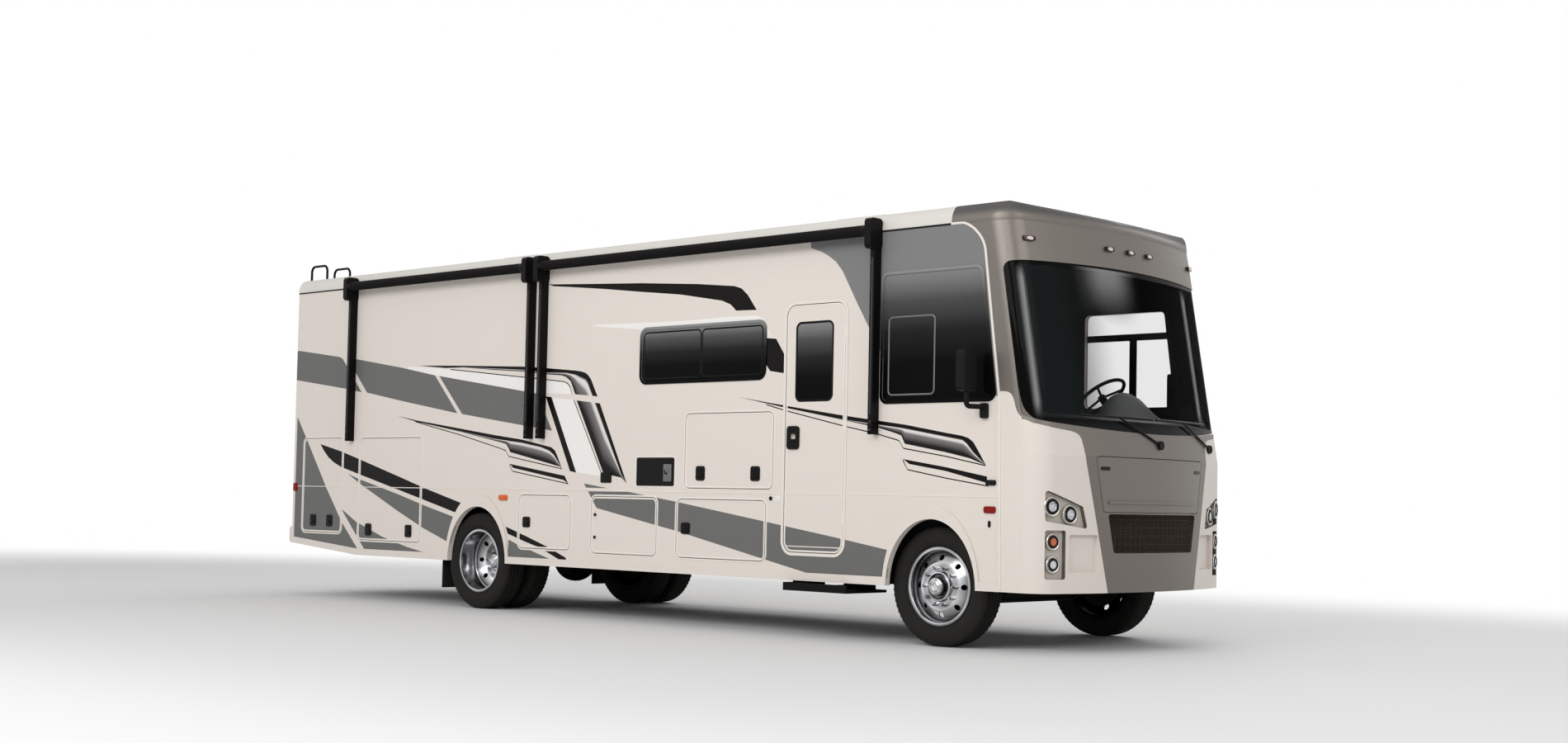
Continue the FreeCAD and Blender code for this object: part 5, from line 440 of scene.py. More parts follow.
# %% Tube edges
TUBES = {
    "main tube": (
        [(-2.7, 2.346), (-2.0, 2.321), (-1.106, 2.282), (-0.775, 2.258), (-0.347, 2.22), (-0.268, 2.209),
         (-0.216, 2.196), (-0.176, 2.174), (-0.137, 2.137), (-0.04, 1.975), (0.37, 1.205)],
        [(-2.7, 2.344), (-2.275, 2.307), (-2.0, 2.306), (-1.106, 2.252), (-0.775, 2.216), (-0.479, 2.203),
         (-0.347, 2.185), (-0.268, 2.159), (-0.216, 2.143), (-0.183, 2.117), (-0.104, 1.985),
         (0.297, 1.282), (0.37, 1.205)],
        [(-2.7, 2.344), (-2.275, 2.307), (-2.0, 2.304), (-1.5, 2.262), (-1.106, 2.236), (-0.775, 2.2),
         (-0.545, 2.183), (-0.479, 2.166), (-0.413, 2.124), (-0.347, 2.005), (-0.328, 1.953),
         (0.054, 1.301), (0.166, 1.275), (0.297, 1.255), (0.37, 1.205)]),
    "middle tube": (
        [(-3.065, 1.857), (-2.73, 1.804), (-2.0, 1.712), (-1.5, 1.648), (-1.084, 1.601), (-0.742, 1.542),
         (-0.663, 1.528), (-0.61, 1.499), (-0.578, 1.453), (-0.505, 1.332)],
        [(-3.065, 1.857), (-2.73, 1.79), (-2.0, 1.685), (-1.5, 1.612), (-1.084, 1.574), (-0.808, 1.532),
         (-0.689, 1.499), (-0.624, 1.459), (-0.505, 1.332)],
        [(-3.065, 1.857), (-2.73, 1.79), (-2.0, 1.68), (-1.4, 1.578), (-1.32, 1.562), (-1.28, 1.525),
         (-1.255, 1.485), (-0.532, 1.35), (-0.505, 1.332)]),
    "front tube": (
        [(1.725, 1.931), (2.24, 1.852), (2.844, 1.765), (3.241, 1.714), (3.506, 1.68), (3.906, 1.613),
         (4.061, 1.589), (4.117, 1.572), (4.161, 1.544), (4.194, 1.5), (4.283, 1.369)],
        [(1.725, 1.931), (2.24, 1.835), (2.844, 1.733), (3.241, 1.683), (3.506, 1.652), (3.906, 1.586),
         (4.061, 1.561), (4.1, 1.535), (4.16, 1.47), (4.283, 1.369)],
        [(1.725, 1.931), (2.24, 1.835), (2.844, 1.73), (3.241, 1.659), (3.394, 1.62), (3.472, 1.597),
         (3.506, 1.533), (3.906, 1.467), (4.128, 1.422), (4.283, 1.369)]),
}
TUBE_STOPS = [(0.0, linear(14, 12, 12)), (0.22, linear(30, 28, 28)), (0.48, linear(96, 92, 92)),
              (0.7, linear(122, 118, 117)), (0.82, linear(212, 208, 204)), (0.93, linear(222, 216, 212)),
              (1.0, linear(40, 38, 37))]
GAP_ACROSS = ([(-0.83, 2.035), (-0.347, 2.005), (0.03, 1.972)],
              [(-0.83, 2.004), (-0.36, 1.953), (0.03, 1.912)])
FRONT_GREY = (
    [(2.5, 3.4), (4.6, 3.4)],
    [(2.5, 3.115), (2.615, 3.077), (2.687, 3.04), (2.77, 2.987), (2.844, 2.904), (3.0, 2.644), (3.119, 2.456),
     (3.244, 2.258), (3.28, 2.19), (3.3, 1.88), (4.6, 1.88)])
print("tubes", len(TUBES))

# %% [markdown]
# ## Body paint
# The coach body is a warm cream gloss paint, a touch uneven as sprayed panels are, under a clear coat.
# The stripes lie only on the flat of the sides: a test on the sideways place keeps them off
# the proud wheel flares, the sill and the door trims, which stay cream on the real one.

# %% Body paint
WALL_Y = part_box("side_wall_right")[0].y * -1
CREAM = linear(219, 211, 203)
STRIPE_GREY = linear(105, 105, 104)
STRIPE_BLACK = linear(16, 13, 12)
STRIPE_WHITE = linear(232, 229, 226)
UPPER_GREY = linear(123, 123, 123)
WALL_SKIN = 0.006
DOOR_PROUD = 0.002
SLIDE_PROUD = 0.03
CREAM_GLOSS = {"roughness": 0.32, "coat_weight": 0.06, "coat_roughness": 0.1, "ior": 1.16}
CREAM_DRIFT = (0.015, 1.6)


def edge_heights(paint, edges):
    """For edges that share their ends: the test along the body, and each edge's height as a share."""
    rear, front = edges[0][0][0], edges[0][-1][0]
    low = min(z for edge in edges for x, z in edge)
    high = max(z for edge in edges for x, z in edge) + HAIR
    along = paint.x.fraction(rear, front)
    height = paint.z.fraction(low, high)
    curves = []
    for edge in edges:
        points = [((x - rear) / (front - rear), (z - low) / (high - low)) for x, z in edge]
        curves.append(paint.add("ShaderNodeFloatCurve", {"points": points}, {"Value": along}))
    return along.near(0.5, 0.5), height, curves


def band_mask(paint, edges):
    inside, height, (upper, lower) = edge_heights(paint, edges)
    return inside * (height < upper) * (height > lower)


def all_masks(paint, bands):
    masks = [band_mask(paint, edges) for edges in bands.values()]
    joined = masks[0]
    for mask in masks[1:]:
        joined = joined.either(mask)
    return joined


def striped(paint, ground, proud):
    """Lays all stripes over a ground colour, on whatever lies within the proud limit of the wall."""
    on_wall = abs(paint.y).near(WALL_Y - WALL_SKIN / 2 + proud / 2, WALL_SKIN / 2 + proud / 2)
    clear = 1 - band_mask(paint, GAP_ACROSS)
    colour = paint.mix(all_masks(paint, WHITE_BANDS) * on_wall, ground, STRIPE_WHITE)
    colour = paint.mix(all_masks(paint, GREY_BANDS) * on_wall, colour, STRIPE_GREY)
    colour = paint.mix(band_mask(paint, FRONT_GREY) * on_wall, colour, UPPER_GREY)
    colour = paint.mix(all_masks(paint, BLACK_BANDS) * clear * on_wall, colour, STRIPE_BLACK)
    for outer, border, inner in TUBES.values():
        inside, height, (upper, dark, lower) = edge_heights(paint, (outer, border, inner))
        body = inside * (height < upper) * (height > lower) * clear * on_wall
        across = (height - lower) / (dark - lower)
        shade = paint.ramp(across, TUBE_STOPS)
        shade = paint.mix(height > dark, shade, STRIPE_BLACK)
        colour = paint.mix(body, colour, shade)
    return colour


def gloss_paint(name, proud=None):
    paint = Finish(name, **CREAM_GLOSS)
    ground = paint.mottled(CREAM, *CREAM_DRIFT)
    paint.set(base_color=ground if proud is None else striped(paint, ground, proud))
    paint.bump(paint.noise(38, 2), 0.06, 0.0006)
    return paint


cream_paint = gloss_paint("cream_paint")
striped_paint = gloss_paint("striped_paint", DOOR_PROUD)
slide_paint = gloss_paint("slide_paint", SLIDE_PROUD)
print("nodes in the striped paint", len(striped_paint.nodes_tree.nodes))


# %% [markdown]
# ## Cap paint
# The front cap is two colours. The middle, and everything round the windscreen, is a brown grey metallic,
# and the lower corners are cream. The line between them leans outwards as it rises, turns out under the
# glass in a soft step, and runs back round the corner to the side wall.
# A straight line, one curve of half width and one of forward place hold it, each over a short height,
# because a curve node keeps only 256 steps along its whole run.

# %% Cap paint
CAP_GREY = linear(116, 110, 104)
FLAKE_DARK = linear(100, 94, 89)
FLAKE_LIGHT = linear(130, 124, 118)
FLAKE_SCALE = 900
METAL = 0.7
CROWN_FADE = (3.225, 3.285)
CAP_LINE_START = 1.415
CAP_LINE_FOOT = 0.4965
CAP_LINE_LEAN = 0.2465
WIDEST = 1.4
CAP_LINE = [(1.415, 0.8453), (1.46, 0.853), (1.514, 0.86), (1.574, 0.871), (1.602, 0.889), (1.617, 0.914),
            (1.63, 0.963), (1.64, 1.05), (1.65, 1.131), (1.664, 1.2), (1.68, 1.251), (1.705, 1.275),
            (1.71, WIDEST), (1.95, WIDEST)]
CAP_RETURN = [(1.66, 4.0), (1.69, 4.0), (1.70, 4.6), (1.722, 4.594), (1.748, 4.567), (1.772, 4.552),
              (1.799, 4.542), (1.825, 4.535), (1.851, 4.527), (1.873, 4.516), (1.894, 4.499), (1.906, 4.477),
              (1.912, 4.45), (1.915, 4.36), (1.92, 4.0), (1.95, 4.0)]
CAP_BACK = 4.0
CAP_AHEAD = 5.0


def by_height(paint, points, least, most):
    """A value that follows the height along short straight runs."""
    low, high = points[0][0], points[-1][0]
    shares = [((z - low) / (high - low), (value - least) / (most - least)) for z, value in points]
    curve = paint.add("ShaderNodeFloatCurve", {"points": shares}, {"Value": paint.z.fraction(low, high)})
    return curve * (most - least) + least


def cap_mask(paint):
    below = paint.z < CAP_LINE_START
    straight = paint.z * CAP_LINE_LEAN + CAP_LINE_FOOT
    half = by_height(paint, CAP_LINE, 0, WIDEST)
    half = below * straight + (1 - below) * half
    back = by_height(paint, CAP_RETURN, CAP_BACK, CAP_AHEAD)
    low, high = CAP_RETURN[0][0], CAP_RETURN[-1][0]
    middle = paint.z.near((low + high) / 2, (high - low) / 2)
    return (abs(paint.y) < half) * (1 - middle * (paint.x < back))


# The brown grey coat has fine flakes of two tones under a thin clear coat.
cap_paint = Finish("cap_paint", roughness=0.38, coat_weight=0.08, coat_roughness=0.3, ior=1.25)
grey = cap_mask(cap_paint)
grey_coat = cap_paint.mix(cap_paint.noise(FLAKE_SCALE, 1), FLAKE_DARK, FLAKE_LIGHT)
cap_paint.set(base_color=cap_paint.mix(grey, cap_paint.mottled(CREAM, *CREAM_DRIFT), grey_coat),
              metallic=grey * METAL)
cap_paint.bump(cap_paint.noise(30, 2), 0.05, 0.0006)
crown_paint = Finish("crown_paint", coat_weight=0.02, coat_roughness=0.3, ior=1.12)
upper = crown_paint.z.ease(*CROWN_FADE)
flake = crown_paint.noise(FLAKE_SCALE, 1)
roll_coat = crown_paint.mix(flake, FLAKE_DARK, FLAKE_LIGHT)
bow_coat = crown_paint.mix(flake, linear(80, 79, 78), linear(100, 98, 97))
crown_paint.set(base_color=crown_paint.mix(upper, roll_coat, bow_coat),
                roughness=upper * 0.34 + 0.38, metallic=(1 - upper) * METAL)
print("cap paint", cap_paint.material.name)


# %% [markdown]
# ## Painted shade inside
# Seen through the glass, the inside of the coach lies in shade, so the back of each painted panel is painted
# near black as painted shade.
# The side walls turn dark a wall's thickness in, and the cap does so behind its own shell,
# which is found from the same round plan that the cap is drawn with: a long front arc and two corner arcs.

# %% Insides
INSIDE_SHADE = linear(30, 28, 27)
WALL_DEEP = 0.04
CAP_RADIUS = 4.17
CAP_CORNER = 0.2
CAP_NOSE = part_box("front_cap")[1].x
CAP_UPRIGHT = 1.45
CAP_LEAN = 0.28 / 1.6
CORNER_BACK = CAP_RADIUS - 0.3504
CORNER_Y = WALL_Y - CAP_CORNER
TIP_Y = CORNER_Y * CAP_RADIUS / (CAP_RADIUS - CAP_CORNER)
CAP_SHELL = 0.0375
CAP_CEILING = 3.12


def darkened(paint, colour, inside):
    return paint.mix(inside, colour, INSIDE_SHADE)


def plan_distances(paint, nose):
    """How far a point lies from the centre of the cap's front arc, and from that of its corner arc."""
    middle = nose - CAP_RADIUS
    corner_x = middle + CORNER_BACK
    side = abs(paint.y)
    arc = paint.maths("SQRT", (paint.x - middle) ** 2 + side ** 2)
    corner = paint.maths("SQRT", (paint.x - corner_x).either(0) ** 2 + (side - CORNER_Y).either(0) ** 2)
    return arc, corner


def behind_cap(paint):
    """One inside the shell of the cap, worked out from its plan at each height."""
    nose = CAP_NOSE - (paint.z - CAP_UPRIGHT).either(0) * CAP_LEAN
    arc, corner = plan_distances(paint, nose)
    return (arc < CAP_RADIUS - CAP_SHELL) * (corner < CAP_CORNER - CAP_SHELL) * (paint.z < CAP_CEILING)


# Painted shade: the inner faces of the side walls and of the cap are painted near black.
for paint, inside in ((striped_paint, abs(striped_paint.y) < WALL_Y - WALL_DEEP),
                      (cap_paint, behind_cap(cap_paint))):
    paint.set(base_color=darkened(paint, paint.colour(), inside))
print("insides darkened behind", round(WALL_Y - WALL_DEEP, 3), "m")

# %% [markdown]
# ## Lamp recesses
# The front lamps sit in recesses pressed into the cap. Their walls lie in shadow and are painted dark as
# painted shade, and their floors are sprayed silver, so both are found by how deep they lie behind the cap's
# round plan.

# %% Recess paint
RECESS_WALL_SHADE = linear(96, 88, 81)
RECESS_FLOOR = linear(188, 181, 172)
RECESS_RIM = 0.004
FLOOR_DEPTHS = (0.0325, 0.036)
LAMPS_ACROSS = (1.01, 0.205)
LAMPS_UP = (0.87, 0.335)
LOWER_LAMPS_TOP = 0.905
LOWER_LAMPS_INNER = 1.025


def depth_behind_cap(paint):
    """How far a point of the upright lower part lies behind the outer surface."""
    arc, corner = plan_distances(paint, CAP_NOSE)
    on_corner = abs(paint.y) > TIP_Y
    return on_corner * (CAP_CORNER - corner) + (1 - on_corner) * (CAP_RADIUS - arc)


deep = depth_behind_cap(cap_paint)
on_floor = (deep > FLOOR_DEPTHS[0]) * (deep < FLOOR_DEPTHS[1])
lamp_zone = abs(cap_paint.y).near(*LAMPS_ACROSS) * cap_paint.z.near(*LAMPS_UP)
lamp_zone = lamp_zone * (cap_paint.z > LOWER_LAMPS_TOP).either(abs(cap_paint.y) > LOWER_LAMPS_INNER)
# Painted shade: the walls of the lamp recesses are darkened.
colour = cap_paint.mix(lamp_zone * (deep > RECESS_RIM), cap_paint.colour(), RECESS_WALL_SHADE)
cap_paint.set(base_color=cap_paint.mix(lamp_zone * on_floor, colour, RECESS_FLOOR))
print("recess floors lie between", FLOOR_DEPTHS, "m deep")

# %% [markdown]
# ## Plain finishes
# Most fittings are one stuff each: moulded plastic, rubber, powder-coated or bare metal.
# One function makes them, with a colour that drifts a little and a fine bump at the real grain size.

# %% Plain finishes
CEILING_Z = 3.287
CEILING_HALF = 1.196
BOARD_FOOT = 1.075


def stuff(name, colour, roughness, drift=0.12, scale=6, grain=260, relief=0.12, **more):
    coat = Finish(name, roughness=roughness, **{"ior": 1.18, **more})
    coat.set(base_color=coat.mottled(colour, drift, scale))
    return coat.bump(coat.noise(grain, 3), relief, 0.0008)


black_coat = stuff("black_coat", linear(15, 14, 14), 0.4)
black_plastic = stuff("black_plastic", linear(22, 21, 21), 0.5, relief=0.3)
rubber = stuff("rubber", linear(38, 37, 35), 0.8, relief=0.4, grain=500)
roof_rubber = stuff("roof_rubber", linear(214, 211, 205), 0.7, drift=0.04, scale=1.2, grain=60)
# Painted shade: the ceiling under the roof is painted near black, like the rest of the inside.
ceiling = (roof_rubber.z < CEILING_Z) * (abs(roof_rubber.y) < CEILING_HALF)
roof_rubber.set(base_color=darkened(roof_rubber, roof_rubber.colour(), ceiling))
white_plastic = stuff("white_plastic", linear(222, 220, 215), 0.5, drift=0.03, scale=3)
galvanised = stuff("galvanised_sheet", linear(142, 143, 143), 0.45, drift=0.1, scale=18, metallic=0.8)
frame_black = stuff("frame_black", linear(15, 15, 15), 0.6, relief=0.35)
cast_iron = stuff("cast_iron", linear(34, 33, 32), 0.7, grain=90, relief=0.6)
axle_black = stuff("axle_black", linear(18, 18, 18), 0.6, relief=0.4)
tank_coat = stuff("tank_coat", linear(24, 24, 24), 0.6)
oak_board = stuff("floor_board", linear(88, 70, 54), 0.55, drift=0.25, scale=9)
oak_board.set(base_color=oak_board.mix(oak_board.z < BOARD_FOOT, oak_board.colour(), linear(16, 16, 16)))
dash_plastic = stuff("dash_plastic", linear(96, 97, 98), 0.6, grain=700, relief=0.35)
trim_bead = stuff("trim_bead", linear(226, 220, 212), 0.35, drift=0.015, scale=2, relief=0.05, ior=1.4)
grey_trim = stuff("grey_trim", linear(112, 112, 112), 0.4, metallic=0.5)
bronze_wire = stuff("bronze_wire", linear(70, 61, 55), 0.38, metallic=0.75, relief=0.15)
silver_bowl = stuff("silver_bowl", linear(196, 192, 186), 0.24, drift=0.06, scale=12, metallic=0.75)
mirror_silver = stuff("mirror_silver", linear(205, 208, 210), 0.05, drift=0.02, relief=0.01, metallic=1.0)
awning_cloth = stuff("awning_cloth", linear(18, 16, 16), 0.75, drift=0.15, scale=4, grain=900, relief=0.5)
red_lens = stuff("red_lens", linear(128, 17, 12), 0.25, drift=0.2, scale=60, coat_weight=0.12, relief=0.05)
amber_lens = stuff("amber_lens", linear(206, 92, 30), 0.2, drift=0.15, scale=60, coat_weight=0.4, relief=0.05)
print("plain finishes", len(bpy.data.materials))

# %% [markdown]
# ## Polished wheels
# The wheels are forged and polished bright. A polished disc mirrors its surroundings in rings,
# and that reflection is painted: the tone follows the distance from the nearest wheel's axle, with fine
# turning marks as bump.

# %% Chrome
FRONT_AXLE = (3.770, 0.455)
REAR_AXLE = (-1.765, 0.455)
DISC_RADIUS = 0.30
FRONT_INSIDE = 1.09
REAR_INSIDE = 0.955


def wheel_radius(metal):
    """Distance from the axle of the nearest wheel."""
    ahead = metal.x > 1
    across = metal.x - (REAR_AXLE[0] + ahead * (FRONT_AXLE[0] - REAR_AXLE[0]))
    up = metal.z - REAR_AXLE[1]
    return metal.maths("SQRT", across ** 2 + up ** 2), across, up


chrome = Finish("polished_wheel", metallic=1.0)
radius, across, up = wheel_radius(chrome)
# Painted reflection: bright and dark rings by distance from the axle, with darker fans round it.
rings = chrome.ramp(radius / DISC_RADIUS, [
    (0.0, linear(245, 245, 245)), (0.2, linear(206, 206, 208)), (0.25, linear(70, 70, 72)),
    (0.34, linear(232, 232, 234)), (0.5, linear(186, 186, 188)), (0.62, linear(242, 242, 244)),
    (0.8, linear(150, 150, 152)), (0.88, linear(48, 48, 50)), (0.94, linear(228, 228, 230)),
    (1.0, linear(140, 140, 142))])
turn = chrome.maths("ARCTAN2", up, across)
fans = chrome.maths("SINE", turn * 5 + chrome.noise(4, 1) * 3)
painted_reflection = chrome.mix(fans.fraction(-1.6, 4.6), rings, linear(62, 63, 66))
facing = chrome.add("ShaderNodeNewGeometry", out="Normal")
facing = Wire(chrome, chrome.add("ShaderNodeSeparateXYZ", values={0: facing}).socket.node.outputs[1])
# Painted shade: faces turned in towards the middle, and everything nearer the middle than the outer discs,
# are painted near black and duller.
inward = facing * chrome.maths("SIGN", chrome.y) < -0.1
wheel_inner_shade = inward.either(abs(chrome.y) < REAR_INSIDE + (chrome.x > 1) * (FRONT_INSIDE - REAR_INSIDE))
chrome.set(base_color=chrome.mix(wheel_inner_shade, painted_reflection, linear(12, 12, 12)), roughness=wheel_inner_shade * 0.5 + 0.14)
chrome.bump(chrome.maths("SINE", radius * 2600), 0.05, 0.0004)
print("chrome rings out to", DISC_RADIUS, "m")

# %% [markdown]
# ## Glass, with painted reflections
# A side pane mirrors the bright sky near its top and the dark ground near its foot, and that reflection is
# painted:
# its tone runs from grey to black down the pane, and a little of the inside shows through.
# The windscreen has a black border fired on its edges and is hazier on its near side, a painted reflection
# of the dark ground, with painted highlights. The driver's own side pane is the clearest.

# %% Glass
# Painted reflection of sky and ground, from the foot of a pane to its head.
SKY_REFLECTION_STOPS = [(0.0, linear(7, 7, 7)), (0.3, linear(10, 10, 10)), (0.55, linear(36, 36, 36)),
               (0.78, linear(78, 78, 78)), (1.0, linear(134, 134, 134))]
CAB_PANE = (1.865, 2.842)
SIDE_PANE = (2.08, 2.56)
ENTRY_PANE = (1.885, 2.515)
SLIDE_PANE = (2.02, 2.58)
CAB_REAR = 3


def glass(name, alpha):
    return Finish(name, roughness=0.06, ior=1.12, alpha=alpha)


def pane_height(glazed):
    """Runs from 0 at the foot of a pane to 1 at its head, in the cab and behind it."""
    return glazed.mix(glazed.x > CAB_REAR, glazed.z.fraction(*SIDE_PANE), glazed.z.fraction(*CAB_PANE))


side_glass = glass("side_glass", 1)
in_cab = side_glass.x > CAB_REAR
driver = in_cab * (side_glass.y > 0)
side_glass.set(base_color=side_glass.ramp(pane_height(side_glass), SKY_REFLECTION_STOPS),
               alpha=0.97 - in_cab * 0.1 - driver * 0.82)
entry_tint = glass("entry_glass", 0.96)
entry_tint.set(base_color=entry_tint.ramp(entry_tint.z.fraction(*ENTRY_PANE), SKY_REFLECTION_STOPS))
slide_tint = glass("slide_glass", 0.94)
slide_tint.set(base_color=slide_tint.ramp(slide_tint.z.fraction(*SLIDE_PANE), SKY_REFLECTION_STOPS))

SCREEN_LOW = 1.637
SCREEN_TOP = 2.905
SCREEN_HEEL = (4.592, 1.738)
SCREEN_BROW = (4.400, 2.872)
BORDER_SIDE = 0.11
BORDER_TOP = 0.045
BORDER_FOOT = 0.085
screen_glass = glass("windscreen_glass", 1)
rise = screen_glass.z.fraction(SCREEN_HEEL[1], SCREEN_BROW[1])
edge_x = rise * (SCREEN_BROW[0] - SCREEN_HEEL[0]) + SCREEN_HEEL[0]
border = (screen_glass.x - edge_x < BORDER_SIDE).either(screen_glass.z > SCREEN_TOP - BORDER_TOP)
border = border.either(screen_glass.z < SCREEN_LOW + BORDER_FOOT)
# Painted highlights: soft bright streaks where the glass turns back at its ends, and a pale patch under the
# brow.
PAINTED_GLINTS = ((-1.205, 0.034), (0.875, 0.06))
painted_highlight = (1 - abs(screen_glass.y + 0.33).ease(0.05, 0.42)) * screen_glass.z.ease(2.42, 2.86) * 0.85
for glint_y, reach in PAINTED_GLINTS:
    painted_streak = 1 - abs(screen_glass.y - glint_y).ease(0, reach)
    painted_streak = painted_streak * screen_glass.z.ease(1.7, 1.86) * (1 - screen_glass.z.ease(2.74, 2.87))
    painted_highlight = painted_highlight.either(painted_streak * 0.8)
painted_highlight = painted_highlight * (screen_glass.z < SCREEN_TOP - 0.02)
# Painted reflection: the near side of the glass is painted lighter and hazier, and less clear.
painted_near_haze = 1 - screen_glass.y.ease(-1.0, -0.3)
pane = screen_glass.mix(painted_near_haze, linear(10, 11, 11), linear(26, 31, 31))
fired = screen_glass.mix(screen_glass.z.ease(1.73, 1.66), linear(6, 6, 6), linear(27, 28, 28))
ground = screen_glass.mix(painted_highlight, screen_glass.mix(border, pane, fired), linear(142, 142, 142))
# The real opening is round at its lower corners, so the cap's grey laps over the square corner of the glass.
ROUND_CORNER = [(1.637, 4.93), (1.643, 4.899), (1.662, 4.816), (1.679, 4.759), (1.695, 4.712), (1.714, 4.675),
                (1.738, 4.645), (1.765, 4.62), (1.8, 4.599), (1.841, 4.582), (1.885, 4.57), (1.927, 4.562),
                (1.93, 4.3), (1.95, 4.3)]
LAP_BACK, LAP_AHEAD, LAP_TOP = 4.3, 5.0, 1.94
lapped = screen_glass.x < by_height(screen_glass, ROUND_CORNER, LAP_BACK, LAP_AHEAD)
lapped = lapped * (screen_glass.z < LAP_TOP)
screen_glass.set(base_color=screen_glass.mix(lapped, ground, CAP_GREY), roughness=lapped * 0.24 + 0.06,
                 alpha=lapped.either((border * 0.93).either(painted_highlight.either(painted_near_haze * 0.5))) + 0.06)
print("windscreen border", BORDER_FOOT, "m at its foot")

# %% [markdown]
# ## Finishes on the CAD pieces
# Each CAD piece keeps its shape and gets the finish of what it is made of.
# A door and its black latches are one CAD piece, so the finish tells them apart:
# whatever stands proud of the wall's plane on a door is a latch, and black.

# %% Finishes with two parts
LATCH_PROUD = 0.0006


def proud_black(name, proud):
    """The striped paint, where all that stands proud of the wall is black plastic."""
    paint = Finish(name, **CREAM_GLOSS)
    ground = striped(paint, paint.mottled(CREAM, *CREAM_DRIFT), DOOR_PROUD)
    # Painted shade on the door's inner faces, as on the walls.
    ground = darkened(paint, ground, abs(paint.y) < WALL_Y - WALL_DEEP)
    return paint.set(base_color=paint.mix(abs(paint.y) > WALL_Y + proud, ground, linear(17, 16, 16)))


door_paint = proud_black("door_paint", LATCH_PROUD)
hatch_paint = Finish("hatch_paint", roughness=0.3, coat_weight=0.12, coat_roughness=0.1, ior=1.25,
                     metallic=0.35)
latch_zone = abs(hatch_paint.z).near(1.364, 0.016) * (abs(hatch_paint.y) > 0.598)
latch_zone = latch_zone * (hatch_paint.x + hatch_paint.y ** 2 / (2 * CAP_RADIUS) > CAP_NOSE + 0.0012)
flake = hatch_paint.mix(hatch_paint.noise(FLAKE_SCALE, 1), linear(104, 98, 93), linear(132, 126, 120))
hatch_paint.set(base_color=hatch_paint.mix(latch_zone, flake, linear(18, 17, 17)))

# Painted reflection: the window frames take the same tone as the glass, grey at the head of the pane to black
# at its foot; round the entry door they are cream.
frame_paint = Finish("frame_paint", roughness=0.3, ior=1.14)
band = frame_paint.x.near(2.575, 0.36) * (frame_paint.y < 0)
frame_paint.set(base_color=frame_paint.mix(band, frame_paint.ramp(pane_height(frame_paint), SKY_REFLECTION_STOPS),
                                           frame_paint.mottled(linear(224, 217, 209), 0.015, 2)))

lens = Finish("front_lens", roughness=0.12, coat_weight=0.5, coat_roughness=0.03, ior=1.45)
turn_lamp = lens.z.near(0.82, 0.06)
fog_lamp = lens.z < 0.72
spot = lens.add("ShaderNodeTexVoronoi", values={"Vector": lens.place, "Scale": 70})
clear = lens.mix(spot, linear(238, 240, 242), linear(120, 122, 126))
amber = lens.mix(spot, linear(214, 104, 52), linear(150, 62, 30))
lens.set(base_color=lens.mix(turn_lamp, lens.mix(fog_lamp, clear, linear(208, 210, 210)), amber))

marker = Finish("marker_lens", roughness=0.2, coat_weight=0.2, coat_roughness=0.05, ior=1.3)
red = marker.mottled(linear(158, 24, 20), 0.15, 40)
side = abs(marker.y)
nearest = (side > 0.14) * 0.278 + (side > 0.7) * (1.125 - 0.278)
oval = marker.maths("SQRT", ((side - nearest) / 0.03) ** 2 + ((marker.z - 3.052) / 0.0135) ** 2)
front_lamp = marker.mix(oval < 1, linear(26, 20, 19), marker.mottled(linear(224, 204, 198), 0.1, 60))
marker.set(base_color=marker.mix(marker.x > 0, red, front_lamp))

step_paint = stuff("step_paint", linear(15, 15, 15), 0.6, grain=600, relief=0.6)
arm_paint = stuff("arm_paint", linear(15, 13, 13), 0.4)

CAD_FINISHES = {
    "front_cap": cap_paint, "front_hatch": hatch_paint, "windscreen": screen_glass, "grille": bronze_wire,
    "front_lamps": lens, "marker_lamps": marker, "skirt_right": striped_paint, "skirt_left": striped_paint,
    "side_wall_right": striped_paint, "side_wall_left": striped_paint, "window_frames": frame_paint,
    "window_glass": side_glass, "entry_door": door_paint, "entry_door_glass": entry_tint,
    "luggage_door_rear": door_paint, "luggage_door_tall": door_paint, "luggage_door_aft": door_paint,
    "luggage_door_mid": door_paint, "luggage_door_fore": door_paint, "screen_door": door_paint,
    "luggage_door_left_aft": door_paint, "luggage_door_left_fore": door_paint, "locker_lid": black_plastic,
    "luggage_bins": galvanised, "slide_room": slide_paint, "slide_room_glass": slide_tint,
    "roof": roof_rubber, "floor": oak_board, "rear_wall": cream_paint, "wheel_housings": black_plastic,
    "mud_flaps": rubber, "rim_front_right": chrome, "rim_front_left": chrome, "rims_rear_right": chrome,
    "rims_rear_left": chrome, "tyre_front_right": rubber, "tyre_front_left": rubber,
    "tyres_rear_right": rubber, "tyres_rear_left": rubber, "front_axle": axle_black,
    "knuckle_right": cast_iron, "knuckle_left": cast_iron, "tie_rod": axle_black, "rear_axle": axle_black,
    "springs": axle_black, "chassis": frame_black, "engine_block": cast_iron, "drive_line": tank_coat,
    "fuel_tank_and_exhaust": tank_coat, "ladder": black_coat, "awning_rollers": awning_cloth,
    "awning_arms": arm_paint, "entry_step": step_paint, "mirrors": black_plastic, "wipers": black_coat,
    "dashboard": dash_plastic, "steering_wheel": black_plastic, "seats": dash_plastic,
    "roof_gear": white_plastic,
}
for node, finish in CAD_FINISHES.items():
    for place in nodes[node].material_slots:
        place.material = finish.material
print("dressed CAD pieces", len(CAD_FINISHES), "of", len(nodes))


# %% [markdown]
# ## A builder for small parts
# Most small parts are one of four forms: a bevelled block, a pad with rounded corners,
# a bent rod, or a ring turned about an axle. Each is a row of point rings joined by quads,
# and many of them share one mesh, as the real ones share one moulding or one colour.

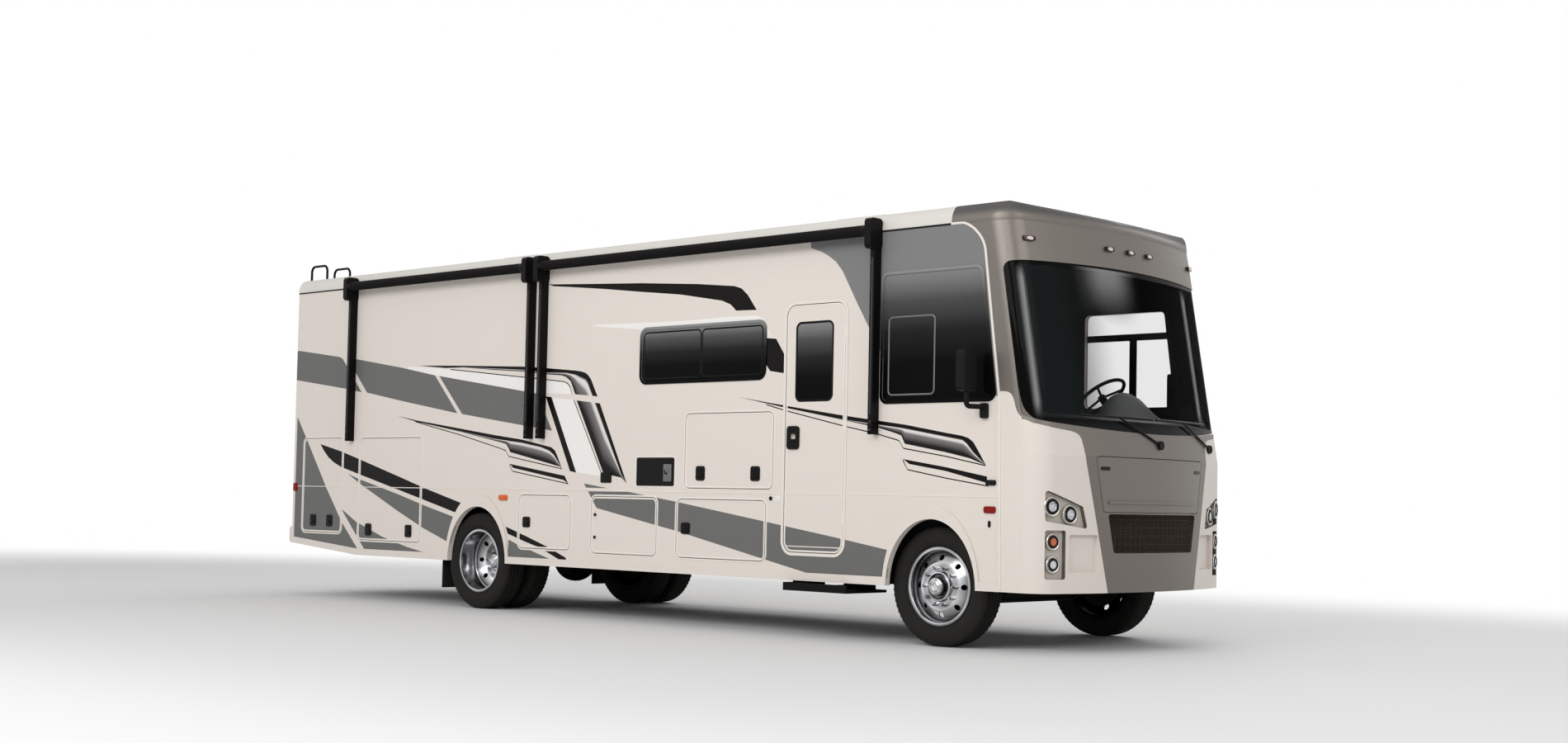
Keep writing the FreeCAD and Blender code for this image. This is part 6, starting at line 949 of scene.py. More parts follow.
# %% Builder
def rounded(a0, a1, b0, b1, corner, steps=6):
    """The outline of a rectangle with round corners, as pairs of numbers."""
    points = []
    for middle_a, middle_b, start in ((a1 - corner, b1 - corner, 0), (a0 + corner, b1 - corner, 1),
                                      (a0 + corner, b0 + corner, 2), (a1 - corner, b0 + corner, 3)):
        for i in range(steps + 1):
            angle = math.pi / 2 * (start + i / steps)
            points.append((middle_a + corner * math.cos(angle), middle_b + corner * math.sin(angle)))
    return points


def on_plane(axis, at, points):
    """Puts flat points on a plane that lies across the axis."""
    if axis == "x":
        return [(at, a, b) for a, b in points]
    if axis == "y":
        return [(a, at, b) for a, b in points]
    return [(a, b, at) for a, b in points]


class Builder:
    """Collects simple solids in one mesh and turns them into a piece."""

    def __init__(self):
        self.mesh = bmesh.new()

    def rows(self, rings, closed=False):
        """Joins rings of points in turn; the first and last are joined too, or else capped."""
        made = [[self.mesh.verts.new(point) for point in ring] for ring in rings]
        pairs = list(zip(made, made[1:]))
        if closed:
            pairs.append((made[-1], made[0]))
        else:
            self.mesh.faces.new(made[0])
            self.mesh.faces.new(made[-1])
        for first, second in pairs:
            for i in range(len(first)):
                j = (i + 1) % len(first)
                self.mesh.faces.new((first[i], first[j], second[j], second[i]))
        return self

    def pad(self, axis, back, front, sides, corner, edge=0.002):
        """A slab with rounded corners whose front rim is eased over by the edge."""
        a0, a1, b0, b1 = sides
        sign = math.copysign(1, front - back)
        rings = [on_plane(axis, back, rounded(a0, a1, b0, b1, corner))]
        for turn in (0, math.pi / 4, math.pi / 2):
            inward = edge * (1 - math.cos(turn))
            out = front - sign * edge * (1 - math.sin(turn))
            rings.append(on_plane(axis, out, rounded(a0 + inward, a1 - inward, b0 + inward, b1 - inward,
                                                     corner - inward)))
        return self.rows(rings)

    def rod(self, points, radius, sides=10):
        """A round bar through the points, cut square at its ends."""
        places = [Vector(point) for point in points]
        rings = []
        side = None
        for i, place in enumerate(places):
            along = (places[min(i + 1, len(places) - 1)] - places[max(i - 1, 0)]).normalized()
            if side is None:
                side = along.orthogonal().normalized()
            side = (side - along * side.dot(along)).normalized()
            up = along.cross(side)
            rings.append([place + radius * (side * math.cos(2 * math.pi * k / sides)
                                            + up * math.sin(2 * math.pi * k / sides)) for k in range(sides)])
        return self.rows(rings)

    def turned(self, profile, centre, out, steps=96):
        """A ring turned about a level axle: the profile holds radius and how far out along the axle."""
        x, y, z = centre
        rings = []
        for k in range(steps):
            angle = 2 * math.pi * k / steps
            rings.append([(x + r * math.cos(angle), y + out * offset, z + r * math.sin(angle))
                          for r, offset in profile])
        return self.rows(rings, closed=True)

    def piece(self, name, finish, body, slot, smooth=38):
        bmesh.ops.recalc_face_normals(self.mesh, faces=self.mesh.faces)
        data = bpy.data.meshes.new(name)
        self.mesh.to_mesh(data)
        self.mesh.free()
        return as_piece(name, data, finish, body, smooth)


def as_piece(name, data, finish, body, smooth=38):
    """Gives a mesh its finish, its smooth shading and the body it rides on."""
    data.name = name
    data.materials.clear()
    data.materials.append(finish.material)
    data.polygons.foreach_set("use_smooth", [True] * len(data.polygons))
    data.set_sharp_from_angle(angle=math.radians(smooth))
    made = bpy.data.objects.new(name, data)
    bpy.context.scene.collection.objects.link(made)
    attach(made, body)
    return made


print("builder forms", ("rows", "pad", "rod", "turned"))

# %% [markdown]
# ## Recipes for what repeats
# Lug nuts, tread lugs, rivets, wire links and door beads repeat one small shape along a path.
# Each is a Geometry Nodes tree with named sizes. It is run once for each set of sizes,
# its result is kept as one plain mesh, and the modifier goes.

# %% Recipe
class Recipe(Tree):
    """A Geometry Nodes tree with named inputs that gives plain meshes."""

    KINDS = {float: "NodeSocketFloat", int: "NodeSocketInt", tuple: "NodeSocketVector"}

    def __init__(self, name, **sizes):
        self.group = bpy.data.node_groups.new(name, "GeometryNodeTree")
        super().__init__(self.group)
        face = self.group.interface
        face.new_socket("Geometry", in_out="OUTPUT", socket_type="NodeSocketGeometry")
        self.keys = {}
        for label, value in sizes.items():
            socket = face.new_socket(label, in_out="INPUT", socket_type=self.KINDS[type(value)])
            socket.default_value = value
            self.keys[label] = socket.identifier
        socket = face.new_socket("finish", in_out="INPUT", socket_type="NodeSocketMaterial")
        self.keys["finish"] = socket.identifier
        entry = self.group.nodes.new("NodeGroupInput")
        self.sizes = {label: Wire(self, entry.outputs[label]) for label in self.keys}

    def vector(self, x=0, y=0, z=0):
        return self.add("ShaderNodeCombineXYZ", values={0: x, 1: y, 2: z})

    def move(self, geometry, translation=(0, 0, 0), rotation=(0, 0, 0), scale=(1, 1, 1)):
        return self.add("GeometryNodeTransform", values={
            "Geometry": geometry, "Translation": translation, "Rotation": rotation, "Scale": scale})

    def join_all(self, *parts):
        joined = self.group.nodes.new("GeometryNodeJoinGeometry")
        for part in parts:
            self.group.links.new(part.socket, joined.inputs[0])
        return Wire(self, joined.outputs[0])

    def close(self, geometry):
        """Ends the tree: instances become real geometry, and the finish is set."""
        real = self.add("GeometryNodeRealizeInstances", values={"Geometry": geometry})
        done = self.add("GeometryNodeSetMaterial", values={
            "Geometry": real, "Material": self.sizes["finish"]})
        last = self.group.nodes.new("NodeGroupOutput")
        self.group.links.new(done.socket, last.inputs[0])
        return self

    def run(self, name, finish, body, slot, smooth=38, **sizes):
        """Evaluates the tree for one set of sizes and keeps the result as a piece."""
        seed = bpy.data.objects.new(name + "_seed", bpy.data.meshes.new(name + "_seed"))
        bpy.context.scene.collection.objects.link(seed)
        modifier = seed.modifiers.new("recipe", "NODES")
        modifier.node_group = self.group
        modifier[self.keys["finish"]] = finish.material
        for label, value in sizes.items():
            modifier[self.keys[label]] = value
        graph = bpy.context.evaluated_depsgraph_get()
        data = bpy.data.meshes.new_from_object(seed.evaluated_get(graph), depsgraph=graph)
        bpy.data.objects.remove(seed)
        return as_piece(name, data, finish, body, smooth)


RIGHT_WALL = -WALL_Y
print("recipes take", list(Recipe.KINDS.values()))

# %% [markdown]
# ## Beads round the doors
# Every door and its opening are edged with a light moulding. On the real side it is an extruded
# aluminium frame, rolled to the door's outline, and the stripes stop at it.
# One recipe rounds a rectangle, runs a low half-round section along it and stands it on the wall.
# A luggage door carries an inner bead, and the coach carries an outer one around the gap.
# The entry door has only the inner bead, and the locker lid only the outer one.

# %% Door beads
bead = Recipe("door_bead", width=1.0, tall=1.0, corner=0.05, wide=0.006, proud=0.004, centre=(0.0, 0.0, 0.0))
sizes = bead.sizes
outline = bead.add("GeometryNodeCurvePrimitiveQuadrilateral", values={
    "Width": sizes["width"], "Height": sizes["tall"]})
outline = bead.add("GeometryNodeFilletCurve", {"mode": "POLY"}, {"Curve": outline, "Radius": sizes["corner"]})
outline.socket.node.inputs["Count"].default_value = 8
section = bead.add("GeometryNodeCurvePrimitiveCircle", {"mode": "RADIUS"}, {"Resolution": 10, "Radius": 1.0})
section = bead.move(section, scale=bead.vector(sizes["wide"], sizes["proud"], 1))
band = bead.add("GeometryNodeCurveToMesh", values={"Curve": outline, "Profile Curve": section})
bead.close(bead.move(band, sizes["centre"], rotation=(math.pi / 2, 0, 0)))

LUGGAGE_CORNER = 0.052
DOOR_CORNERS = {"entry_door": 0.088, "locker_lid": 0.014}
RIGHT_DOORS = ("luggage_door_rear", "luggage_door_tall", "luggage_door_aft", "luggage_door_mid",
               "luggage_door_fore", "screen_door", "entry_door", "locker_lid")
LEFT_DOORS = ("luggage_door_left_aft", "luggage_door_left_fore")
BEAD_WIDE = 0.0075
BEAD_PROUD = 0.0035
PANEL_GAP = 0.006


def door_bead(name, node, grow, body, centre_y):
    low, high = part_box(node)
    corner = DOOR_CORNERS.get(node, LUGGAGE_CORNER) + grow
    return bead.run(name, trim_bead, body, "body_paint", width=high.x - low.x + 2 * grow,
                    tall=high.z - low.z + 2 * grow, corner=corner, wide=BEAD_WIDE, proud=BEAD_PROUD,
                    centre=((low.x + high.x) / 2, centre_y, (low.z + high.z) / 2))


for node in RIGHT_DOORS + LEFT_DOORS:
    wall_y = RIGHT_WALL if node in RIGHT_DOORS else WALL_Y
    if node != "locker_lid":
        door_bead("bead_on_" + node, node, -BEAD_WIDE, node + "_body", wall_y)
    if node != "entry_door":
        door_bead("bead_round_" + node, node, PANEL_GAP + BEAD_WIDE, "coach", wall_y)
print("beads round", len(RIGHT_DOORS + LEFT_DOORS), "doors")


# %% [markdown]
# ## Slider frames in the windows
# The cab and living windows each have a pane that slides in a thin frame.
# The same bead recipe makes the frames, narrower and grey, lying on the glass.

# %% Window sliders
GLASS_FACE = RIGHT_WALL + 0.002


def slider(name, rear, front, sill, top, corner, finish):
    return bead.run(name, finish, "coach", "black_trim", width=front - rear, tall=top - sill, corner=corner,
                    wide=0.007, proud=0.0025, centre=((rear + front) / 2, GLASS_FACE, (sill + top) / 2))


slider("cab_slider", 3.33, 3.78, 1.91, 2.51, 0.035, grey_trim)
slider("living_slider_rear", 0.555, 1.258, 2.115, 2.517, 0.04, black_coat)
slider("living_slider_front", 1.276, 1.982, 2.115, 2.517, 0.04, black_coat)
pane_low, pane_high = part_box("entry_door_glass")
bead.run("entry_pane_frame", black_coat, "entry_door_body", "black_trim", width=pane_high.x - pane_low.x,
         tall=pane_high.z - pane_low.z, corner=0.048, wide=0.009, proud=0.004,
         centre=((pane_low.x + pane_high.x) / 2, RIGHT_WALL, (pane_low.z + pane_high.z) / 2))
print("slider frames stand at y", round(GLASS_FACE, 4))

# %% [markdown]
# ## Mouldings along the body
# A light round bead covers the joint where each side wall meets the cap.
# A dark drip rail runs under the roof edge, and a faint bead marks the belt between the doors.

# %% Mouldings
EDGE = ((4.425, 0.447), (4.395, 1.88), (4.25, 2.98), (4.236, 3.02), (4.212, 3.064), (4.178, 3.104),
        (4.13, 3.146), (4.06, 3.182), (4.0, 3.188), (3.93, 3.188))
BEAD_RADIUS = 0.0105
BELT = 1.137


def smoothed(points, steps=5):
    """A soft curve through the points, found from four neighbours at a time."""
    places = [Vector(point) for point in points]
    path = []
    for i in range(len(places) - 1):
        before, start, end, after = (places[min(max(i + k, 0), len(places) - 1)] for k in (-1, 0, 1, 2))
        for k in range(steps):
            t = k / steps
            path.append(0.5 * (2 * start + (end - before) * t
                               + (2 * before - 5 * start + 4 * end - after) * t ** 2
                               + (3 * start - before - 3 * end + after) * t ** 3))
    return path + [places[-1]]


edge_beads = Builder()
for side in (-1, 1):
    path = [Vector(point) for point in EDGE[:2]] + smoothed(EDGE[2:])
    edge_beads.rod([(x, side * (WALL_Y + 0.001), z) for x, z in path], BEAD_RADIUS, 12)
edge_beads.piece("wall_edge_beads", trim_bead, "coach", "body_paint")

roof_low, roof_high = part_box("roof")
drip = Builder()
for side in (-1, 1):
    wall = side * WALL_Y
    drip.pad("y", wall - side * 0.004, wall + side * 0.0045,
             (roof_low.x + 0.001, roof_high.x - 0.002, 3.181, 3.195), 0.004, 0.002)
drip.piece("drip_rails", black_coat, "coach", "black_trim")

belt = Builder()
for doors, side in ((RIGHT_DOORS, -1), (LEFT_DOORS, 1)):
    crossed = sorted((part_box(node)[0].x - 0.035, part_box(node)[1].x + 0.035) for node in doors
                     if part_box(node)[0].z < BELT + 0.02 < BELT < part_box(node)[1].z)
    start = roof_low.x + 0.01
    for rear, front in crossed + [(4.40, 4.5)]:
        belt.rod([(start, side * WALL_Y, BELT), (rear, side * WALL_Y, BELT)], 0.0042, 8)
        start = front
belt.piece("belt_beads", trim_bead, "coach", "body_paint")
print("wall edge points", len(EDGE))

# %% [markdown]
# ## Crown of the cap
# Over the brow the cap turns back in a soft roll and runs up the bow of the roof.
# Two skins make it: the roll is drawn at many places along the edge of the flat top, from the side, round
# the corner and across the front, and the bow is a row of arcs from side to side.

# %% Crown
CROWN_REAR = 3.9315
CROWN_EDGE = 4.4095
CROWN_HALF = 1.2075
CROWN_CORNER = 0.016
BROW_FOOT = 3.19
BROW_NOSE = 4.6485
CROWN_TOP = 3.3312
NEARLY_STRAIGHT = 400
BOW_SLOPE = 0.1067
BOW_TAIL = 0.13
BOW_POWER = 1.3


def half_plan(front, half, corner, bow):
    """Half the outline of the cap seen from above: back along the side, round the corner, to the middle."""
    turn_y = half - corner
    middle = front - bow
    turn_x = middle + math.sqrt((bow - corner) ** 2 - turn_y ** 2)
    tip = math.asin(turn_y / (bow - corner))
    points = [(CROWN_REAR + (turn_x - CROWN_REAR) * k / 8, half) for k in range(8)]
    for k in range(12):
        angle = math.pi / 2 - (math.pi / 2 - tip) * k / 12
        points.append((turn_x + corner * math.cos(angle), turn_y + corner * math.sin(angle)))
    for k in range(17):
        angle = tip * (1 - k / 16)
        points.append((middle + bow * math.cos(angle), bow * math.sin(angle)))
    return points


inner_half = half_plan(CROWN_EDGE, CROWN_HALF, CROWN_CORNER, NEARLY_STRAIGHT)
outer_half = half_plan(BROW_NOSE, WALL_Y + 0.0012, CAP_CORNER, CAP_RADIUS)
stations = [(a, b, 1) for a, b in zip(inner_half, outer_half)]
stations += [(a, b, -1) for a, b, side in reversed(stations[:-1])]
crown = Builder()
rings = []
for (ix, iy), (ox, oy), side in stations:
    ring = []
    for k in range(11):
        angle = math.pi / 2 * k / 10
        share = math.sin(angle)
        ring.append((ix + (ox - ix) * share, side * (iy + (oy - iy) * share),
                     BROW_FOOT + (CROWN_TOP - BROW_FOOT) * math.cos(angle)))
    ring.append((ix + (ox - ix) * 0.97, side * (iy + (oy - iy) * 0.97), BROW_FOOT - 0.014))
    ring.append((ix + (ox - ix) * 0.1, side * (iy + (oy - iy) * 0.1), BROW_FOOT + 0.06))
    rings.append(ring)
crown.rows(rings)


def crown_bow(x):
    """How high the bow stands in the middle, easing out at the front edge."""
    left = CROWN_EDGE - x
    start = BOW_SLOPE * BOW_TAIL / BOW_POWER
    if left < BOW_TAIL:
        return start * max(left / BOW_TAIL, 0) ** BOW_POWER
    return start + BOW_SLOPE * (left - BOW_TAIL)


rings = []
for k in range(19):
    x = CROWN_REAR + (CROWN_EDGE - CROWN_REAR) * k / 18
    shares = [j / 16 - 1 for j in range(33)]
    ring = [(x, CROWN_HALF * share, CROWN_TOP + crown_bow(x) * (1 - share ** 2)) for share in shares]
    rings.append(ring + [(x, side * CROWN_HALF * 0.98, CROWN_TOP - 0.012) for side in (1, -1)])
crown.rows(rings)
crown.piece("cap_crown_skin", crown_paint, "coach", "body_paint", 30)
print("crown stands", round(crown_bow(CROWN_REAR), 3), "m over its edge")

# %% [markdown]
# ## Tyres
# A truck tyre has a bead that seats on the rim, a bulged sidewall with raised rings,
# and a tread of ribs with grooves between. The CAD tyre is a plain faceted ring,
# so a turned ring with all of those lines takes its place, at the same radius and width.
# Small lugs repeat round both shoulders, which a recipe places on a circle facing outwards.

# %% Tyres
TYRE_RADIUS = 0.455
TYRE_HALF = 0.118
BEAD_SEAT = 0.2903
RIM_FLANGE = 0.3006
FLANGE_OUT = 0.0855
WHEELS = {
    "wheel_body_front_right": [("tyre_front_right", FRONT_AXLE[0], -1.068)],
    "wheel_body_front_left": [("tyre_front_left", FRONT_AXLE[0], 1.068)],
    "wheel_body_rear_right": [("tyres_rear_right", REAR_AXLE[0], -1.118),
                              ("tyres_rear_right", REAR_AXLE[0], -0.808)],
    "wheel_body_rear_left": [("tyres_rear_left", REAR_AXLE[0], 1.118),
                             ("tyres_rear_left", REAR_AXLE[0], 0.808)],
}
SIDEWALL = [(BEAD_SEAT, 0.0), (BEAD_SEAT, FLANGE_OUT), (RIM_FLANGE, FLANGE_OUT), (0.309, 0.094),
            (0.316, 0.1015), (0.3185, 0.1045), (0.3225, 0.104), (0.336, 0.1115), (0.352, 0.1165),
            (0.368, TYRE_HALF), (0.384, 0.1178), (0.3865, 0.1162), (0.39, 0.1172), (0.405, 0.1155),
            (0.42, 0.111), (0.4225, 0.1083), (0.4265, 0.1082), (0.436, 0.103), (0.445, 0.0955),
            (0.4505, 0.0885), (0.4535, 0.0795)]
GROOVES = (0.0595, 0.0205)
GROOVE_DEEP = 0.011


def tread_half():
    """From the shoulder to the middle: ribs with two square grooves."""
    points = []
    for middle in GROOVES:
        points += [(TYRE_RADIUS - 0.0003, middle + 0.0065), (TYRE_RADIUS - GROOVE_DEEP, middle + 0.0045),
                   (TYRE_RADIUS - GROOVE_DEEP, middle - 0.0045), (TYRE_RADIUS, middle - 0.0065)]
    return points


def tyre_profile():
    half = SIDEWALL + tread_half()
    return half + [(r, -offset) for r, offset in reversed(half[1:])]


lug = Recipe("shoulder_lugs", count=60, ring=0.4, centre=(0.0, 0.0, 0.0), block=(0.01, 0.01, 0.01))
sizes = lug.sizes
ring = lug.add("GeometryNodeMeshCircle", values={"Vertices": sizes["count"], "Radius": sizes["ring"]})
ring = lug.move(ring, rotation=(math.pi / 2, 0, 0))
facing = lug.add("FunctionNodeAlignRotationToVector", {"axis": "Z"}, {
    "Vector": lug.add("GeometryNodeInputPosition")})
block = lug.add("GeometryNodeMeshCube", values={"Size": sizes["block"]})
lugs = lug.add("GeometryNodeInstanceOnPoints", values={"Points": ring, "Instance": block, "Rotation": facing})
lug.close(lug.move(lugs, sizes["centre"]))

LUG_COUNT = 64
LUG_RING = 0.4465
LUG_BLOCK = (0.013, 0.012, 0.006)
LUG_OUT = 0.0905
for body, tyres in WHEELS.items():
    shape = Builder()
    for node, x, y in tyres:
        shape.turned(tyre_profile(), (x, y, TYRE_RADIUS), 1, 120)
    made = shape.piece("rubber_of_" + body, rubber, body, "tyre", 30)
    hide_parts(tyres[0][0])
    for index, (node, x, y) in enumerate(tyres):
        for side in (-1, 1):
            where = "in" if side * y < 0 else "out"
            lug.run("lugs_{}_{}_{}".format(body, index, where), rubber, body, "tyre", count=LUG_COUNT,
                    ring=LUG_RING, centre=(x, y + side * LUG_OUT, TYRE_RADIUS), block=LUG_BLOCK)
print("tyre profile points", len(tyre_profile()))

# %% [markdown]
# ## Wheel nuts and rings
# Ten nuts under bright covers hold each wheel, and turned rings edge the hub cap and the rim.
# The nuts are one recipe: a stepped cone on each point of a circle.

# %% Wheel nuts
NUT_COUNT = 10
nut = Recipe("wheel_nuts", count=NUT_COUNT, ring=0.142, long=0.046, centre=(0.0, 0.0, 0.0), out=1.0)
sizes = nut.sizes
ring = nut.add("GeometryNodeMeshCircle", values={"Vertices": sizes["count"], "Radius": sizes["ring"]})
hexagon = nut.add("GeometryNodeMeshCylinder", {"fill_type": "NGON"}, {
    "Vertices": 6, "Radius": 0.0185, "Depth": sizes["long"] * 0.55})
cover = nut.add("GeometryNodeMeshCone", {"fill_type": "NGON"}, {
    "Vertices": 16, "Radius Top": 0.0095, "Radius Bottom": 0.0158, "Depth": sizes["long"] * 0.5})
cover = nut.move(cover, translation=nut.vector(0, 0, sizes["long"] * 0.25))
nuts = nut.add("GeometryNodeInstanceOnPoints", values={
    "Points": ring, "Instance": nut.join_all(hexagon, cover)})
laid = nut.move(nuts, rotation=nut.vector(sizes["out"] * (-math.pi / 2), 0, 0))
nut.close(nut.move(laid, sizes["centre"]))

FRONT_FACE = 0.084
REAR_FACE = 0.014
CAP_LONG = 0.07


def hub_rings(shape, centre, out, face):
    """A ring round the foot of the hub cap, a flange outside it, and a ring on its end."""
    shape.turned([(0.07, face + 0.002), (0.07, face + 0.011), (0.084, face + 0.012), (0.092, face + 0.007),
                  (0.094, face + 0.001)], centre, out, 72)
    shape.turned([(0.095, face + 0.001), (0.095, face + 0.02), (0.1, face + 0.025), (0.11, face + 0.023),
                  (0.117, face + 0.012), (0.119, face + 0.001)], centre, out, 72)
    end = face + CAP_LONG
    shape.turned([(0.02, end - 0.002), (0.02, end + 0.005), (0.034, end + 0.006), (0.044, end + 0.001),
                  (0.044, end - 0.004)], centre, out, 48)


for body, tyres in WHEELS.items():
    node, x, y = tyres[0]
    out = math.copysign(1, y)
    front = x > 0
    middle = y if front else out * 0.963
    face = FRONT_FACE if front else REAR_FACE
    nut.run("nuts_of_" + body, chrome, body, "wheel_chrome", 30,
            centre=(x, middle + out * (face + 0.008), TYRE_RADIUS), out=out)
    rings = Builder()
    hub_rings(rings, (x, middle, TYRE_RADIUS), out, face)
    lip = 0.0985
    rings.turned([(0.276, lip - 0.006), (0.278, lip), (0.288, lip + 0.002), (0.298, lip - 0.001),
                  (0.2995, lip - 0.006)], (x, y, TYRE_RADIUS), out, 96)
    rings.piece("rings_of_" + body, chrome, body, "wheel_chrome", 30)
print("nuts on each wheel", NUT_COUNT)

# %% [markdown]
# ## Woven grille
# Behind the lower opening of the cap is a woven wire mesh. A recipe lays a small wire link on each
# point of a grid, drops those outside the opening's leaning sides, and bows the whole sheet to the cap.

# %% Grille mesh
GRILLE_LOW, GRILLE_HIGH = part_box("grille")
GRILLE_LEAN = (0.612 - 0.545) / (1.028 - 0.738)

LINKS_ACROSS = 46
LINKS_UP = 18
weave = Recipe("grille_weave", across=LINKS_ACROSS, up=LINKS_UP, pitch=0.0255, rise=0.0155, wire=0.0024,
               front=4.92, middle=0.883, half=0.578)
sizes = weave.sizes
grid = weave.add("GeometryNodeMeshGrid", values={
    "Size X": sizes["pitch"] * sizes["across"], "Size Y": sizes["rise"] * sizes["up"],
    "Vertices X": sizes["across"] + 1, "Vertices Y": sizes["up"] + 1})
place = weave.add("GeometryNodeInputPosition")
split = weave.add("ShaderNodeSeparateXYZ", values={0: place}).socket.node
side, up = Wire(weave, split.outputs[0]), Wire(weave, split.outputs[1])
row = weave.maths("ROUND", up / sizes["rise"] + sizes["up"] * 0.5)
shift = (weave.maths("MODULO", row, 2) - 0.5) * sizes["pitch"] * 0.5
staggered = weave.add("GeometryNodeSetPosition", values={"Geometry": grid, "Offset": weave.vector(shift)})
link = weave.add("GeometryNodeCurvePrimitiveCircle", {"mode": "RADIUS"}, {"Resolution": 6, "Radius": 1.0})
link = weave.move(link, scale=weave.vector(sizes["pitch"] * 0.5, sizes["rise"] * 0.62, 1))
wire = weave.add("GeometryNodeCurvePrimitiveCircle", {"mode": "RADIUS"}, {
    "Resolution": 4, "Radius": sizes["wire"]})
link = weave.add("GeometryNodeCurveToMesh", values={"Curve": link, "Profile Curve": wire})
inside = abs(side) < sizes["half"] + up * GRILLE_LEAN
links = weave.add("GeometryNodeInstanceOnPoints", values={
    "Points": staggered, "Selection": inside, "Instance": link})
stood = weave.move(links, rotation=(math.pi / 2, 0, math.pi / 2))
real = weave.add("GeometryNodeRealizeInstances", values={"Geometry": stood})
place = weave.add("GeometryNodeInputPosition")
level = Wire(weave, weave.add("ShaderNodeSeparateXYZ", values={0: place}).socket.node.outputs[1])
bow = weave.maths("SQRT", CAP_RADIUS ** 2 - level ** 2) - CAP_RADIUS
bowed = weave.add("GeometryNodeSetPosition", values={
    "Geometry": real, "Offset": weave.vector(bow + sizes["front"], 0, sizes["middle"])})
weave.close(bowed)
weave.run("grille_mesh", bronze_wire, "coach", "grille_metal", front=GRILLE_HIGH.x + 0.006,
          middle=(GRILLE_LOW.z + GRILLE_HIGH.z) / 2, half=0.562)
print("grille links", (LINKS_ACROSS + 1) * (LINKS_UP + 1), "before the sides are trimmed")

# %% [markdown]
# ## Lamp bowls
# Each front lamp sits in a bright bowl that flares out towards the nose side, with a dark seal at its rim.
# The bowls are turned rings, tilted to lie along the cap where the lamp stands.

# %% Lamp bowls
LAMPS = ((1.150, 1.075, 0.052), (0.985, 1.020, 0.052), (1.140, 0.820, 0.042), (1.140, 0.655, 0.042))


def cap_surface(y):
    """How far forward the lower part of the cap reaches at a place across it."""
    middle = CAP_NOSE - CAP_RADIUS
    if abs(y) < TIP_Y:
        return middle + math.sqrt(CAP_RADIUS ** 2 - y ** 2)
    return middle + CORNER_BACK + math.sqrt(max(CAP_CORNER ** 2 - (abs(y) - CORNER_Y) ** 2, 0))


def tilted_ring(shape, profile, y, z, steps=40):
    """A ring about a line square to the cap: the profile holds radius and depth behind the surface."""
    reach = 0.02
    lean = (cap_surface(y + reach) - cap_surface(y - reach)) / (2 * reach)
    out = Vector((1, -lean, 0)).normalized()
    across = Vector((0, 0, 1)).cross(out)
    rings = []
    for k in range(steps):
        angle = 2 * math.pi * k / steps
        spoke = across * math.cos(angle) + Vector((0, 0, 1)) * math.sin(angle)
        rings.append([Vector((cap_surface(y), y, z)) + spoke * r - out * depth for r, depth in profile])
    shape.rows(rings, closed=True)


bowls, seals = Builder(), Builder()
for y, z, r in LAMPS:
    for side in (-1, 1):
        tilted_ring(bowls, [(r + 0.001, 0.03), (r + 0.001, 0.012), (r + 0.006, 0.006), (r + 0.014, 0.004),
                            (r + 0.02, 0.009), (r + 0.02, 0.032)], side * y, z)
        tilted_ring(seals, [(r * 0.72, 0.0034), (r * 0.72, 0.0005), (r + 0.001, 0.0005), (r + 0.003, 0.006),
                            (r, 0.012), (r * 0.76, 0.004)], side * y, z)
bowls.piece("lamp_bowls", silver_bowl, "coach", "lamp_plastic")
seals.piece("lamp_seals", black_plastic, "coach", "lamp_plastic")
print("front lamps", len(LAMPS) * 2)

# %% [markdown]
# ## Latches
# Each luggage door closes with a black paddle latch: a rounded plate with a dished paddle and a key barrel.
# The CAD has the plate, and the paddle, its lip and the barrel are added on it.

# %% Latch paddles
def latch_centres(node):
    low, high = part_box(node)
    inset = {"luggage_door_rear": 0.205, "luggage_door_tall": 0.184, "screen_door": 0.19}.get(node)
    height = {"luggage_door_rear": 0.784, "luggage_door_tall": 0.709, "screen_door": 1.298,
              "luggage_door_aft": 0.838, "luggage_door_fore": 0.831}.get(node, (low.z + high.z) / 2)
    places = [low.x + 0.114] if inset is None else [low.x + inset, high.x - inset]
    return [(x, height) for x in places]


LATCH_FACE = 0.009
# Each pad of a latch: how far it stands out, its four sides from the latch's centre, its corner and its rim.
PADDLE_PADS = ((0.004, (-0.036, 0.036, -0.036, 0.012), 0.012, 0.003),
               (0.0065, (-0.03, 0.03, -0.034, -0.022), 0.005, 0.003),
               (0.005, (-0.011, 0.011, 0.019, 0.041), 0.0109, 0.002))
for node in RIGHT_DOORS[:6] + LEFT_DOORS:
    if node == "luggage_door_mid":
        continue
    side = 1 if node in LEFT_DOORS else -1
    wall = side * (WALL_Y + LATCH_FACE)
    paddles = Builder()
    for x, z in latch_centres(node):
        for proud, (rear, front, sill, top), corner, rim in PADDLE_PADS:
            paddles.pad("y", wall - side * 0.001, wall + side * proud,
                        (x + rear, x + front, z + sill, z + top), corner, rim)
    paddles.piece("paddles_on_" + node, black_coat, node + "_body", "black_trim")
print("latch face stands out", LATCH_FACE, "m")

# %% [markdown]
# ## Entry door fittings
# The black handle plate has a pull bar across its pocket and a key barrel above it.
# A low kick line crosses the door near its foot. Three hinge barrels show along its front edge,
# centred on the door's own axis, so they turn in place with it.

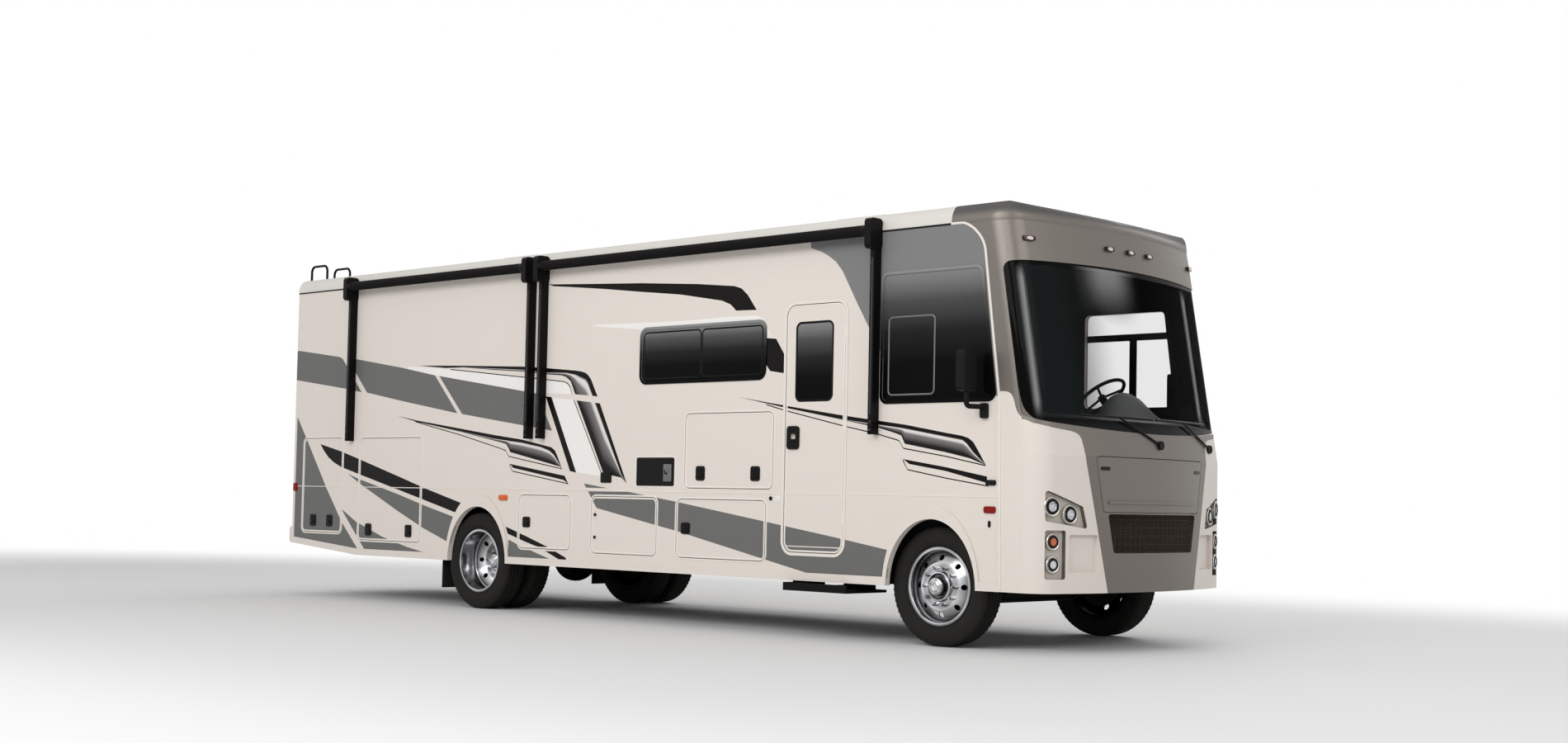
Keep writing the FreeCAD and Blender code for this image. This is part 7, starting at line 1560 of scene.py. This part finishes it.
# %% Entry door
HINGE_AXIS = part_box("entry_door")[1].x
HINGE_HEIGHTS = (0.95, 1.68, 2.42)
fittings = Builder()
fittings.pad("y", RIGHT_WALL - 0.012, RIGHT_WALL - 0.0195, (2.313, 2.387, 1.545, 1.578), 0.008, 0.003)
fittings.pad("y", RIGHT_WALL - 0.012, RIGHT_WALL - 0.0185, (2.337, 2.363, 1.634, 1.66), 0.0129, 0.002)
fittings.piece("entry_handle", black_coat, "entry_door_body", "black_trim")
kick = Builder()
kick.rod([(2.29, RIGHT_WALL, 0.716), (2.86, RIGHT_WALL, 0.716)], 0.0045, 8)
kick.piece("entry_kick_line", trim_bead, "entry_door_body", "body_paint")
hinges = Builder()
for z in HINGE_HEIGHTS:
    hinges.rod([(HINGE_AXIS, RIGHT_WALL, z - 0.045), (HINGE_AXIS, RIGHT_WALL, z + 0.045)], 0.0055, 12)
hinges.piece("entry_hinges", trim_bead, "entry_door_body", "body_paint")
print("hinges", len(HINGE_HEIGHTS))

# %% [markdown]
# ## Awning fittings
# Each awning arm is a black channel with a lighter strip let into its face, a row of rivets,
# and a slotted foot. The rolled cloth ends in round caps.

# %% Awnings
ARMS = (3.220, -0.776, -0.948, -3.812)
ARM_FACE = RIGHT_WALL - 0.082
AWNINGS = ((-0.776, 3.220), (-3.812, -0.948))
ROLLER_Y, ROLLER_Z = -1.3865, 3.188
COLLAR = ((0.0, 0.0435), (0.012, 0.0452), (0.035, 0.0452), (0.04, 0.0435))
rivets = Recipe("rivets", count=8, start=(0.0, 0.0, 0.0), step=(0.0, 0.0, 0.1), size=0.005)
sizes = rivets.sizes
line = rivets.add("GeometryNodeMeshLine", values={
    "Count": sizes["count"], "Start Location": sizes["start"], "Offset": sizes["step"]})
head = rivets.add("GeometryNodeMeshCone", {"fill_type": "NGON"}, {
    "Vertices": 10, "Radius Top": sizes["size"] * 0.55, "Radius Bottom": sizes["size"],
    "Depth": sizes["size"] * 0.7})
head = rivets.move(head, rotation=(math.pi / 2, 0, 0))
rivets.close(rivets.add("GeometryNodeInstanceOnPoints", values={"Points": line, "Instance": head}))

strips = Builder()
for x in ARMS:
    strips.pad("y", ARM_FACE + 0.001, ARM_FACE - 0.0025, (x - 0.0075, x + 0.0075, 1.76, 2.98), 0.003, 0.001)
    for z in (1.63, 1.69):
        strips.pad("y", ARM_FACE + 0.001, ARM_FACE - 0.003, (x - 0.011, x + 0.011, z, z + 0.022),
                   0.0109, 0.001)
strips.piece("arm_strips", stuff("strip_grey", linear(52, 50, 50), 0.45, ior=1.3), "coach", "black_trim")
for index, x in enumerate(ARMS):
    rivets.run("arm_rivets_{}".format(index), grey_trim, "coach", "black_trim",
               count=7, start=(x - 0.015, ARM_FACE - 0.0015, 1.74), step=(0.0, 0.0, 0.2), size=0.0042)
turns = [k * math.pi / 16 for k in range(32)]
caps = Builder()
for rear, front in AWNINGS:
    for x, out in ((rear + 0.031, 1), (front - 0.031, -1)):
        caps.rows([[(x + out * d, ROLLER_Y + r * math.cos(turn), ROLLER_Z + r * math.sin(turn))
                    for turn in turns] for d, r in COLLAR])
caps.piece("roller_collars", black_coat, "coach", "black_trim")
hem = Builder()
for rear, front in AWNINGS:
    hem.rod([(x, ROLLER_Y - 0.012, ROLLER_Z - 0.0425) for x in (rear + 0.08, front - 0.08)], 0.006, 10)
hem.piece("awning_hems", black_coat, "coach", "awning_fabric")
print("awning arms", len(ARMS))

# %% [markdown]
# ## Lamps and small fittings on the sides
# Amber marker lamps, a red one at the tail, a reflector ahead of the front wheel, a key barrel,
# an outlet cover, a push button and a small side camera. The side plate by the door is blank.

# %% Side fittings
def side_pads(name, finish, slot_name, pads, sides=(-1,)):
    """Pads on the flat of the side: rear, front, sill, top, corner and how far they stand out."""
    shape = Builder()
    for side in sides:
        for rear, front, sill, top, corner, proud in pads:
            wall = side * WALL_Y
            shape.pad("y", wall - side * 0.001, wall + side * proud, (rear, front, sill, top),
                      corner, proud / 3)
    return shape.piece(name, finish, "coach", slot_name)


for name, finish, pad in (
        ("side_markers", amber_lens, (-1.395, -1.272, 1.034, 1.084, 0.018, 0.016)),
        ("front_reflectors", red_lens, (4.272, 4.379, 1.017, 1.068, 0.018, 0.014)),
        ("tail_markers", red_lens, (-4.868, -4.80, 1.085, 1.17, 0.018, 0.014))):
    side_pads(name, finish, "marker_plastic", [pad], (-1, 1))
side_pads("side_plate_blank", white_plastic, "body_paint", [(2.151, 2.216, 1.077, 1.123, 0.004, 0.0025)])
side_pads("outlet_cover", black_plastic, "black_trim", [(0.033, 0.17, 1.209, 1.301, 0.012, 0.012)])
side_pads("side_blacks", black_plastic, "black_trim", [
    (2.094, 2.128, 1.08, 1.114, 0.0169, 0.008), (4.29, 4.378, 1.222, 1.262, 0.014, 0.02),
    (4.31, 4.334, 0.912, 0.962, 0.0119, 0.006)])
side_pads("vent_covers_left", cream_paint, "body_paint", [
    (-3.2, -2.75, 1.32, 1.58, 0.02, 0.012), (2.95, 3.25, 1.35, 1.62, 0.02, 0.012)], (1,))
lid_low, lid_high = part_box("locker_lid")
lock = Builder()
lock.pad("y", RIGHT_WALL, RIGHT_WALL - 0.005, (0.835, 0.935, 1.225, 1.375), 0.01, 0.002)
lock.pad("y", RIGHT_WALL - 0.0045, RIGHT_WALL - 0.011, (0.866, 0.906, 1.3, 1.345), 0.008, 0.002)
lock.piece("locker_lock", grey_trim, "locker_lid_body", "black_trim")
print("locker lid", round(lid_high.x - lid_low.x, 3), "m long")

# %% [markdown]
# ## Mirrors and step
# A mirror's glass faces back, in a dark shell,
# and the folded step has ribbed tread so that a wet shoe holds.

# %% Mirrors and step
glasses = Builder()
for side in (-1, 1):
    sides = sorted((side * 1.384, side * 1.516))
    glasses.pad("x", 4.1805, 4.1775, (sides[0], sides[1], 1.935, 2.19), 0.022, 0.001)
glasses.piece("mirror_glasses", mirror_silver, "coach", "black_trim")

ribs = Recipe("step_ribs", count=14, start=(0.0, 0.0, 0.0), step=(0.0, 0.03, 0.0), rib=(0.5, 0.012, 0.006))
sizes = ribs.sizes
line = ribs.add("GeometryNodeMeshLine", values={
    "Count": sizes["count"], "Start Location": sizes["start"], "Offset": sizes["step"]})
strip = ribs.add("GeometryNodeMeshCube", values={"Size": sizes["rib"]})
ribs.close(ribs.add("GeometryNodeInstanceOnPoints", values={"Points": line, "Instance": strip}))
step_low, step_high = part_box("entry_step")
ribs.run("step_ribs", rubber, "coach", "step_metal", start=(
    (step_low.x + step_high.x) / 2, step_low.y + 0.03, step_low.z + 0.024), rib=(0.62, 0.012, 0.005))
print("step ribs", 14)

# %% [markdown]
# ## Roof fittings
# Two air conditioners with louvred sides and three lidded vents stand on the roof.
# The louvres are thin bars set into the CAD shells, and a lid sits on each vent.

# %% Roof fittings
louvres, lids = Builder(), Builder()
gear_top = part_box("roof_gear")[1].z
for x in (2.1, -2.5):
    for index in range(6):
        z = 3.405 + index * 0.016
        half = 0.30 - index * 0.013
        for side in (-1, 1):
            y = side * (half - 0.002)
            louvres.pad("y", y - side * 0.006, y + side * 0.004, (x - 0.25, x + 0.25, z, z + 0.007),
                        0.003, 0.001)
for x in (0.9, -0.9, -4.0):
    lids.pad("z", 3.44, 3.462, (x - 0.155, x + 0.155, 0.365, 0.675), 0.03, 0.006)
louvres.piece("cooler_louvres", black_plastic, "coach", "roof_plastic")
lids.piece("vent_lids", stuff("smoked_lid", linear(70, 70, 72), 0.25, ior=1.3), "coach", "roof_plastic")
print("roof gear reaches", round(gear_top, 3), "m")

# %% [markdown]
# ## Rear fittings
# The rear wall carries a blank licence plate on its bracket, reflectors in the bumper,
# a camera over the window, and rubber treads on the ladder's rungs.

# %% Rear fittings
BUMPER_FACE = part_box("rear_wall")[0].x
TAIL_FACE = -4.88
plate_back = Builder()
plate_back.pad("x", TAIL_FACE + 0.002, TAIL_FACE - 0.012, (0.46, 0.80, 1.02, 1.20), 0.015, 0.003)
plate_back.piece("plate_bracket", black_plastic, "coach", "black_trim")
plate_front = Builder()
plate_front.pad("x", TAIL_FACE - 0.0115, TAIL_FACE - 0.0145, (0.478, 0.782, 1.034, 1.186), 0.012, 0.001)
plate_front.piece("licence_plate_blank", white_plastic, "coach", "black_trim")
reflectors = Builder()
for side in (-1, 1):
    sides = sorted((side * 0.98, side * 1.12))
    reflectors.pad("x", BUMPER_FACE + 0.002, BUMPER_FACE - 0.006, (sides[0], sides[1], 0.60, 0.645),
                   0.01, 0.002)
reflectors.piece("bumper_reflectors", red_lens, "coach", "marker_plastic")
camera_eye = Builder()
camera_eye.pad("x", TAIL_FACE + 0.002, TAIL_FACE - 0.035, (-0.06, 0.06, 2.76, 2.83), 0.02, 0.012)
camera_eye.piece("rear_camera", black_plastic, "coach", "black_trim")
grips = Builder()
for index in range(1, 8):
    z = 0.96 + index * 0.29
    grips.rod([(-4.9545, -1.06, z), (-4.9545, -0.825, z)], 0.0142, 14)
grips.piece("rung_grips", rubber, "coach", "black_trim")
print("bumper face at x", round(BUMPER_FACE, 3))

# %% [markdown]
# ## Seats
# The two cab seats are foam under cloth: a crowned cushion, a back with side bolsters and a head rest.
# Each form starts as a rounded slab cut into a fine grid. Its faces swell by how far they are from
# the rim, and channels are pressed in where the seams run. A smoothing pass closes it, as the cover does.

# %% Seat pads
SEAT_Y = 0.62
seat_cloth = Finish("seat_cloth", roughness=0.9, ior=1.35)
weave_mark = seat_cloth.add("ShaderNodeTexVoronoi", values={"Vector": seat_cloth.place, "Scale": 420})
seat_cloth.set(base_color=seat_cloth.mix(weave_mark, linear(172, 160, 143), linear(138, 127, 112)))
seat_cloth.bump(weave_mark, 0.4, 0.0008)


def foam(name, centre, half, lean, seams, swell=0.03):
    """A crowned pad: a slab of the given half sizes, leaning back, pressed in along its seams."""
    shape = bmesh.new()
    bmesh.ops.create_cube(shape, size=2)
    bmesh.ops.subdivide_edges(shape, edges=shape.edges, cuts=11, use_grid_fill=True)
    thin = half.index(min(half))
    for vertex in shape.verts:
        flat = [vertex.co[axis] for axis in range(3) if axis != thin]
        rim = (1 - abs(flat[0]) ** 4) * (1 - abs(flat[1]) ** 4)
        press = sum(math.exp(-((vertex.co.y - seam) / 0.05) ** 2) for seam in seams)
        depth = vertex.co[thin] * (0.72 + 0.28 * rim - 0.12 * press * rim)
        tuck = 1 - 0.07 * abs(vertex.co[thin]) ** 2
        place = [vertex.co[axis] * tuck for axis in range(3)]
        place[thin] = depth
        bulge = swell / max(half) * (1 - vertex.co[thin] ** 2)
        place = [place[axis] * half[axis] * (1 if axis == thin else 1 - bulge) for axis in range(3)]
        vertex.co = Vector(place)
    for step in range(3):
        bmesh.ops.smooth_vert(shape, verts=shape.verts, factor=0.5, use_axis_x=True, use_axis_y=True,
                              use_axis_z=True)
    turn = Matrix.Rotation(lean, 4, "Y")
    bmesh.ops.transform(shape, matrix=Matrix.Translation(centre) @ turn, verts=shape.verts)
    bmesh.ops.recalc_face_normals(shape, faces=shape.faces)
    data = bpy.data.meshes.new(name)
    shape.to_mesh(data)
    shape.free()
    made = as_piece(name, data, seat_cloth, "coach", 60)
    rounded_off = made.modifiers.new("smooth", "SUBSURF")
    rounded_off.levels = rounded_off.render_levels = 1
    return made


LEAN = math.radians(-7)
for side, label in ((-1, "right"), (1, "left")):
    y = side * SEAT_Y
    foam("seat_cushion_" + label, (3.43, y, 1.515), (0.265, 0.27, 0.08), 0, (-0.55, 0.55))
    back = foam("seat_back_" + label, (3.185, y, 1.845), (0.075, 0.265, 0.30), LEAN, (-0.55, 0.55))
    foam("head_rest_" + label, (3.135, y, 2.175), (0.055, 0.135, 0.065), LEAN, ())
    base = Builder()
    base.pad("z", 1.131, 1.445, (3.27, 3.57, y - 0.15, y + 0.15), 0.04, 0.01)
    base.rod([(3.30, y - 0.06, 2.05), (3.155, y - 0.06, 2.13)], 0.006, 8)
    base.piece("seat_base_" + label, black_plastic, "coach", "seat_fabric")
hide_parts("seats")
print("seat pads", 6)

# %% [markdown]
# ## Dashboard
# Through the windscreen the dashboard shows as a grey shelf that runs up to the glass,
# with a cowl over the dials that hides the lower part of the steering wheel.
# Both are one skin: the same profile is drawn at many places across, and its top rises under the cowl.

# %% Dashboard
dash_low, dash_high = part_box("dashboard")
SHELF_TOP = 1.785
COWL_RISE = 0.215
COWL_MIDDLE = 0.46
COWL_HALF = 0.42
SHELF_REAR = 4.315
SHELF_HALF = 1.12


def cowl(y):
    away = min(abs(y - COWL_MIDDLE) / COWL_HALF, 1)
    return COWL_RISE * (1 - away ** 2.4) ** 1.5


shelf = Builder()
rings = []
for k in range(57):
    y = SHELF_HALF * (k / 28 - 1)
    top = SHELF_TOP + cowl(y)
    foot = dash_high.z - 0.02
    front = cap_surface(y) - 0.125
    rings.append([(SHELF_REAR, y, foot), (SHELF_REAR, y, top - 0.025), (SHELF_REAR + 0.012, y, top - 0.006),
                  (SHELF_REAR + 0.035, y, top), (SHELF_REAR + 0.085, y, top - cowl(y) * 0.12),
                  (SHELF_REAR + 0.15, y, SHELF_TOP - 0.004 + cowl(y) * 0.45),
                  (SHELF_REAR + 0.2, y, SHELF_TOP - 0.012), (front, y, 1.735), (front, y, 1.71),
                  (SHELF_REAR + 0.2, y, foot)])
shelf.rows(rings)
for y in (-0.9, -0.45, 0.05, 0.98):
    shelf.pad("x", dash_low.x + 0.001, dash_low.x - 0.008, (y - 0.07, y + 0.07, 1.40, 1.46), 0.02, 0.004)
shelf.piece("dash_shelf", dash_plastic, "coach", "dash_plastic")
print("dashboard shelf at", SHELF_TOP, "m, with its cowl", round(SHELF_TOP + COWL_RISE, 3), "m")


# %% [markdown]
# The dressed model must stay inside the box of the CAD model.
